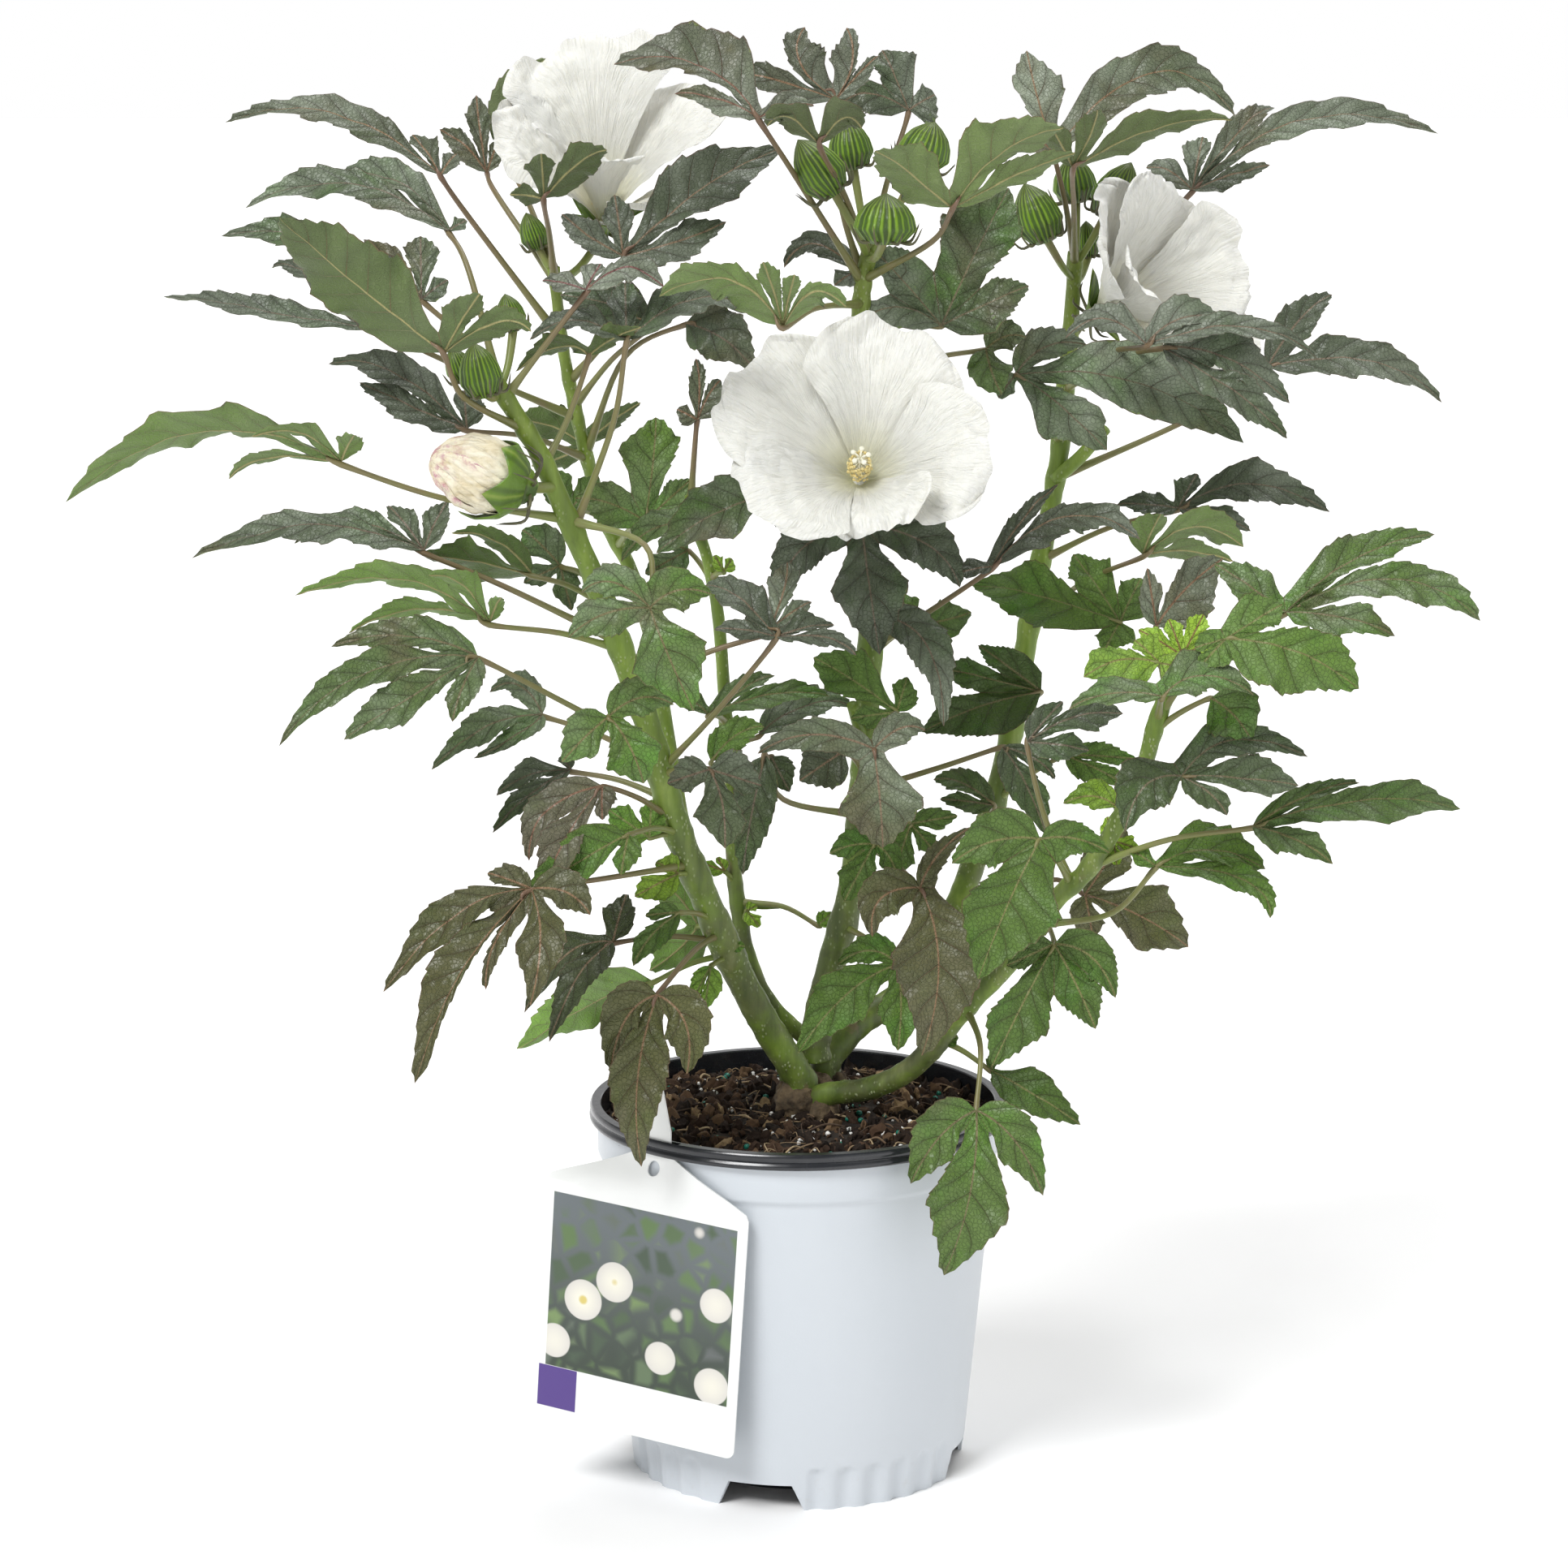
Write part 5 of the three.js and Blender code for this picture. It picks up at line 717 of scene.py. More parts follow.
# A lobe of a blade, from the clefts on its two sides, or None where it has no neighbour. Stations run
# along it from the joint, 0, to the tip, 1, and t is a station's share of the way.
class Lobe:
    def __init__(self, sheet, rib, clefts, web, rng):
        self.sheet = sheet
        self.rib = rib
        self.length = rib["length"]
        reach = max([c["reach"] for c in clefts if c], default=rib["length"] * web)
        self.first = min(max(reach / self.length, 0.14), 0.62)
        self.free, self.columns = next(grid[1:] for grid in LOBE_GRIDS if self.length >= grid[0])
        self.total = WEB_STATIONS + self.free
        pairs = min(max(round(self.length / VEIN_SPACING), FEWEST_VEINS), MOST_VEINS)
        self.veined = pairs / SIDE_VEINS
        self.stations = np.concatenate([
            self.first * np.arange(WEB_STATIONS) / WEB_STATIONS,
            np.linspace(self.first, 1, self.free + 1)])
        self.curl = TIP_CURL * (rng.random() - 0.3)
        self.middles = [rib["at"](t) for t in self.stations]
        self.spine = [0] + [self.rib_point(k) for k in range(1, self.total + 1)]

    # How far the lobe rises above the blade's plane: up from the joint, down at the tip.
    def arch(self, t):
        return (4 * t * (1 - t) * ARCH - self.curl * max(t - CURL_FROM, 0) ** 2) * self.length

    def rib_point(self, k):
        t = self.stations[k]
        ridge = BLADE_BELOW + RIB_BELOW * (1 - 0.7 * t) if k < self.total else 0
        return self.sheet.add(self.middles[k], self.arch(t) - RIB_SUNK * (k < self.total), ridge)

    # Where the lobe's edge runs at a station, and how free of the web it is there, from 0 to 1.
    def edge(self, k, sign, cleft, teeth):
        t = self.stations[k]
        middle = self.middles[k]
        across = np.cross(self.sheet.normal, self.rib["tangent"](t)) * sign
        tooth = TOOTH_SHAPE[(k - WEB_STATIONS) % TOOTH_STATIONS] * teeth[k // TOOTH_STATIONS]
        tooth *= k > WEB_STATIONS or cleft is None
        room = math.inf
        if cleft:
            room = 0.9 * np.linalg.norm(middle - self.sheet.joint) * math.sin(
                min(cleft["half"], math.pi / 2))
        width = min(lobe_width(self.rib["half"], t) * (1 - 0.4 * TOOTH_DEPTH), room)
        width += lobe_width(self.rib["half"], t) ** 0.5 * tooth * TOOTH_DEPTH * 2.4
        forward = self.rib["tangent"](t) * tooth * 0.6 * self.length * (1 - self.first) / self.free
        edge = middle + across * width + forward
        if not cleft:
            return edge, 1.0
        blend = float(smoothstep((k - WEB_STATIONS) / 4))
        if k <= WEB_STATIONS:
            return self.sheet.points[cleft["line"][k]], blend
        offset = cleft["point"] - self.middles[WEB_STATIONS]
        return lerp(middle + offset, edge, blend), blend

    # How high a point lies: t along the lobe and v across from the midrib, 0, to the edge, 1.
    def lift(self, t, v, width, blend, wave):
        vein = SIDE_VEINS * (t * self.veined - SIDE_VEIN_LEAN * v)
        quilt = (QUILT + QUILT_SHARE * width) * (abs(math.sin(math.pi * vein)) ** 0.7 - 0.6)
        lift = self.arch(t) * (1 - v * (1 - blend))
        lift += blend * (FOLD * width * v ** 1.4 + wave * v * v)
        return lift + quilt * math.sin(math.pi * min(v, 0.9) ** 0.8)

    # The point numbers and marks of one half; the sign says on which side of the midrib it lies.
    def half(self, sign, cleft, tone, rng):
        total, columns = self.total, self.columns
        phase, waves = rng.random(), 1.1 + self.length / 80 + 0.6 * rng.random()
        teeth = [0.35 + rng.random() for _ in range(total // TOOTH_STATIONS + 2)]
        index = np.zeros((total + 1, columns + 1), int)
        index[:, 0] = self.spine
        index[total] = self.spine[total]
        marks = marks_of(
            index.shape, (self.stations * self.length)[:, None], 0, np.arange(columns + 1) / columns,
            self.sheet.seed, tone, self.stations[:, None] * self.veined)
        for k in range(1, total):
            t = self.stations[k]
            edge, blend = self.edge(k, sign, cleft, teeth)
            span = edge - self.middles[k]
            width = np.linalg.norm(span)
            wave = math.sin(2 * math.pi * (waves * t + phase))
            fine = math.sin(2 * math.pi * (2.3 * waves * t + 3 * phase))
            wave = WAVE * width * (wave + FINE_WAVE * fine)
            marks[k, :, 1] = sign * width * marks[k, :, 2]
            for j in range(1, columns + 1):
                if j == columns and cleft and k <= WEB_STATIONS:
                    index[k, j] = cleft["line"][k]
                    continue
                v = j / columns
                under = 0 if j == columns else BLADE_BELOW
                lift = self.lift(t, v, width, blend, wave)
                index[k, j] = self.sheet.add(self.middles[k] + span * v, lift, under)
        return index, marks, sign


# A blade; the joint, its normal and the place on the main rib that the stalk grips come back.
def blade(skin, leaf, seed, tone, rng):
    joint = seen(leaf["joint"], leaf["deep"])
    normal = facing(leaf["faces"])
    sheet = BladePoints(joint, normal, seed)
    web = leaf.get("web", USUAL_WEB)
    ribs = [midrib(joint, normal, lobe) for lobe in leaf["lobes"]]
    turning = sum(
        angle_about(normal, a["heading"], b["heading"]) for a, b in zip(ribs, ribs[1:]))
    if turning < 0:
        ribs.reverse()
    clefts = [cleft_of(joint, normal, a, b, web) for a, b in zip(ribs, ribs[1:])]
    shares = np.arange(1, WEB_STATIONS + 1) / WEB_STATIONS
    for cleft in clefts:
        cleft["line"] = [0] + [
            sheet.add(lerp(joint, cleft["point"], s), 0, BLADE_BELOW * (s < 1)) for s in shares]
    halves = []
    widest = max(rib["half"] for rib in ribs)
    main = next(number for number, rib in enumerate(ribs) if rib["half"] == widest)
    beside = [None, *clefts, None]
    for number, rib in enumerate(ribs):
        sides = beside[number:number + 2]
        lobe = Lobe(sheet, rib, sides, web, rng)
        if number == main:
            grip = sheet.points[lobe.spine[WEB_STATIONS]]
        halves += [lobe.half(sign, cleft, tone, rng) for sign, cleft in zip((-1, 1), sides)]
    points, below = np.array(sheet.points), np.array(sheet.below)
    top = skin.add(points)
    under = skin.add(points - normal * below[:, None])
    for index, marks, sign in halves:
        skin.weave(top + index, marks, 0, flip=sign < 0)
        skin.weave(under + index, marks, 1, flip=sign > 0)
    return joint, normal, grip


# A stalk that leaves its cane, passes under the blade's joint and sinks into the main rib.
def stalk(skin, cane, leaf, joint, normal, grip, seed, tone):
    root = cane_at(cane, leaf["row"])
    middle = (root + joint) / 2
    middle[2] += STALK_RISE * np.linalg.norm(joint - root)
    via = seen(leaf["via"], middle[1]) if "via" in leaf else middle
    under = joint - normal * STALK_BELOW_BLADE
    hold = min(STALK_HOLD / max(np.linalg.norm(grip - joint), 1e-6), 0.6)
    sunk = lerp(joint, grip, hold) - normal * 0.4
    route = smooth_route([root, via, under, sunk], 7)
    share = share_of(route)
    radii = STALK_RADIUS * np.interp(share, [0, 0.34, 0.67, 1], [*STALK_TAPER, STALK_END])
    knee = STALK_KNEE * np.exp(-((share - 0.66) / 0.06) ** 2)
    radii *= 1 + knee + STALK_FOOT * np.exp(-(share / 0.1) ** 2)
    tube(skin, route, radii, 8, seed, tone)


# Canes

CANE_STEPS = 12
CANE_SIDES = 16
FOOT_SINK = 10

# How far a cane swells where a leaf stalk leaves it, as a share of its radius, and over what length.
KNOT_SWELL = 0.16
KNOT_LENGTH = 5

# The bark's bumps: their size, their height as a share of the cane's radius, and how much higher they
# stand on wood, which fades out below a height above the pot's foot.
BARK_BUMPS = ((6, 0.05, 0.07), (2.5, 0, 0.03))
WOOD_ENDS = 360
WOOD_FADES = 160


# A cane's route, from a little below the place where it is seen to leave the soil.
def cane_route(cane):
    points = [seen((px, py), depth) for px, py, depth in CANES[cane]["route"]]
    foot = points[0].copy()
    foot[2] -= FOOT_SINK
    return [foot, *points]


# How high a rough surface's bumps of a size stand at a point.
def bumps_at(point, scale, height):
    return height * noise.noise(Vector(point) / scale)


# How far along each point of a route is, from 0 to 1.
def share_of(route):
    return np.arange(len(route)) / (len(route) - 1)


# A cane, a little swollen at its leaf stalks, smooth above and rougher where it turns to wood.
def cane_tube(skin, cane, seed):
    route = smooth_route(cane_route(cane), CANE_STEPS)
    radii = lerp(*CANES[cane]["radii"], share_of(route))
    _, across, other = frames_of(route)
    knots = [cane_at(cane, leaf["row"]) for leaf in LEAVES[cane]]
    swell = np.zeros(len(route))
    for knot in knots:
        away = np.linalg.norm(route - knot, axis=1)
        swell = np.maximum(swell, np.exp(-(away / KNOT_LENGTH) ** 2))
    angles = 2 * np.pi * np.arange(CANE_SIDES) / CANE_SIDES
    shape = np.zeros((len(route), CANE_SIDES))
    for i, centre in enumerate(route):
        woody = max(0.0, 1 - (centre[2] - (WOOD_ENDS - WOOD_FADES)) / WOOD_FADES)
        for j, angle in enumerate(angles):
            at = centre + radii[i] * (across[i] * math.cos(angle) + other[i] * math.sin(angle))
            shape[i, j] = sum(
                bumps_at(at, size, green + wood * woody) for size, green, wood in BARK_BUMPS)
    shape = radii[:, None] * (1 + KNOT_SWELL * swell[:, None] + shape)
    tube(skin, route, shape, CANE_SIDES, seed, 0.5)


# Short cut or broken side shoots: the cane, both ends as pixel, pixel and depth, and the radius.
STUBS = (
    ("right", (1300, 590, 137), (1362, 528, 118), 3.6),
    ("centre", (1066, 912, 24), (1050, 868, 6), 3.2),
    ("slender", (908, 1108, 48), (960, 1116, 44), 1.8),
)


def stub(skin, start, end, radius, seed):
    points = [seen(start[:2], start[2]), seen(end[:2], end[2])]
    middle = (points[0] + points[1]) / 2 + np.array([0, 0, -2.0])
    route = smooth_route([points[0], middle, points[1]], 6)
    tube(skin, route, np.linspace(radius * 1.2, radius, len(route)), 12, seed, 0.4)


# Buds

# A bud's outline: shares of its length and of its greatest radius.
BUD_PROFILE = ((0, 0.42), (0.08, 0.68), (0.3, 1), (0.55, 0.9), (0.74, 0.7), (0.9, 0.36), (1, 0.02))
BUD_GRID = (26, 60)

# How far a bud's keels and ribs stand out, as shares of its width.
BUD_KEEL = 0.07
BUD_RIBS = 0.035
BRACTS = 9


# Two directions square to a direction and to each other.
def ring_frame(along):
    across = np.cross([0.0, 1.0, 0.0], along)
    across = unit(across) if np.linalg.norm(across) > 0.1 else np.array([1.0, 0.0, 0.0])
    return across, unit(np.cross(along, across))


# Thin curved bracts round the foot of a bud or bloom.
def bracts(skin, foot, along, inner, reach, height, seed):
    across, other = ring_frame(along)
    rng = random.Random(int(seed * 1000))
    for number in range(BRACTS):
        angle = 2 * math.pi * (number + 0.3 * rng.random()) / BRACTS
        out = across * math.cos(angle) + other * math.sin(angle)
        span = reach * (0.8 + 0.3 * rng.random())
        route = smooth_route([
            foot + out * inner, foot + out * span * 0.75 - along * height * 0.12,
            foot + out * span + along * height * (0.7 + 0.5 * rng.random())], 5)
        tube(skin, route, 1.0 * (1 - share_of(route)) ** 0.6 + 0.12, 5, seed, 0.1, finish=1)


# A closed bud: five sepals that meet in keels, with hollows beside them and fine ribs.
def bud(skin, stalks, cane, spec, seed):
    start, end = (seen(spec[key], spec["deep"]) for key in ("foot", "tip"))
    along = unit(end - start)
    length = np.linalg.norm(end - start)
    across, other = ring_frame(along)
    rows, sides = BUD_GRID
    share = np.linspace(0, 1, rows)
    width = spec["radius"] * np.interp(share, *zip(*BUD_PROFILE))
    angles = 2 * np.pi * np.arange(sides) / sides
    seam = np.abs(np.sin(2.5 * angles + 0.5))
    keel = (1 - seam) ** 5
    hollow = np.exp(-((seam - 0.35) / 0.2) ** 2)
    fold = np.sin(np.pi * np.minimum(share * 1.15, 1))[:, None] ** 0.6
    ribs = BUD_RIBS * np.cos(20 * angles + 2)
    reach = width[:, None] * (1 + fold * (BUD_KEEL * keel - BUD_KEEL * hollow + ribs)[None, :])
    out = np.cos(angles)[:, None] * across + np.sin(angles)[:, None] * other
    points = start + share[:, None, None] * length * along + reach[..., None] * out[None]
    turn = np.arange(sides + 1) / sides
    valves = np.abs(np.sin(5 * np.pi * turn + 0.5))
    marks = marks_of((rows, sides + 1), (share * length)[:, None], turn[None] * 100, valves[None],
                     seed, 0.6, share[:, None])
    skin.grid(points, marks, 0, wrap=True, flip=True)
    bracts(skin, start + along * 0.08 * length, along, 0.4 * spec["radius"],
           1.35 * spec["radius"], 0.28 * length, seed)
    root = cane_at(cane, spec["row"])
    inside = along * 0.1 * length
    route = smooth_route([root, (root + start) / 2 - inside, start + inside], 9)
    radii = STALK_RADIUS * lerp(1.05, 1.35, share_of(route) ** 2)
    tube(stalks, route, radii, 10, seed, 0.75)


# Blooms

PETAL_GRID = (46, 42)
PETAL_SWING = (43, 54)
PETAL_WIDEST_AT = 0.76
PETAL_THICKNESS = 0.45
PETAL_EDGE_WAVE = 0.018

# How high a petal's forms stand, in millimetres: the lift of one side over the next petal, waves from
# the widest to the finest, the two sizes of pleats and the middles they swing about, the puckers
# between them, and how far the rim falls back.
PETAL_OVERLAP_LIFT = 7
PETAL_RUFFLES = (2.6, 1.2, 0.3)
PETAL_PLEATS = (3.6, 1.7)
PLEAT_MIDDLES = (2.1, 1.0)
PETAL_PUCKER = 3.4
RIM_FALL = 2.4


# A bloom's axis, and a function for the direction of an angle about it, 0 upwards.
def flower_frame(bloom):
    axis = facing(bloom["faces"])
    across = unit(np.cross([0.0, 0.0, 1.0], axis))
    upward = unit(np.cross(axis, across))

    def spoke(degrees):
        angle = np.radians(np.asarray(degrees, float))[..., None]
        return upward * np.cos(angle) + across * np.sin(angle)
    return axis, spoke


# How far out and forward a curved strip lies that opens from one angle to another.
def opened(length, opening, share):
    throat, rim = (math.radians(v) for v in opening)
    bend = rim - throat
    end = throat + bend * share
    out = length * (math.cos(throat) - np.cos(end)) / bend
    forward = length * (np.sin(end) - math.sin(throat)) / bend
    return out, forward


# A petal's half width at a share of its length, as a share of its greatest half width.
def petal_half_width(share):
    inner = 0.1 + 0.9 * np.sin(np.pi / 2 * np.minimum(share / PETAL_WIDEST_AT, 1)) ** 0.85
    beyond = np.maximum(share - PETAL_WIDEST_AT, 0) / (1.06 - PETAL_WIDEST_AT)
    return np.where(share < PETAL_WIDEST_AT, inner, np.sqrt(1 - beyond ** 2))


# What a function of a share along and a place across says over a grid of them.
def over_grid(share, place, says):
    return np.array([[says(s, p) for p in place.ravel()] for s in share.ravel()])


# A petal's waves, pleats and puckers, in millimetres.
def petal_relief(share, place, turn, phases, seed):
    long, middle, fine = PETAL_RUFFLES
    ruffle = long * share ** 2 * np.cos(3 * np.pi * place + turn)
    ruffle = ruffle + middle * share ** 3 * np.sin(7 * np.pi * place + phases[2])
    ruffle = ruffle + fine * share ** 4 * np.sin(15 * np.pi * place + phases[3] + 3 * share)
    fan = place + 0.02 * np.sin(6 * share + phases[6])
    broad = 17 * fan + 0.9 * np.sin(4 * share + phases[4]) + phases[5]
    narrow = 31 * fan + 1.4 * np.sin(6 * share + phases[1])
    pleat = PETAL_PLEATS[0] * np.abs(np.sin(broad)) ** 0.7 - PLEAT_MIDDLES[0]
    pleat = pleat + PETAL_PLEATS[1] * np.abs(np.sin(narrow)) - PLEAT_MIDDLES[1]

    def puckered(s, p):
        spot = Vector((9 * s, 7 * p, 10 * seed))
        return noise.noise(spot) + 0.7 * abs(noise.noise(spot * 2.3))
    pucker = over_grid(share, place, puckered)
    return ruffle, pleat * share ** 1.2 * (1.05 - share) ** 0.4, PETAL_PUCKER * pucker * share


# A petal; the spec is its turn, its size and how much wider it opens.
def petal(skin, bloom, spec, seed):
    turn, size, lean = spec
    heart = seen(bloom["heart"], bloom["deep"])
    axis, spoke = flower_frame(bloom)
    opening = [angle + lean for angle in bloom["opening"]]
    rows, columns = PETAL_GRID
    share = np.linspace(0, 1, rows + 1)[:, None]
    place = np.linspace(0, 1, columns + 1)[None, :]
    side = 2 * place - 1
    rng = random.Random(1000 * seed)
    phases = [2 * math.pi * rng.random() for _ in range(8)]
    edge = 1 + PETAL_EDGE_WAVE * share ** 3 * (
        np.sin(4 * np.pi * place + phases[0]) + 0.35 * np.sin(9 * np.pi * place + phases[1]))
    out, forward = opened(PETAL_LENGTH * size * edge, opening, share)
    reach = PETAL_START + out
    half = PETAL_WIDTH / 2 * size * petal_half_width(share)
    swing = side * np.minimum(np.degrees(half / reach), lerp(*PETAL_SWING, share))
    ruffle, pleat, pucker = petal_relief(share, place, turn, phases, seed)
    lift = forward + bloom["spiral"] * PETAL_OVERLAP_LIFT * side * share + ruffle
    lift = lift + pleat + pucker - RIM_FALL * smoothstep(share, 0.86, 1)
    points = heart + spoke(turn + swing) * reach[..., None] + axis * lift[..., None]
    marks = marks_of(points.shape[:2], share * 100, side * half, np.abs(side), seed, 0.5, share)
    thin_sheet(skin, points, marks, PETAL_THICKNESS)


# The hub that a bloom's petals join at: how far along the axis and how wide.
HUB_SHAPE = ((-HUB_DEPTH, 0.9), (-1.0, 1), (1.0, 0.9), (HUB_TOP, 0.5))


def bloom_petals(name, bloom, materials):
    skin = Skin()
    for number, spec in enumerate(bloom["petals"]):
        petal(skin, bloom, spec, 0.11 * number + 0.07 * len(name))
    heart = seen(bloom["heart"], bloom["deep"])
    axis, _ = flower_frame(bloom)
    route = np.array([heart + axis * at for at, _ in HUB_SHAPE])
    tube(skin, route, [HUB_RADIUS * wide for _, wide in HUB_SHAPE], 20, 0.4, 0.1)
    skin.piece(f"petals_{name}", materials, "petals", f"bloom_{name}_petals")


# A ball flattened along an axis.
def ball(skin, centre, radius, seed, tone, finish, rows, sides, squash, axis):
    polar = np.linspace(0, np.pi, rows + 1)[:, None]
    angle = 2 * np.pi * np.arange(sides)[None, :] / sides
    up = unit(axis)
    across, other = ring_frame(up)
    points = centre + radius * (
        (np.sin(polar) * np.cos(angle))[..., None] * across
        + (np.sin(polar) * np.sin(angle))[..., None] * other
        + (np.cos(polar) * np.ones_like(angle))[..., None] * up * squash)
    marks = marks_of((rows + 1, sides + 1), side=0.5, seed=seed, tone=tone, share=0.5)
    skin.grid(points, marks, finish, wrap=True)


# Anthers stand from one share of the pistil's length to another, each turned on from the last.
ANTHERS = 96
ANTHERS_FROM = 0.36
ANTHERS_SPAN = 0.6
ANTHER_TURN = 137.5
PISTIL_SHOWN = 0.84
PISTIL_RADII = (2.0, 1.3)
THREAD_RADII = (0.3, 0.24, 0.2)
THREAD_LENGTH = 3.6
THREAD_SPREAD = 1.9
ANTHER_RADIUS = 0.95
ANTHER_SPREAD = 0.25
ANTHER_SQUASH = 0.7
STIGMAS = 5
STIGMA_RADIUS = 1.5
STIGMA_SQUASH = 0.75
STYLE_RADIUS = 0.55


# The column of a bloom: anthers on short threads all round it, and five stigmas at its end.
def bloom_pistil(name, bloom, materials):
    skin = Skin()
    heart = seen(bloom["heart"], bloom["deep"])
    axis, spoke = flower_frame(bloom)
    foot = HUB_TOP + GAP
    top = foot + PISTIL_SHOWN * PISTIL_LENGTH
    rng = random.Random(7)
    route = smooth_route([heart + axis * at for at in (foot, top * 0.5, top)], 6)
    tube(skin, route, np.linspace(*PISTIL_RADII, len(route)), 12, 0.2, 0.3)
    for i in range(ANTHERS):
        at = top * (ANTHERS_FROM + ANTHERS_SPAN * i / ANTHERS)
        out = spoke(ANTHER_TURN * i)
        start = heart + axis * at + out * 1.2
        long = THREAD_LENGTH + THREAD_SPREAD * rng.random()
        end = start + out * long + axis * (1.2 * rng.random() + 0.2)
        thread = np.array([start, (start + end) / 2 + axis * 0.3, end])
        tube(skin, thread, THREAD_RADII, 4, 0.5, 0.3)
        radius = ANTHER_RADIUS + ANTHER_SPREAD * rng.random()
        ball(skin, end, radius, rng.random(), 0.8, 1, 4, 7, ANTHER_SQUASH, out)
    for turn in range(0, 360, 360 // STIGMAS):
        out = spoke(turn + 10)
        route = smooth_route([heart + axis * (top - 1), heart + axis * (top + 3) + out * 1.5,
                              heart + axis * (top + 4.5) + out * 4.4], 4)
        tube(skin, route, np.full(len(route), STYLE_RADIUS), 6, 0.6, 0.2)
        ball(skin, route[-1], STIGMA_RADIUS, 0.7, 0.1, 0, 6, 10, STIGMA_SQUASH, axis)
    skin.piece(f"pistil_{name}", materials, "pistil", f"bloom_{name}_pistil")


# The green cups of the blooms and of the opening bud.
CUP_GRID = (16, 60)
CUP_THICKNESS = 0.9
SEPALS = 5
SEPAL_TURN = 360 // SEPALS
CALYX_CLEFT = 0.42
CALYX_STALK = 2.4


# A cup with five pointed sepals, from a place for each share of its length and angle round it.
def sepal_cup(skin, place_at, lengths, shortest, seed):
    rows, sides = CUP_GRID
    angle = 360 * np.arange(sides + 1)[None, :] / sides
    half = SEPAL_TURN // 2
    tipness = 1 - np.abs(((angle + half) % SEPAL_TURN) - half) / half
    longest = np.array(lengths)[(angle // SEPAL_TURN).astype(int) % SEPALS]
    reach = shortest + (longest - shortest) * np.abs(1 - tipness) ** 1.4
    share = np.linspace(0, 1, rows + 1)[:, None] * reach
    points = place_at(share, angle + 0 * share)
    side = tipness * np.ones_like(share)
    marks = marks_of(share.shape, share * 30, (angle * 0.2) + 0 * share, side, seed, 0.2, share)
    thin_sheet(skin, points, marks, CUP_THICKNESS)


# The green cup, bracts and stalk behind a bloom.
def bloom_calyx(skin, stalks, bloom, seed):
    heart = seen(bloom["heart"], bloom["deep"])
    axis, spoke = flower_frame(bloom)
    under = -HUB_DEPTH - GAP
    opening = (bloom["opening"][0] - 2, bloom["opening"][1] + 12)

    def place_at(share, angle):
        out, forward = opened(SEPAL_LENGTH, opening, share)
        reach = HUB_RADIUS + 0.8 + out
        return (heart + spoke(bloom["petals"][0][0] + angle) * reach[..., None]
                + axis * (under - 2.6 + forward)[..., None])
    sepal_cup(skin, place_at, (1,) * SEPALS, CALYX_CLEFT, seed)
    base = [heart + axis * (under - at) for at in (7, 5.4, 2.8, 1.4)]
    tube(skin, np.array(base), [CALYX_STALK, 3.6, HUB_RADIUS + 0.7, HUB_RADIUS + 0.2], 24, seed, 0.6)
    bracts(skin, heart + axis * (under - 4), axis, 2.5, 19, 4, seed)
    root = cane_at(bloom["cane"], bloom["row"])
    middle = (root + heart + axis * under) / 2 - axis * 8
    route = smooth_route([root, middle, heart + axis * (under - 5)], 10)
    tube(stalks, route, np.full(len(route), CALYX_STALK), 12, seed, 0.75)


# The bud about to open: its outline, and how far round it and with what twist each petal is rolled, in
# degrees, and how deep its creases are.
ROLLED_PROFILE = ((0, 0.3), (0.04, 0.46), (0.2, 0.84), (0.42, 1), (0.64, 0.93), (0.86, 0.58),
                  (0.95, 0.3), (1, 0.06))
ROLLED_PETALS = 5
ROLLED_GRID = (40, 44)
ROLLED_THICKNESS = 0.5
ROLLED_WRAP = 128
ROLLED_TWIST = 50
ROLLED_CREASE = 3.6
OPENING_STALK = 3.0

# How far along the bud each sepal reaches, and the clefts between them.
OPENING_SEPALS = (0.38, 0.36, 0.6, 0.4, 0.34)
OPENING_CLEFT = 0.2


# How far each point of a rolled petal stands off the bud's outline, in millimetres.
def rolled_stand_off(share, place, number):
    def creased(s, p):
        spot = Vector((2.6 * s, 11 * p, 3.0 * number))
        return abs(noise.noise(spot)) + 0.5 * abs(noise.noise(spot * 2.2))
    more = -0.6 - 2.6 * (1 - place) + 0.5 * np.sin(9 * place + 4 * share + number) * share
    more = more + 0.3 * np.sin(34 * place + 5 * np.sin(4 * share + number))
    creases = over_grid(share, place, creased)
    more = more + ROLLED_CREASE * (creases - 0.35) * np.minimum(1, 3 * share)
    return more * np.minimum(1, 6 * (1 - share) + 0.15)


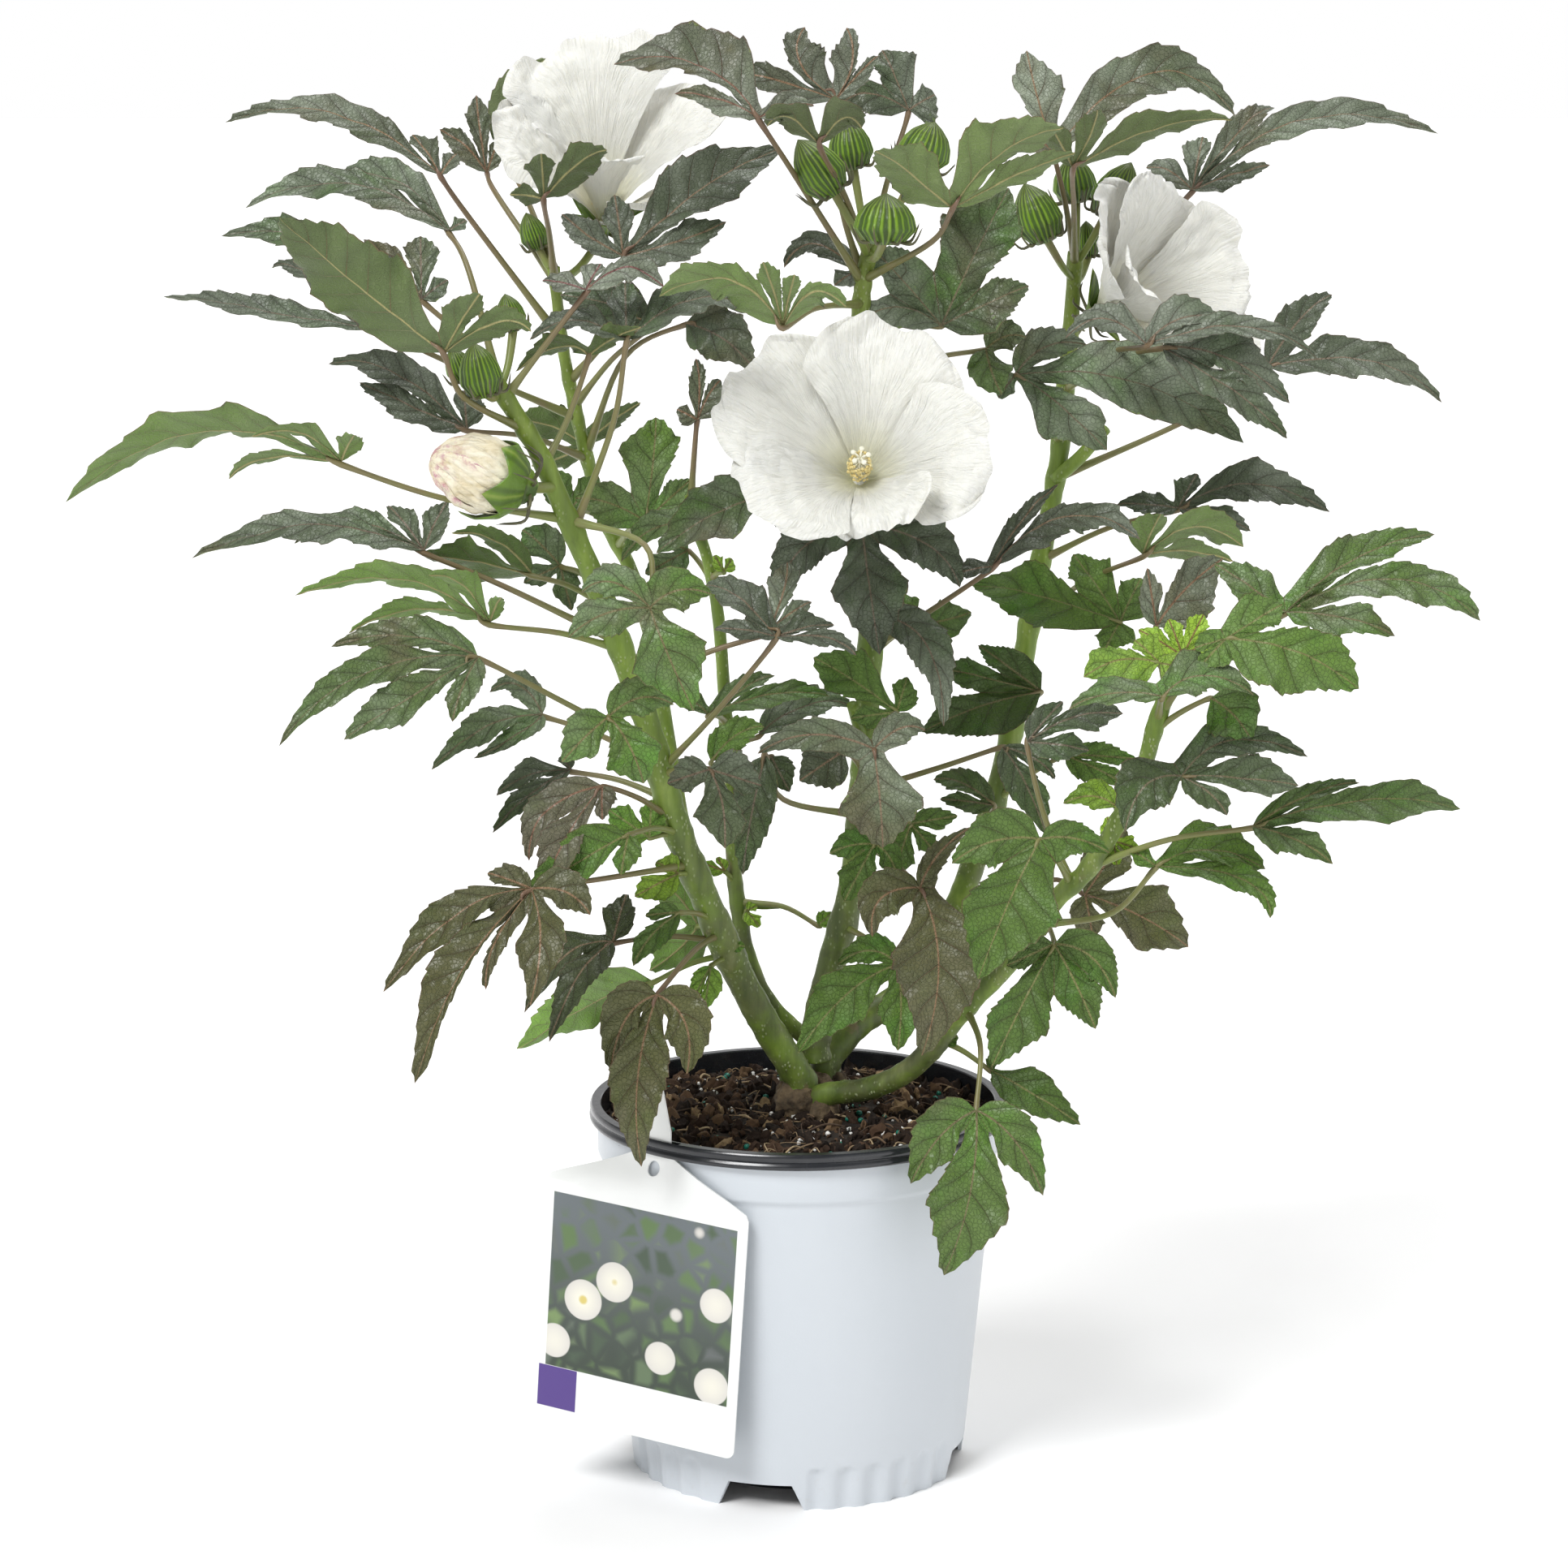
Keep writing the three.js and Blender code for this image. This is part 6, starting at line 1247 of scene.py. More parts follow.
# Five petals rolled round each other, in a green cup.
def opening_bud(petals, green, stalks):
    start, end = (seen(OPENING_BUD[key], OPENING_BUD["deep"]) for key in ("foot", "tip"))
    along = unit(end - start)
    length = np.linalg.norm(end - start)
    across, other = ring_frame(along)
    radius = OPENING_BUD["radius"]

    def place_at(share, angle, more):
        width = radius * np.interp(share, *zip(*ROLLED_PROFILE)) + more
        turn = np.radians(angle)
        return (start + (share * length)[..., None] * along
                + (width * np.cos(turn))[..., None] * across
                + (width * np.sin(turn))[..., None] * other)

    def cup_place(share, angle):
        return place_at(share, angle, np.where(share < 0.05, 0.4, 1.4))
    rows, columns = ROLLED_GRID
    share = np.linspace(0.0, 0.985, rows + 1)[:, None]
    place = np.linspace(0, 1, columns + 1)[None, :]
    for number in range(ROLLED_PETALS):
        angle = 360 / ROLLED_PETALS * number + ROLLED_WRAP * place + ROLLED_TWIST * share ** 1.5
        points = place_at(share + 0 * place, angle, rolled_stand_off(share, place, number))
        marks = marks_of(points.shape[:2], share * 100, place * 40, place, 0.2 * number, 0.9, share)
        thin_sheet(petals, points, marks, ROLLED_THICKNESS)
    sepal_cup(green, cup_place, OPENING_SEPALS, OPENING_CLEFT, 0.3)
    base = [start + along * length * at for at in (-0.1, -0.06, -0.02, 0.03)]
    tube(green, np.array(base), [OPENING_STALK, 6.0, 9.0, 10.5], 24, 0.3, 0.6)
    bracts(green, start - along * 2, along, 4, 24, 12, 0.3)
    root = cane_at(OPENING_BUD["cane"], OPENING_BUD["row"])
    route = smooth_route([root, (root + start) / 2 - along * 1.5, start - along * 0.02 * length], 8)
    tube(stalks, route, np.full(len(route), OPENING_STALK), 12, 0.3, 0.75)


# Pot, soil, crown and tag

POT_SIDES = 240
WALL_TOP_RADIUS = 113.5
SLOT_SPARE = 6
RIM_LIP = 1.5
SHARP_POT = 40

# Flutes pressed into the foot of the wall, and the turns of those at the front, in degrees; the same
# stand at the back.
FLUTE_DEPTH = 1.9
FLUTE_RADIUS = 4.8
FLUTE_TOP = 25
FLUTES = (-66, -57, -47, -38, 6, 16, 26, 36, 46, 56)


# The radius of the pot's wall at a height below the collar.
def wall_radius(height):
    return lerp(BASE_RADIUS, WALL_TOP_RADIUS, height / (POT_HEIGHT - COLLAR_DROP))


# The turns at which the foot's notches stand.
def notch_middles():
    return [FIRST_NOTCH + 360 / NOTCH_COUNT * number for number in range(NOTCH_COUNT)]


# Angles round the pot, with the corners of its notches and of the tag's slot among them.
def pot_angles():
    angles = set(np.round(np.linspace(-180, 180, POT_SIDES, endpoint=False), 4))
    half = math.degrees(NOTCH_WIDTH / 2 / BASE_RADIUS)
    slanted = math.degrees((NOTCH_WIDTH / 2 + NOTCH_SLANT) / BASE_RADIUS)
    for middle in notch_middles():
        for corner in (-slanted, -half, half, slanted):
            angles.add((middle + corner + 180) % 360 - 180)
    slot = math.degrees((TAG_NECK_WIDTH / 2 + SLOT_SPARE) / TAG_RADIUS)
    for corner in (-slot, slot):
        angles.add(TAG_SLOT_TURN + corner)
    return np.array(sorted(angles)), slot


# How high the foot's edge stands at an angle: up in the notches, down between them.
def foot_edge(angle):
    arc = np.full_like(angle, np.inf)
    for middle in notch_middles():
        turn = (angle - middle + 180) % 360 - 180
        arc = np.minimum(arc, np.abs(np.radians(turn)) * BASE_RADIUS)
    return (FOOT_HEIGHT - 1) * np.clip((NOTCH_WIDTH / 2 + NOTCH_SLANT - arc) / NOTCH_SLANT, 0, 1)


# The rim's outside, as steps in from the rim's radius and up from its lower edge.
RIM_OUTSIDE = (
    (RIM_LIP, 0), (0.6, 0.2), (0.1, 0.8), (0, 1.6), (0.2, 2.6), (1.1, 3.4), (1.3, 4.0), (0.9, 4.7),
    (0.4, 5.6), (0.3, RIM_DROP - 2.2), (0.6, RIM_DROP - 1.2), (1.1, RIM_DROP - 0.4),
    (RIM_LIP, RIM_DROP))


# The pot's outline from the middle of its floor, up its outside and down its inside, as radius,
# height and 1 where the plastic is black.
def pot_profile():
    step, top = POT_HEIGHT - COLLAR_DROP, POT_HEIGHT
    rim = top - RIM_DROP
    heights = [*np.linspace(3, 30, 19), *np.linspace(38, step - 2, 18)]
    return [
        (0, 0, 1), (BOSS_RADIUS, 0, 1), (BOSS_RADIUS + 2, FOOT_HEIGHT, 1),
        (BASE_RADIUS - WALL, FOOT_HEIGHT, 1), (BASE_RADIUS - WALL, 0, 1), (BASE_RADIUS, 0, 0),
        *((wall_radius(z), z, 0) for z in heights),
        (wall_radius(step), step, 0), (wall_radius(step) + 0.9, step + 1.2, 0),
        (COLLAR_RADIUS - 0.3, step + 2.6, 0), (COLLAR_RADIUS, step + 3.6, 0),
        (COLLAR_RADIUS, rim - 2, 0), (COLLAR_RADIUS, rim, 1),
        *((RIM_RADIUS - inward, rim + high, 1) for inward, high in RIM_OUTSIDE),
        (COLLAR_RADIUS - 0.2, top, 1), (COLLAR_RADIUS - WALL + 0.6, top, 1),
        (COLLAR_RADIUS - WALL, top - 0.7, 1), (COLLAR_RADIUS - WALL, step + 4, 1),
        (wall_radius(step) - WALL, step, 1), (BASE_RADIUS - WALL, FOOT_HEIGHT + WALL, 1),
        (BOSS_RADIUS, FOOT_HEIGHT + WALL, 1), (BOSS_RADIUS - WALL, WALL, 1), (0, WALL, 1),
    ]


# The outline turned round the pot, with the foot's notches cut and the wall's flutes pressed in.
def pot_points(profile, angles):
    turn = np.radians(angles)
    radius = np.repeat(profile[:, :1], len(angles), axis=1)
    height = np.repeat(profile[:, 1:2], len(angles), axis=1)
    foot = (profile[:, 0] >= BASE_RADIUS - WALL - 0.1) & (profile[:, 1] < FOOT_HEIGHT - 1)
    foot &= np.arange(len(profile)) < len(profile) // 2
    height[foot] = np.maximum(height[foot], foot_edge(angles)[None] + 0.02 * profile[foot, 1:2])
    outside = profile[:, 2] == 0
    groove = np.zeros(height.shape)
    above = np.maximum(height - (FLUTE_TOP - FLUTE_RADIUS), 0)
    for flute in [*FLUTES, *(180 + f for f in FLUTES)]:
        arc = np.radians((angles - flute + 180) % 360 - 180) * BASE_RADIUS
        far = np.hypot(arc[None], above) / FLUTE_RADIUS
        groove = np.maximum(groove, np.sqrt(np.maximum(1 - far ** 2, 0)))
    radius[outside] -= (FLUTE_DEPTH * groove)[outside]
    return np.stack([radius * np.sin(turn), -radius * np.cos(turn), height], axis=-1)


# The pot, open between the rim's lower and upper edges where the tag's tongue passes.
def pot_piece(materials):
    angles, slot = pot_angles()
    profile = np.array(pot_profile())
    count = len(angles)
    skin = Skin()
    start = skin.add(pot_points(profile, angles))
    number = start + np.arange(len(profile) * count).reshape(-1, count)
    number = np.hstack([number, number[:, :1]])
    mark = marks_of((1, 4), seed=0.3, tone=0.5)

    def face(spots, finish):
        skin.join([[number[spot] for spot in spots]], mark, finish)
    # The middle of each strip of the pot; the last strip is at the back.
    middles = (angles + np.roll(angles, -1)) / 2
    middles[-1] = 180
    in_slot = np.abs(middles - TAG_SLOT_TURN) < slot
    below = next(
        i for i, (_, z, black) in enumerate(profile) if z == POT_HEIGHT - RIM_DROP and black)
    lip = below + 1
    outer = next(
        i for i, (r, z, _) in enumerate(profile) if r == RIM_RADIUS - RIM_LIP and z == POT_HEIGHT)
    inner = outer + 1
    for i in range(len(profile) - 1):
        black = int(profile[i, 2] and profile[i + 1, 2])
        for j in np.flatnonzero(~in_slot) if i in (below, outer) else range(count):
            face(((i, j), (i, j + 1), (i + 1, j + 1), (i + 1, j)), black)
    for j in np.flatnonzero(in_slot):
        for low, high in ((lip, outer), (inner, below)):
            face(((low, j), (high, j), (high, j + 1), (low, j + 1)), 1)
    for j in (np.flatnonzero(in_slot)[0], np.flatnonzero(in_slot)[-1] + 1):
        face([(k, j) for k in (below, lip, outer, inner)], 1)
    crease(skin.piece("pot_shell", materials, "pot_plastic", "pot"), SHARP_POT)


# Sharp shading where two faces meet at more than an angle.
def crease(made, degrees):
    with bpy.context.temp_override(object=made, active_object=made, selected_objects=[made],
                                   selected_editable_objects=[made]):
        bpy.ops.object.shade_smooth_by_angle(angle=math.radians(degrees))


# The soil's gently mounded surface.
def soil_height(x, y):
    spread = np.hypot(x, y) / RIM_RADIUS
    lumps = np.sin(x / 11) * np.cos(y / 9) + 0.6 * np.sin((x + y) / 6)
    return POT_HEIGHT - SOIL_BELOW_RIM + SOIL_MOUND * (1 - spread * spread) + lumps


# Rings and sides of the soil, and its roughness: height and size in millimetres, and a layer of noise.
SOIL_GRID = (64, 200)
SOIL_ROUGHNESS = ((1.7, 7, 0.3), (1.1, 2.6, 2.1))

# How many pieces of each kind lie on the soil, and how far out.
CHIPS = 1450
CHIP_REACH = 111
FIBRES = 260
FIBRE_REACH = 104
PERLITE = 190
PERLITE_REACH = 108
BEADS = 60
BEAD_REACH = 106


def soil_roughness(x, y):
    return sum(height * noise.noise(Vector((x / size, y / size, layer)))
               for height, size, layer in SOIL_ROUGHNESS)


def soil_piece(materials):
    rings, sides = SOIL_GRID
    outer = COLLAR_RADIUS - WALL - GAP
    angle = 2 * np.pi * np.arange(sides) / sides
    rows = []
    for r in outer * np.linspace(0, 1, rings):
        x, y = r * np.cos(angle), r * np.sin(angle)
        rough = np.array([soil_roughness(*at) for at in zip(x, y)])
        z = soil_height(x, y) + rough * min(1, (outer - r) / 4 + 0.2)
        rows.append(np.stack([x, y, z], axis=1))
    for r, z in ((outer, POT_HEIGHT - COLLAR_DROP + 6), (wall_radius(60) - WALL - 1.2, 60),
                 (BASE_RADIUS - WALL - 1.5, FOOT_HEIGHT + WALL + 1), (0, FOOT_HEIGHT + WALL + 1)):
        rows.append(np.stack([r * np.cos(angle), r * np.sin(angle), np.full(sides, z)], axis=1))
    skin = Skin()
    marks = marks_of((len(rows), sides + 1), seed=0.5, tone=0.5)
    skin.grid(np.array(rows), marks, 0, wrap=True)
    skin.piece("soil_mass", materials, "soil", "soil")


# Corners and faces of a rounded lump, made once.
@cache
def lump_shape():
    mesh = bpy.data.meshes.new("lump_shape")
    shape = bmesh.new()
    bmesh.ops.create_icosphere(shape, subdivisions=2, radius=1)
    shape.to_mesh(mesh)
    shape.free()
    points = np.array([v.co[:] for v in mesh.vertices])
    faces = np.array([[*p.vertices, p.vertices[0]] for p in mesh.polygons])
    bpy.data.meshes.remove(mesh)
    return points, faces


# A lump with a size for each of its three axes, turned at random, with bumps a share of that high.
def lump(skin, centre, size, rng, bumps, seed, tone):
    points, faces = lump_shape()
    turn = Vector([rng.gauss(0, 1) for _ in range(3)]).normalized()
    matrix = np.array(turn.to_track_quat("Z", "Y").to_matrix())
    shift = Vector([50 * rng.random() for _ in range(3)])
    shaped = np.array([p * (1 + bumps * noise.noise(Vector(p) * 1.6 + shift)) for p in points])
    start = skin.add((shaped * size) @ matrix.T + centre)
    skin.join(start + faces, marks_of((len(faces), 4), seed=seed, tone=tone))


# A random place on the soil.
def scattered(rng, most):
    reach, angle = most * math.sqrt(rng.random()), 2 * math.pi * rng.random()
    x, y = reach * math.cos(angle), reach * math.sin(angle)
    return np.array([x, y, float(soil_height(x, y))])


def chip(skin, rng):
    at = scattered(rng, CHIP_REACH)
    long = 1.6 + 5.5 * rng.random() ** 2.4
    size = np.array([0.3 + 0.25 * rng.random(), 0.45 + 0.4 * rng.random(), 1]) * long
    lump(skin, at + [0, 0, 0.3 * long * rng.random()], size, rng, 0.7, rng.random(), rng.random())


def fibre(skin, rng):
    at = scattered(rng, FIBRE_REACH)
    angle, long = 2 * math.pi * rng.random(), 6 + 24 * rng.random() ** 2
    step = np.array([math.cos(angle), math.sin(angle), 0]) * long / 2
    bend = np.array([-math.sin(angle), math.cos(angle), 0]) * long * rng.uniform(-0.25, 0.25)
    lift = 1.5 + 2.5 * rng.random()
    start = at - step + [0, 0, lift * rng.random()]
    end = at + step + [0, 0, lift * rng.random()]
    route = smooth_route([start, at + bend + [0, 0, lift + 1], end], 5)
    if (np.hypot(route[:, 0], route[:, 1]) < CHIP_REACH).all():
        thick = 0.25 + 0.45 * rng.random() ** 2
        tube(skin, route, np.full(len(route), thick), 5, rng.random(), rng.random())


def grain(skin, rng):
    at = scattered(rng, PERLITE_REACH)
    size = np.full(3, 0.7 + 1.3 * rng.random() ** 1.5)
    lump(skin, at + [0, 0, 1.0], size, rng, 0.5, rng.random(), rng.random())


def feed_bead(skin, rng):
    at = scattered(rng, BEAD_REACH)
    lump(skin, at + [0, 0, 1.4], np.full(3, 1.5 + 0.5 * rng.random()), rng, 0.06, rng.random(), 0.5)


# What lies on the soil, a piece for each kind; chips have flat faces.
def soil_litter(chip_bark, fibre_bark, perlite, bead):
    rng = random.Random(11)
    for name, count, make, material in (
            ("bark_chips", CHIPS, chip, chip_bark), ("bark_fibres", FIBRES, fibre, fibre_bark),
            ("perlite", PERLITE, grain, perlite), ("feed_beads", BEADS, feed_bead, bead)):
        skin = Skin()
        for _ in range(count):
            make(skin, rng)
        skin.piece(name, [material], "soil", smooth=name != "bark_chips")


# The woody crown: how much thicker than a cane the lump at its foot is, and the bumps' size, in
# millimetres, and height, as a share of the lump's radius.
CROWN_GRID = (40, 60)
FOOT_LUMP = 1.45
CROWN_BUMPS = ((9, 0.2), (3.5, 0.13))


def crown_lump(skin, centre, radius):
    rows, sides = CROWN_GRID
    polar = np.linspace(0, np.pi, rows + 1)[:, None]
    angle = 2 * np.pi * np.arange(sides)[None, :] / sides
    out = np.stack([np.sin(polar) * np.cos(angle), np.sin(polar) * np.sin(angle),
                    np.cos(polar) + 0 * angle], axis=-1)
    bumps = np.array([[sum(bumps_at(centre + radius * p, *bump) for bump in CROWN_BUMPS) for p in row]
                      for row in out])
    points = centre + out * (radius * (0.97 + bumps))[..., None]
    skin.grid(points, marks_of((rows + 1, sides + 1), seed=0.4, tone=0.4), 0, wrap=True)


# A rough lump in the middle and one at the foot of each cane.
def crown_piece(materials):
    skin = Skin()
    crown_lump(skin, np.array(CROWN_HEART, float), CROWN_RADIUS)
    for cane, spec in CANES.items():
        place = cane_route(cane)[0].copy()
        place[2] = min(place[2], POT_HEIGHT)
        crown_lump(skin, place, spec["radii"][0] * FOOT_LUMP)
    skin.piece("crown_wood", materials, "root_wood", "root_crown")


# Heights on the tag are measured from the top of its bend, where it passes the rim's slot.
TONGUE_STRAIGHT = 14
TONGUE_TIP_HALF = 4


# The tag's half width at a height on it.
def tag_half(y):
    half, neck = TAG_WIDTH / 2, TAG_NECK_WIDTH / 2
    if y <= TAG_SHOULDER:
        return half
    if y <= 0:
        return lerp(neck, half, y / TAG_SHOULDER)
    if y <= TONGUE_STRAIGHT:
        return neck
    narrowing = (y - TONGUE_STRAIGHT) / (TAG_TONGUE_HEIGHT - TONGUE_STRAIGHT)
    return lerp(neck, TONGUE_TIP_HALF, narrowing)


# Where a point of the flat tag stands: the card hangs a little rolled and turned, the neck twists
# into the slot, and z goes through the thickness.
def tag_place(x, y, z):
    twist = float(smoothstep(y, TAG_SHOULDER, TAG_BEND_TOP))
    roll = math.radians(TAG_ROLL) * (1 - twist)
    x, y = x * math.cos(roll) - y * math.sin(roll), x * math.sin(roll) + y * math.cos(roll)
    twist = float(smoothstep(y, TAG_SHOULDER, TAG_BEND_TOP))
    turn, slot = math.radians(lerp(TAG_TURN, TAG_SLOT_TURN, twist)), math.radians(TAG_SLOT_TURN)
    reach = TAG_RADIUS + TAG_STAND_OFF * (1 - twist)
    return (reach * math.sin(slot) + x * math.cos(turn) + z * math.sin(turn),
            -reach * math.cos(slot) + x * math.sin(turn) - z * math.cos(turn),
            POT_HEIGHT - TAG_NECK_BELOW_RIM + y)


# The tag's rounded corners and hole, and how far apart across and up the points of its mesh lie.
TAG_CORNER = 5
TAG_HOLE_HEIGHT = -9
TAG_MESH = (5.0, 4.0)
MESH_MARGIN = 2
SHARP_TAG = 30


# The tag's outline: up its right side from the lower corner, then the same mirrored on its left.
def tag_outline():
    bottom = TAG_SHOULDER - TAG_HEIGHT
    half = TAG_WIDTH / 2
    right = []
    for angle in np.radians(range(-90, 1, 15)):
        right.append((half - TAG_CORNER + TAG_CORNER * math.cos(angle),
                      bottom + TAG_CORNER + TAG_CORNER * math.sin(angle)))
    right += [(half, y) for y in np.linspace(bottom + 14, TAG_SHOULDER - 10, 12)]
    right += [(half, TAG_SHOULDER - 2.5), (half - 1.6, TAG_SHOULDER + 0.8)]
    right += [(tag_half(y), y) for y in np.linspace(TAG_SHOULDER + 4, -1, 8)]
    right += [(TAG_NECK_WIDTH / 2, y) for y in (1.5, 5, 9, TONGUE_STRAIGHT)]
    right += [(tag_half(y), y) for y in np.linspace(20, TAG_TONGUE_HEIGHT - 3, 6)]
    right += [(2.5, TAG_TONGUE_HEIGHT)]
    return right + [(-x, y) for x, y in reversed(right)]


# How far a point lies from the middle of the tag's hole.
def from_hole(x, y):
    return math.hypot(x, y - TAG_HOLE_HEIGHT)


# Points of an even mesh inside the tag's outline and off its hole.
def tag_inside():
    across, upward = TAG_MESH
    inside = []
    for y in np.arange(TAG_SHOULDER - TAG_HEIGHT + 4, TAG_TONGUE_HEIGHT - 4, upward):
        for x in np.arange(-60, 61, across):
            if abs(x) < tag_half(y) - MESH_MARGIN and from_hole(x, y) > TAG_HOLE_RADIUS + 1.6:
                inside.append((x, y))
    return inside


# The edges of a closed loop of points, as pairs of their numbers.
def closed_loop(first, count):
    return [(first + i, first + (i + 1) % count) for i in range(count)]


def tag_piece(materials):
    outline = tag_outline()
    hole = [(TAG_HOLE_RADIUS * math.cos(a), TAG_HOLE_HEIGHT + TAG_HOLE_RADIUS * math.sin(a))
            for a in np.radians(np.arange(0, 360, 15))]
    corners = [Vector(p) for p in (*outline, *hole, *tag_inside())]
    edges = closed_loop(0, len(outline)) + closed_loop(len(outline), len(hole))
    flat, _, triangles, *_ = delaunay_2d_cdt(corners, edges, [], 1, 1e-5)
    faces = []
    for face in triangles:
        x, y = (sum(flat[i][k] for i in face) / 3 for k in (0, 1))
        if from_hole(x, y) > TAG_HOLE_RADIUS - 0.05:
            faces.append([*face, face[0]])
    faces = np.array(faces)
    turned = faces[:, [2, 1, 0, 2]]
    skin = Skin()
    front, back = (skin.add([tag_place(*p, z) for p in flat])
                   for z in (TAG_THICKNESS / 2, -TAG_THICKNESS / 2))
    known = np.array([[*p, 0, 0.5, 0.5, 0] for p in flat])
    skin.join(front + faces, known[faces], 0)
    skin.join(back + turned, known[turned], 1)
    for i, j in edges:
        skin.join([[front + i, back + i, back + j, front + j]], known[[[i, i, j, j]]], 1)
    crease(skin.piece("tag_card", materials, "tag_plastic", "tag"), SHARP_TAG)


# Materials

# A material under way. Its methods add nodes and give back the socket with their result.
class Recipe:
    def __init__(self, name):
        self.material = bpy.data.materials.new(name)
        self.material.use_nodes = True
        self.tree = self.material.node_tree
        self.tree.nodes.clear()
        out = self.tree.nodes.new("ShaderNodeOutputMaterial")
        self.surface = self.tree.nodes.new("ShaderNodeBsdfPrincipled")
        self.tree.links.new(self.surface.outputs[0], out.inputs[0])
        self.where = self.put("ShaderNodeTexCoord").outputs["Object"]

    def feed(self, socket, value):
        if isinstance(value, bpy.types.NodeSocket):
            self.tree.links.new(value, socket)
        elif isinstance(value, tuple) and len(value) == 3 and socket.type == "RGBA":
            socket.default_value = (*value, 1)
        else:
            socket.default_value = value

    def put(self, kind, inputs=None, **settings):
        node = self.tree.nodes.new(kind)
        for key, value in settings.items():
            setattr(node, key, value)
        for key, value in (inputs or {}).items():
            self.feed(node.inputs[key], value)
        return node

    # The finished material, from the surface's inputs in small letters.
    def finish(self, **values):
        for key, value in values.items():
            title = key.replace("_", " ").title().replace("Ior", "IOR")
            self.feed(self.surface.inputs[title], value)
        return self.material

    def math(self, operation, *values):
        return self.put("ShaderNodeMath", dict(enumerate(values)), operation=operation).outputs[0]

    def times(self, first, second):
        return self.math("MULTIPLY", first, second)

    def plus(self, first, second):
        return self.math("ADD", first, second)

    def minus(self, first, second):
        return self.math("SUBTRACT", first, second)

    # One minus a value.
    def rest(self, value):
        return self.minus(1.0, value)

    # A value times a factor, plus an offset.
    def line(self, value, factor, offset):
        return self.math("MULTIPLY_ADD", value, factor, offset)

    # A smooth step from one value at low to another at high.
    def scaled(self, value, low, high, to_low=0.0, to_high=1.0):
        return self.put("ShaderNodeMapRange", {
            "Value": value, "From Min": low, "From Max": high, "To Min": to_low, "To Max": to_high,
        }, interpolation_type="SMOOTHSTEP").outputs[0]

    def mix(self, share, first, second):
        node = self.put("ShaderNodeMix", data_type="RGBA", clamp_factor=True)
        self.feed(node.inputs[0], share)
        self.feed(node.inputs[6], first)
        self.feed(node.inputs[7], second)
        return node.outputs[2]

    # Colours between stops, each a share from 0 to 1 and its colour.
    def ramp(self, share, *stops):
        node = self.put("ShaderNodeValToRGB", {0: share})
        band = node.color_ramp
        while len(band.elements) < len(stops):
            band.elements.new(0.5)
        for element, (at, colour) in zip(band.elements, stops):
            element.position = at
            element.color = (*colour, 1)
        return node.outputs[0]

    def noise(self, scale, detail=3.0, rough=0.5, where=None):
        return self.put("ShaderNodeTexNoise", {
            "Vector": where or self.where, "Scale": scale, "Detail": detail, "Roughness": rough,
        }).outputs[0]

    # Cells: the distance to a cell's middle or edge, output 0, or a colour of its own, output 1.
    def cells(self, scale, feature="F1", where=None, out=0):
        return self.put("ShaderNodeTexVoronoi", {"Vector": where or self.where, "Scale": scale},
                        feature=feature).outputs[out]

    # One of the three channels of a cell's own colour.
    def cell_channel(self, scale, where, channel):
        colour = self.cells(scale, "F1", where, out=1)
        return self.put("ShaderNodeSeparateColor", {0: colour}).outputs[channel]

    def apart(self, vector):
        return self.put("ShaderNodeSeparateXYZ", {0: vector}).outputs

    def point(self, x, y, z):
        return self.put("ShaderNodeCombineXYZ", {0: x, 1: y, 2: z}).outputs[0]

    def height(self):
        return self.apart(self.where)[2]

    # What a surface knows of its place: along, across and side.
    def place(self):
        return self.apart(self.put("ShaderNodeAttribute", attribute_name="place").outputs["Vector"])

    # What a surface knows of its kind: seed, tone and share.
    def kind(self):
        return self.apart(self.put("ShaderNodeAttribute", attribute_name="kind").outputs["Vector"])

    def lit(self, colour, value):
        return self.put("ShaderNodeHueSaturation", {"Color": colour, "Value": value}).outputs[0]

    def stretched(self, x, y, z):
        return self.put("ShaderNodeMapping", {"Vector": self.where, "Scale": (x, y, z)}).outputs[0]

    def bump(self, height, distance, strength):
        return self.put("ShaderNodeBump", {
            "Height": height, "Distance": distance, "Strength": strength}).outputs[0]


# Thin lines along the side veins and the midrib of a lobe, the bulges between them, and a fine net.
def veins(r, across, side, share):
    lean = r.line(side, -SIDE_VEIN_LEAN, share)
    phase = r.math("FRACT", r.times(lean, SIDE_VEINS))
    away = r.math("ABSOLUTE", r.minus(phase, 0.5))
    width = r.line(side, 0.02, 0.468)
    side_vein = r.times(r.scaled(away, width, 0.5), r.line(side, -0.7, 1.0))
    span = r.math("DIVIDE", r.math("ABSOLUTE", across), r.line(share, -0.6, 1.0))
    middle = r.rest(r.scaled(span, 0.3, 0.95))
    bulge = r.rest(r.math("POWER", r.times(away, 2.0), 2.5))
    net = r.rest(r.scaled(r.cells(420.0, "DISTANCE_TO_EDGE"), 0.02, 0.12))
    return side_vein, middle, bulge, net


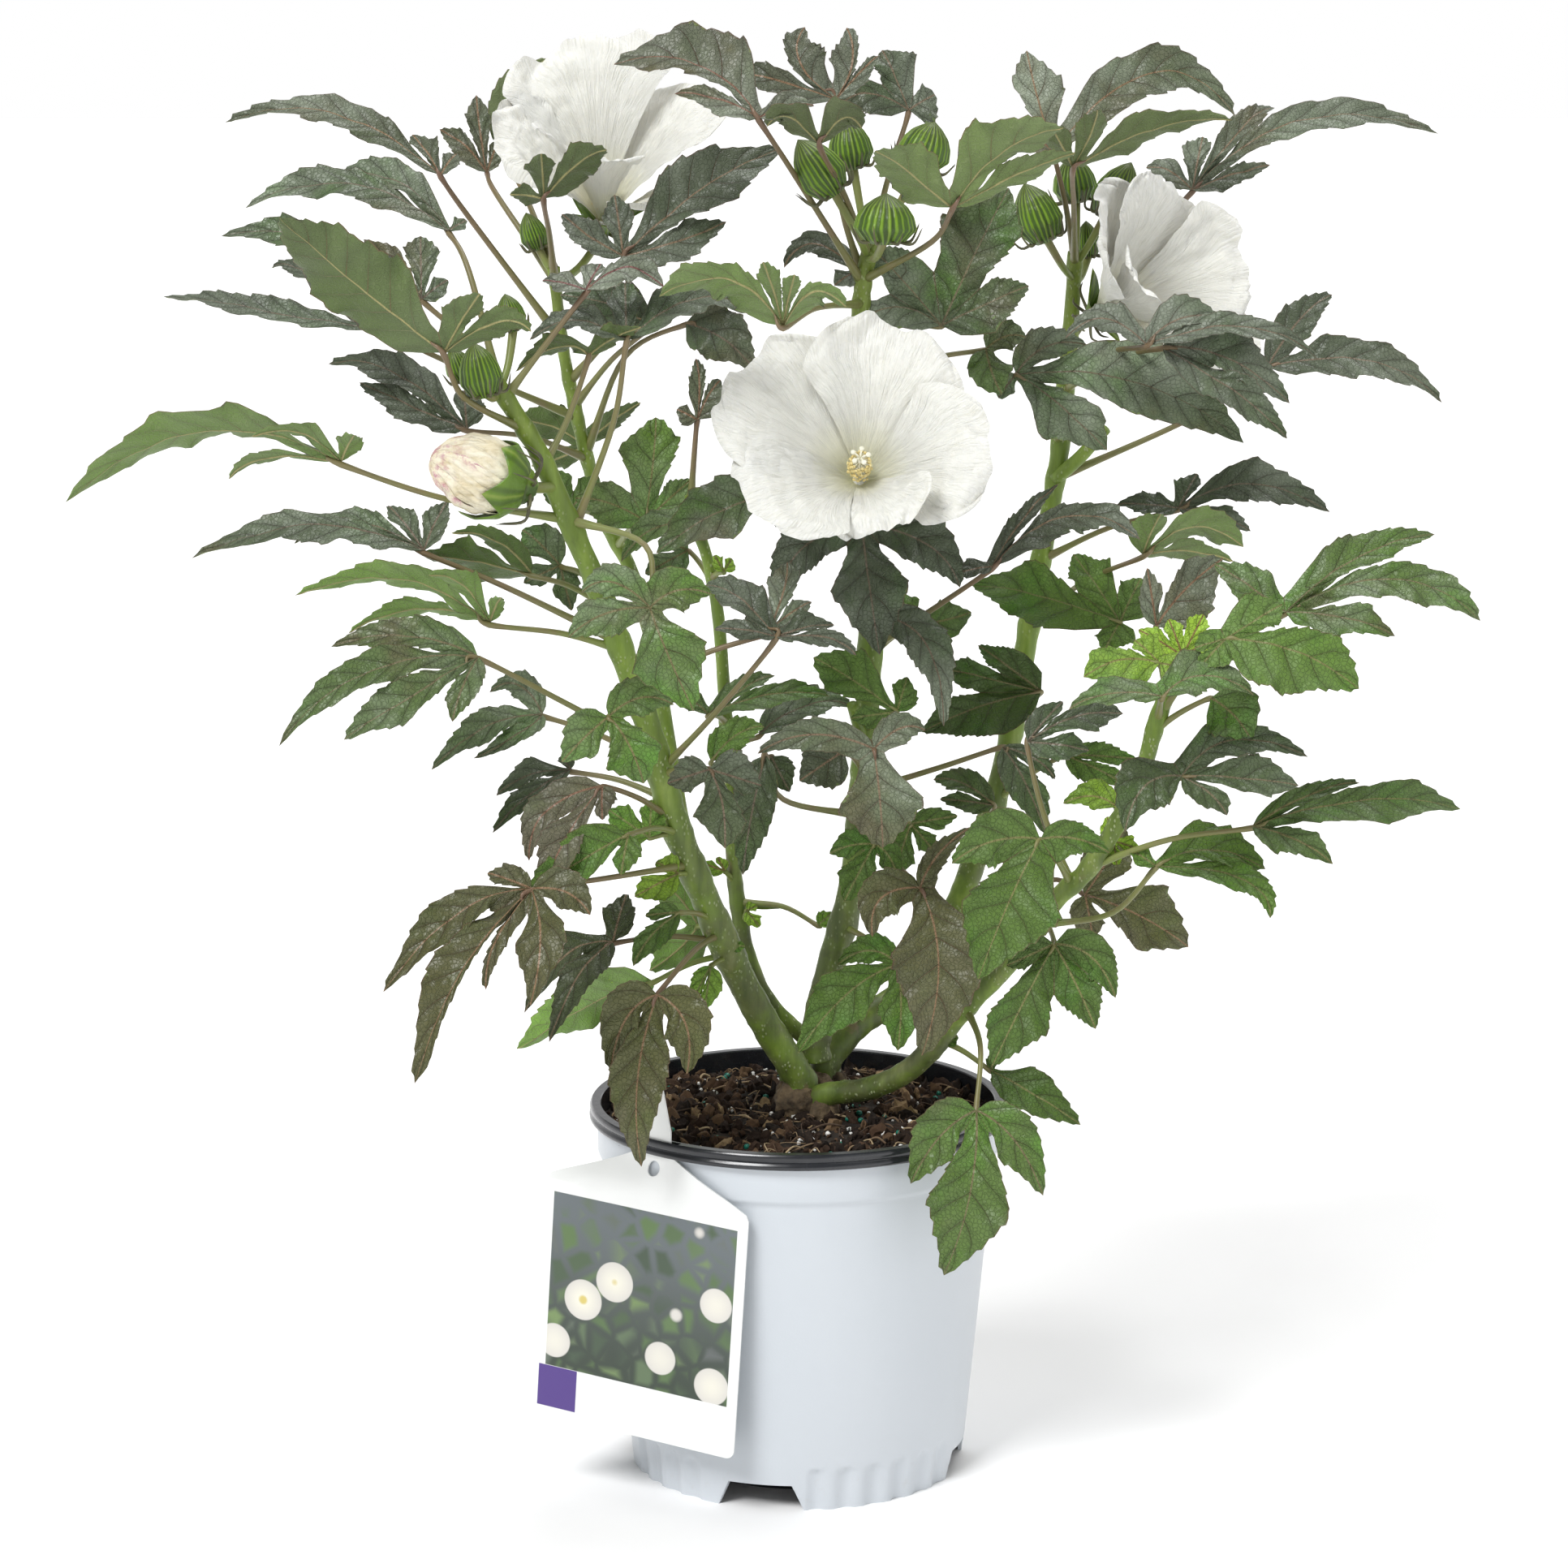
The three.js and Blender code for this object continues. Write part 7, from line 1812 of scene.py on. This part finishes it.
# From bronze leaves at the top to fresh green ones below, with a painted silvery sheen in clouds on the
# bronze ones.
def leaf_top():
    r = Recipe("leaf_upper_side")
    _, across, side = r.place()
    seed, tone, share = r.kind()
    side_vein, middle, bulge, net = veins(r, across, side, share)
    base = r.ramp(
        tone, (0.0, (0.085, 0.055, 0.055)), (0.1, (0.074, 0.058, 0.040)),
        (0.2, (0.058, 0.060, 0.019)), (0.3, (0.054, 0.066, 0.026)), (0.42, (0.050, 0.074, 0.024)),
        (0.58, (0.058, 0.102, 0.018)), (0.76, (0.080, 0.152, 0.018)), (1.0, (0.22, 0.36, 0.025)))
    high = r.height()
    slate = r.times(r.scaled(high, 0.34, 0.5), r.scaled(tone, 0.42, 0.56, 0.7, 0.0))
    base = r.mix(slate, base, (0.066, 0.080, 0.055))
    patch = r.noise(13.0, 4.0, 0.6)
    cloud = r.noise(31.0, 4.0, 0.6)
    # Painted sheen: pale silvery clouds, strongest on the high dark leaves, stand in for the gloss that
    # catches the lights.
    painted_sheen = r.times(r.scaled(patch, 0.4, 0.7, 0.0, 0.85), r.scaled(tone, 0.42, 0.72, 1.0, 0.15))
    painted_sheen = r.times(painted_sheen, r.scaled(high, 0.34, 0.52, 0.08, 1.0))
    base = r.mix(painted_sheen, base, (0.168, 0.192, 0.145))
    fresh = r.times(r.scaled(cloud, 0.48, 0.72), r.scaled(tone, 0.3, 0.7, 0.1, 0.8))
    base = r.mix(fresh, base, (0.060, 0.155, 0.014))
    aged = r.times(r.scaled(tone, 0.5, 0.72, 1.0, 0.1), r.scaled(seed, 0.1, 0.6))
    dusk = r.times(r.scaled(r.noise(17.0, 4.0, 0.6), 0.5, 0.72), aged)
    base = r.mix(dusk, base, (0.070, 0.066, 0.034))
    # Each leaf's own brightness, times painted shade: darker in the valleys along the veins, lighter on the
    # bulges between them.
    tone_and_painted_shade = r.times(r.line(seed, 0.6, 0.82), r.line(bulge, 0.35, 0.85))
    base = r.mix(r.times(net, 0.14), r.lit(base, tone_and_painted_shade), (0.08, 0.11, 0.05))
    vein_colour = r.ramp(
        tone, (0.0, (0.16, 0.05, 0.055)), (0.2, (0.24, 0.15, 0.08)), (0.42, (0.15, 0.12, 0.085)),
        (0.6, (0.17, 0.15, 0.06)), (0.85, (0.20, 0.24, 0.07)), (1.0, (0.22, 0.14, 0.05)))
    base = r.mix(r.times(side_vein, 0.7), base, vein_colour)
    base = r.mix(r.times(middle, 0.95), base, vein_colour)
    rim = r.times(r.scaled(side, 0.94, 1.0), 0.6)
    base = r.mix(rim, base, (0.11, 0.05, 0.035))
    relief = r.minus(r.times(r.noise(260.0, 3.0), 0.35), side_vein)
    relief = r.minus(relief, r.times(net, 0.35))
    relief = r.plus(relief, r.times(bulge, 0.3))
    relief = r.plus(relief, r.times(r.noise(75.0, 2.0), 2.0))
    rough = r.plus(r.scaled(patch, 0.3, 0.8, 0.36, 0.48), r.scaled(tone, 0.5, 0.75, 0.0, 0.14))
    return r.finish(
        base_color=base, roughness=rough, normal=r.bump(relief, 0.0016, 0.8),
        sheen_weight=0.02, specular_ior_level=0.38)


def leaf_under():
    r = Recipe("leaf_under_side")
    _, across, side = r.place()
    seed, tone, share = r.kind()
    side_vein, middle, bulge, net = veins(r, across, side, share)
    base = r.ramp(
        tone, (0.0, (0.105, 0.13, 0.05)), (0.5, (0.10, 0.16, 0.035)), (1.0, (0.14, 0.27, 0.035)))
    base = r.mix(r.scaled(r.noise(18.0, 4.0), 0.35, 0.8, 0.0, 0.5), base, (0.13, 0.16, 0.085))
    base = r.mix(r.times(net, 0.3), base, (0.17, 0.21, 0.09))
    warm = r.mix(r.scaled(r.noise(25.0), 0.4, 0.6), (0.30, 0.30, 0.12), (0.26, 0.15, 0.075))
    # Each leaf's own brightness, times painted shade: darker along the veins than on the bulges between
    # them.
    tone_and_painted_shade = r.times(r.line(seed, 0.5, 0.7), r.line(bulge, 0.2, 0.9))
    base = r.mix(r.times(side_vein, 0.7), r.lit(base, tone_and_painted_shade), warm)
    base = r.mix(middle, base, (0.34, 0.31, 0.13))
    rim = r.times(r.scaled(side, 0.95, 1.0), 0.6)
    base = r.mix(rim, base, (0.14, 0.05, 0.035))
    relief = r.plus(r.plus(side_vein, middle), r.times(net, 0.4))
    return r.finish(
        base_color=base, roughness=0.55, normal=r.bump(relief, 0.0009, 0.7),
        sheen_weight=0.08, sheen_roughness=0.5, specular_ior_level=0.4)


def stalk_skin():
    r = Recipe("leaf_stalk")
    _, tone, share = r.kind()
    warm = r.mix(share, (0.17, 0.18, 0.055), (0.15, 0.085, 0.055))
    fresh = r.mix(share, (0.20, 0.29, 0.055), (0.19, 0.22, 0.06))
    base = r.mix(tone, warm, fresh)
    base = r.mix(r.scaled(r.noise(70.0, 4.0), 0.45, 0.75, 0.0, 0.6), base, (0.20, 0.13, 0.08))
    grain = r.noise(260.0, 2.0, 0.5, r.stretched(1, 1, 0.15))
    return r.finish(
        base_color=base, roughness=0.42, normal=r.bump(grain, 0.0004, 0.5), specular_ior_level=0.5)


# Green bark with pale pores, brown and scarred low down, a little red at the top.
def cane_skin():
    r = Recipe("cane_bark")
    high = r.height()
    streaks = r.noise(120.0, 4.0, 0.55, r.stretched(1, 1, 0.12))
    green = r.ramp(
        streaks, (0.3, (0.085, 0.135, 0.014)), (0.55, (0.155, 0.24, 0.025)), (0.8, (0.28, 0.37, 0.07)))
    wood = r.ramp(
        streaks, (0.3, (0.06, 0.08, 0.02)), (0.6, (0.11, 0.13, 0.04)), (0.85, (0.22, 0.22, 0.10)))
    low = r.rest(r.scaled(high, 0.26, 0.50))
    patch = r.times(low, r.scaled(r.noise(34.0, 5.0, 0.65), 0.32, 0.62))
    base = r.mix(patch, green, wood)
    pores = r.rest(r.scaled(r.cells(420.0, "F1", r.stretched(1, 1, 0.6)), 0.15, 0.34))
    pores = r.times(pores, r.scaled(r.noise(45.0, 3.0), 0.4, 0.65))
    base = r.mix(r.times(pores, 0.75), base, (0.40, 0.46, 0.24))
    scar = r.times(r.scaled(r.noise(55.0, 4.0, 0.6), 0.62, 0.72), r.times(low, 0.6))
    base = r.mix(scar, base, (0.20, 0.14, 0.08))
    reddish = r.times(r.scaled(high, 0.5, 0.8), 0.25)
    base = r.mix(reddish, base, (0.24, 0.20, 0.06))
    relief = r.plus(r.times(streaks, 0.8), pores)
    return r.finish(
        base_color=base, roughness=0.5, normal=r.bump(relief, 0.0008, 0.6), specular_ior_level=0.5)


# Green with lighter lines along the bud, painted shade in the hollows beside its keels, and pale seams
# between its five sepals.
def bud_skin():
    r = Recipe("bud_green")
    _, across, side = r.place()
    _, tone, share = r.kind()
    wander = r.times(r.minus(r.noise(90.0, 3.0), 0.5), 3.0)
    lines = r.math("SINE", r.plus(r.times(across, math.pi / 2), wander))
    lines = r.mix(r.scaled(tone, 0.3, 0.5), (0.6, 0.6, 0.6), r.scaled(lines, -0.5, 0.9))
    dark = r.ramp(
        share, (0.0, (0.040, 0.080, 0.004)), (0.5, (0.045, 0.10, 0.005)), (1.0, (0.05, 0.07, 0.006)))
    light = r.ramp(
        share, (0.0, (0.12, 0.23, 0.008)), (0.5, (0.155, 0.28, 0.010)), (1.0, (0.12, 0.17, 0.015)))
    base = r.mix(lines, dark, light)
    seam = r.rest(r.scaled(side, 0.02, 0.12))
    groove = r.rest(r.scaled(r.math("ABSOLUTE", r.minus(side, 0.3)), 0.03, 0.22))
    # Painted shade: darker green in the hollows beside the keels.
    base = r.mix(r.times(groove, 0.55), base, (0.028, 0.055, 0.006))
    base = r.mix(r.times(seam, 0.75), base, (0.20, 0.27, 0.04))
    relief = r.plus(r.times(lines, 0.8), r.noise(300.0, 3.0))
    return r.finish(
        base_color=base, roughness=0.42, normal=r.bump(relief, 0.0008, 0.7),
        specular_ior_level=0.5, sheen_weight=0.05)


def bract_skin():
    r = Recipe("bract_dark")
    base = r.ramp(r.noise(120.0, 3.0), (0.3, (0.055, 0.05, 0.03)), (0.7, (0.13, 0.13, 0.055)))
    return r.finish(base_color=base, roughness=0.55, normal=r.bump(r.noise(400.0), 0.0003, 0.4))


# Light passes a little way into petals.
PETAL_LIGHT = {"subsurface_weight": 0.15, "subsurface_radius": (0.006, 0.005, 0.0035),
               "subsurface_scale": 0.5}


# Cream petals, yellow at the throat and painted lighter there against the shade of the deep heart, with
# fine lines that fan out to the rim, darker partly as veins and partly as painted crease shade.
def petal_skin():
    r = Recipe("petal_cream")
    along, across, _ = r.place()
    seed, _, share = r.kind()
    fan = r.math("DIVIDE", across, r.line(along, 0.012, 0.25))
    lines = r.noise(1.1, 4.0, 0.6, r.point(fan, r.times(along, 0.045), seed))
    # Yellow at the throat, and painted lighter there than further out to lift the shade of the deep heart.
    base = r.ramp(
        share, (0.0, (0.90, 0.88, 0.46)), (0.16, (0.90, 0.89, 0.66)), (0.4, (0.82, 0.815, 0.74)),
        (1.0, (0.79, 0.785, 0.74)))
    # The fanned lines darken the petal partly as veins and partly as painted shade in its creases.
    base = r.mix(r.scaled(lines, 0.46, 0.72, 0.0, 0.5), base, (0.60, 0.60, 0.52))
    relief = r.plus(lines, r.times(r.noise(110.0, 4.0, 0.6), 0.8))
    return r.finish(
        base_color=base, roughness=0.58, normal=r.bump(relief, 0.0022, 0.8), **PETAL_LIGHT,
        sheen_weight=0.2, sheen_roughness=0.5, specular_ior_level=0.3)


# The rolled petals are ivory, with painted shade in their creases, and flushed edges towards their tips.
def rolled_skin():
    r = Recipe("petal_rolled")
    side = r.place()[2]
    share = r.kind()[2]
    creases = r.noise(110.0, 5.0, 0.65, r.stretched(0.22, 1, 1))
    # Painted shade: the colour darkens where the crease noise sinks the bump.
    base = r.ramp(
        creases, (0.3, (0.44, 0.35, 0.18)), (0.42, (0.66, 0.58, 0.40)), (0.55, (0.76, 0.70, 0.54)),
        (0.8, (0.80, 0.77, 0.65)))
    base = r.mix(r.scaled(share, 0.1, 0.4, 0.55, 0.0), base, (0.50, 0.55, 0.25))
    patch = r.scaled(r.noise(130.0, 4.0, 0.65), 0.45, 0.62)
    edge = r.times(r.scaled(side, 0.86, 1.0), r.scaled(share, 0.3, 0.6))
    tip = r.scaled(share, 0.55, 0.95, 0.0, 0.75)
    flush = r.times(patch, r.math("MAXIMUM", edge, tip))
    base = r.mix(flush, base, (0.42, 0.15, 0.22))
    return r.finish(
        base_color=base, roughness=0.6, normal=r.bump(creases, 0.003, 0.9), **PETAL_LIGHT,
        sheen_weight=0.1, specular_ior_level=0.35)


# A surface between a dark and a light colour, with a grain; depth is the grain's, in metres.
def plain(name, dark, light, scale, rough, depth, **more):
    r = Recipe(name)
    base = r.ramp(r.noise(scale, 5.0, 0.6), (0.3, dark), (0.7, light))
    relief = r.bump(r.noise(scale * 2.5, 4.0), depth, 0.6)
    return r.finish(base_color=base, roughness=rough, normal=relief, **more)


def chip_skin():
    r = Recipe("bark_chip")
    base = r.ramp(
        r.kind()[0], (0.0, (0.012, 0.008, 0.006)), (0.5, (0.030, 0.017, 0.011)),
        (0.8, (0.075, 0.042, 0.024)), (0.93, (0.16, 0.10, 0.055)), (1.0, (0.34, 0.24, 0.13)))
    base = r.mix(r.scaled(r.noise(420.0, 4.0), 0.45, 0.8, 0.0, 0.4), base, (0.07, 0.045, 0.03))
    grain = r.noise(600.0, 4.0, 0.6, r.stretched(1, 0.3, 1))
    return r.finish(
        base_color=base, roughness=0.88, normal=r.bump(grain, 0.0008, 0.8), specular_ior_level=0.25)


# Shreds of bark and root, from nearly black to straw.
def fibre_skin():
    r = Recipe("fibre")
    base = r.ramp(
        r.kind()[0], (0.0, (0.03, 0.018, 0.012)), (0.5, (0.10, 0.06, 0.035)),
        (0.8, (0.30, 0.21, 0.12)), (1.0, (0.48, 0.37, 0.22)))
    base = r.mix(r.scaled(r.noise(300.0, 3.0), 0.4, 0.7, 0.0, 0.4), base, (0.16, 0.10, 0.06))
    return r.finish(base_color=base, roughness=0.9, normal=r.bump(r.noise(700.0, 3.0), 0.0004, 0.6))


# The pot's pale outside, with faint streaks and darker grey blotches near the ground.
def pot_pale():
    r = Recipe("pot_outside")
    base = r.mix(r.noise(7.0, 3.0, 0.5), (0.52, 0.56, 0.60), (0.56, 0.59, 0.625))
    flow = r.noise(26.0, 4.0, 0.6, r.stretched(1, 1, 0.14))
    base = r.mix(r.scaled(flow, 0.45, 0.8, 0.0, 0.22), base, (0.58, 0.61, 0.64))
    low = r.rest(r.scaled(r.height(), 0.0, 0.05))
    # Darker grey blotches on the lowest 50 mm of the wall.
    low_blotches = r.times(r.scaled(r.noise(160.0, 5.0, 0.7), 0.55, 0.8), low)
    base = r.mix(r.times(low_blotches, 0.35), base, (0.45, 0.44, 0.42))
    relief = r.plus(r.noise(900.0, 2.0), r.times(flow, 0.6))
    return r.finish(
        base_color=base, roughness=r.scaled(flow, 0.2, 0.9, 0.30, 0.42),
        normal=r.bump(relief, 0.0002, 0.25), specular_ior_level=0.5, coat_weight=0.12,
        coat_roughness=0.3)


# The print on the tag: the half width and the height of its dark panel, and the sides and the height
# of the violet block, in millimetres from the middle of the tag's bend.
PANEL_HALF = 58
PANEL_UP = (-136.2, -32.6)
BLOCK_ACROSS = (-62, -37)
BLOCK_UP = (-161, -136)
PRINT_EDGE = 0.4
LEAF_CELLS = 0.075
DISC_CELLS = 0.026


def tag_print():
    r = Recipe("tag_front")
    x, y, _ = r.place()

    def until(value, high):
        return r.scaled(value, high - PRINT_EDGE, high, 1.0, 0.0)

    def between(value, low, high):
        return r.times(r.scaled(value, low, low + PRINT_EDGE), until(value, high))
    panel = r.times(until(r.math("ABSOLUTE", x), PANEL_HALF), between(y, *PANEL_UP))
    block = r.times(between(x, *BLOCK_ACROSS), between(y, *BLOCK_UP))
    ground = r.ramp(
        r.scaled(y, -136, -33), (0.0, (0.035, 0.05, 0.035)), (0.5, (0.075, 0.09, 0.085)),
        (1.0, (0.12, 0.14, 0.15)))
    spot = r.point(x, y, 0.0)
    leafy = r.ramp(
        r.cell_channel(LEAF_CELLS, spot, 0), (0.0, (0.05, 0.075, 0.05)), (0.4, (0.10, 0.17, 0.06)),
        (0.7, (0.11, 0.12, 0.12)), (1.0, (0.16, 0.24, 0.09)))
    leaf_edge = r.scaled(r.cells(LEAF_CELLS, "DISTANCE_TO_EDGE", spot), 0.02, 0.3)
    picture = r.mix(leaf_edge, ground, leafy)
    far = r.cells(DISC_CELLS, "F1", spot)
    chosen = r.scaled(r.cell_channel(DISC_CELLS, spot, 1), 0.5, 0.52)
    disc = r.times(r.scaled(far, 0.30, 0.32, 1.0, 0.0), chosen)
    pale = r.ramp(
        far, (0.0, (0.62, 0.50, 0.12)), (0.06, (0.60, 0.50, 0.16)), (0.09, (0.74, 0.72, 0.62)),
        (0.3, (0.60, 0.58, 0.54)))
    picture = r.mix(disc, picture, pale)
    white = r.mix(r.noise(30.0), (0.76, 0.77, 0.76), (0.80, 0.81, 0.80))
    base = r.mix(panel, white, picture)
    base = r.mix(block, base, (0.075, 0.038, 0.21))
    return r.finish(
        base_color=base, roughness=0.34, normal=r.bump(r.noise(500.0), 0.0001, 0.2),
        specular_ior_level=0.5, coat_weight=0.1, coat_roughness=0.25)


# The object

# A leaf is bronze, 0, at the top of the picture and fresh green, 1, at its foot: pixel rows and tones.
TONE_ROWS = (100, 350, 700, 1000, 1250)
TONES = (0.12, 0.35, 0.55, 0.72, 0.95)
TONE_SPREAD = 0.16


def tone_of(leaf, rng):
    tone = leaf.get("tone", float(np.interp(leaf["joint"][1], TONE_ROWS, TONES)))
    return min(max(tone + TONE_SPREAD * (rng.random() - 0.5), 0), 1)


# A cane with all that it bears, as pieces that stand for its node.
def build_cane(order, cane, looks):
    node = f"leafy_stem_{cane}"
    rng = random.Random(100 + order)
    blades, stems, canes, green = Skin(), Skin(), Skin(), Skin()
    cane_tube(canes, cane, 0.1 * order)
    for leaf in LEAVES[cane]:
        seed = rng.random()
        tone = tone_of(leaf, rng)
        held = blade(blades, leaf, seed, tone, rng)
        stalk(stems, cane, leaf, *held, seed, min(1, max(0, 1.5 * tone - 0.45)))
    for name, *spec in STUBS:
        if name == cane:
            stub(canes, *spec, 0.5)
    for number, spec in enumerate(BUDS[cane]):
        bud(green, stems, cane, spec, 0.13 * number + 0.1 * order)
    for bloom in BLOOMS.values():
        if bloom["cane"] == cane:
            bloom_calyx(green, stems, bloom, 0.2)
    if OPENING_BUD["cane"] == cane:
        rolled = Skin()
        opening_bud(rolled, green, stems)
        rolled.piece("rolled_petals", looks["rolled"], "petals", "opening_bud_petals")
    blades.piece(f"blades_{cane}", looks["leaf"], "foliage", node)
    stems.piece(f"stalks_{cane}", looks["stalk"], "foliage", node)
    canes.piece(f"cane_{cane}", looks["bark"], "foliage", node)
    if green.total:
        green.piece(f"buds_{cane}", looks["bud"], "foliage", node)


def build_plant():
    looks = {
        "leaf": [leaf_top(), leaf_under()], "stalk": [stalk_skin()], "bark": [cane_skin()],
        "bud": [bud_skin(), bract_skin()], "rolled": [rolled_skin()]}
    cream = petal_skin()
    column = plain("style_cream", (0.80, 0.78, 0.60), (0.88, 0.86, 0.74), 300.0, 0.5, 0.0003)
    anther = plain("anther_pollen", (0.72, 0.56, 0.20), (0.84, 0.74, 0.40), 600.0, 0.75, 0.0005)
    for order, cane in enumerate(CANES):
        build_cane(order, cane, looks)
    for name, bloom in BLOOMS.items():
        bloom_petals(name, bloom, [cream])
        bloom_pistil(name, bloom, [column, anther])


def build_pot():
    black = plain("pot_black", (0.010, 0.011, 0.014), (0.020, 0.022, 0.026), 60.0, 0.24, 0.0002,
                  coat_weight=0.3, coat_roughness=0.12)
    pot_piece([pot_pale(), black])
    soil_piece([plain("soil_mix", (0.006, 0.004, 0.003), (0.030, 0.019, 0.012), 180.0, 0.95, 0.0015)])
    soil_litter(
        chip_skin(), fibre_skin(),
        plain("perlite_grain", (0.72, 0.71, 0.68), (0.90, 0.89, 0.86), 500.0, 0.9, 0.0006),
        plain("feed_bead", (0.004, 0.10, 0.07), (0.01, 0.19, 0.13), 300.0, 0.35, 0.0002))
    crown_piece([plain("crown_bark", (0.035, 0.024, 0.015), (0.19, 0.135, 0.075), 110.0, 0.9, 0.0035)])
    tag_piece([tag_print(), plain("tag_white", (0.76, 0.77, 0.76), (0.80, 0.81, 0.80), 40.0, 0.36, 0.0001)])


# The stage, the lights and the camera

# Each light: its name, the turn to the viewer's right and the height it comes from, its strength and
# how wide it looks, in degrees.
LIGHTS = (("key", (-38, 48), 2.6, 24), ("fill", (48, 14), 0.5, 60), ("top", (150, 66), 1.7, 40))

# The glow of the horizon up to one height in the sky, and of the sky from another, 1 being overhead.
HORIZON_GLOW = 1.0
HORIZON_TO = 0.08
SKY_GLOW = 0.2
SKY_FROM = 0.5


# A studio with a white horizon, darker above.
def build_sky():
    world = bpy.data.worlds.new("studio")
    bpy.context.scene.world = world
    world.use_nodes = True
    nodes, links = world.node_tree.nodes, world.node_tree.links
    where = nodes.new("ShaderNodeTexCoord")
    height = nodes.new("ShaderNodeSeparateXYZ")
    glow = nodes.new("ShaderNodeMapRange")
    glow.interpolation_type = "SMOOTHSTEP"
    for socket, value in (("From Min", HORIZON_TO), ("From Max", SKY_FROM),
                          ("To Min", HORIZON_GLOW), ("To Max", SKY_GLOW)):
        glow.inputs[socket].default_value = value
    links.new(where.outputs["Generated"], height.inputs[0])
    links.new(height.outputs["Z"], glow.inputs["Value"])
    links.new(glow.outputs["Result"], nodes["Background"].inputs["Strength"])
    nodes["Background"].inputs["Color"].default_value = (1, 1, 1, 1)


def build_stage():
    bpy.ops.mesh.primitive_plane_add(size=40, location=(0, 0, 0))
    floor = bpy.context.object
    floor.name = "floor"
    r = Recipe("floor_white")
    floor.data.materials.append(r.finish(
        base_color=r.mix(r.noise(3.0), (0.93, 0.93, 0.93), (0.95, 0.95, 0.95)), roughness=0.9,
        specular_ior_level=0.1))
    build_sky()
    for name, from_where, power, width in LIGHTS:
        light = bpy.data.lights.new(name, "SUN")
        light.energy = power
        light.angle = math.radians(width)
        lamp = bpy.data.objects.new(name, light)
        lamp.rotation_euler = Vector(-facing(from_where)).to_track_quat("-Z", "Y").to_euler()
        bpy.context.scene.collection.objects.link(lamp)
    camera = bpy.data.cameras.new("camera")
    camera.sensor_width = SENSOR
    camera.lens = PIXELS_PER_SLOPE * SENSOR / PICTURE_WIDTH
    eye = bpy.data.objects.new("camera", camera)
    eye.location = Vector(EYE) * MM
    eye.rotation_euler = (math.pi / 2 - LOOKS_DOWN, 0, 0)
    bpy.context.scene.collection.objects.link(eye)
    bpy.context.scene.camera = eye
    bpy.context.scene.view_settings.view_transform = "Standard"


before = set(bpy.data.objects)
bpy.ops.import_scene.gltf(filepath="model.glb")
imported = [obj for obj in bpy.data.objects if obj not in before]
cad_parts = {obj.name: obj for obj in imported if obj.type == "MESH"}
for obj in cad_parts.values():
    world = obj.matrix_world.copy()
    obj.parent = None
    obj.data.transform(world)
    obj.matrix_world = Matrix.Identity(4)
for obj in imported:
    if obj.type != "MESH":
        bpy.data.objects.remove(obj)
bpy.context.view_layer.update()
build_stage()
build_pot()
build_plant()
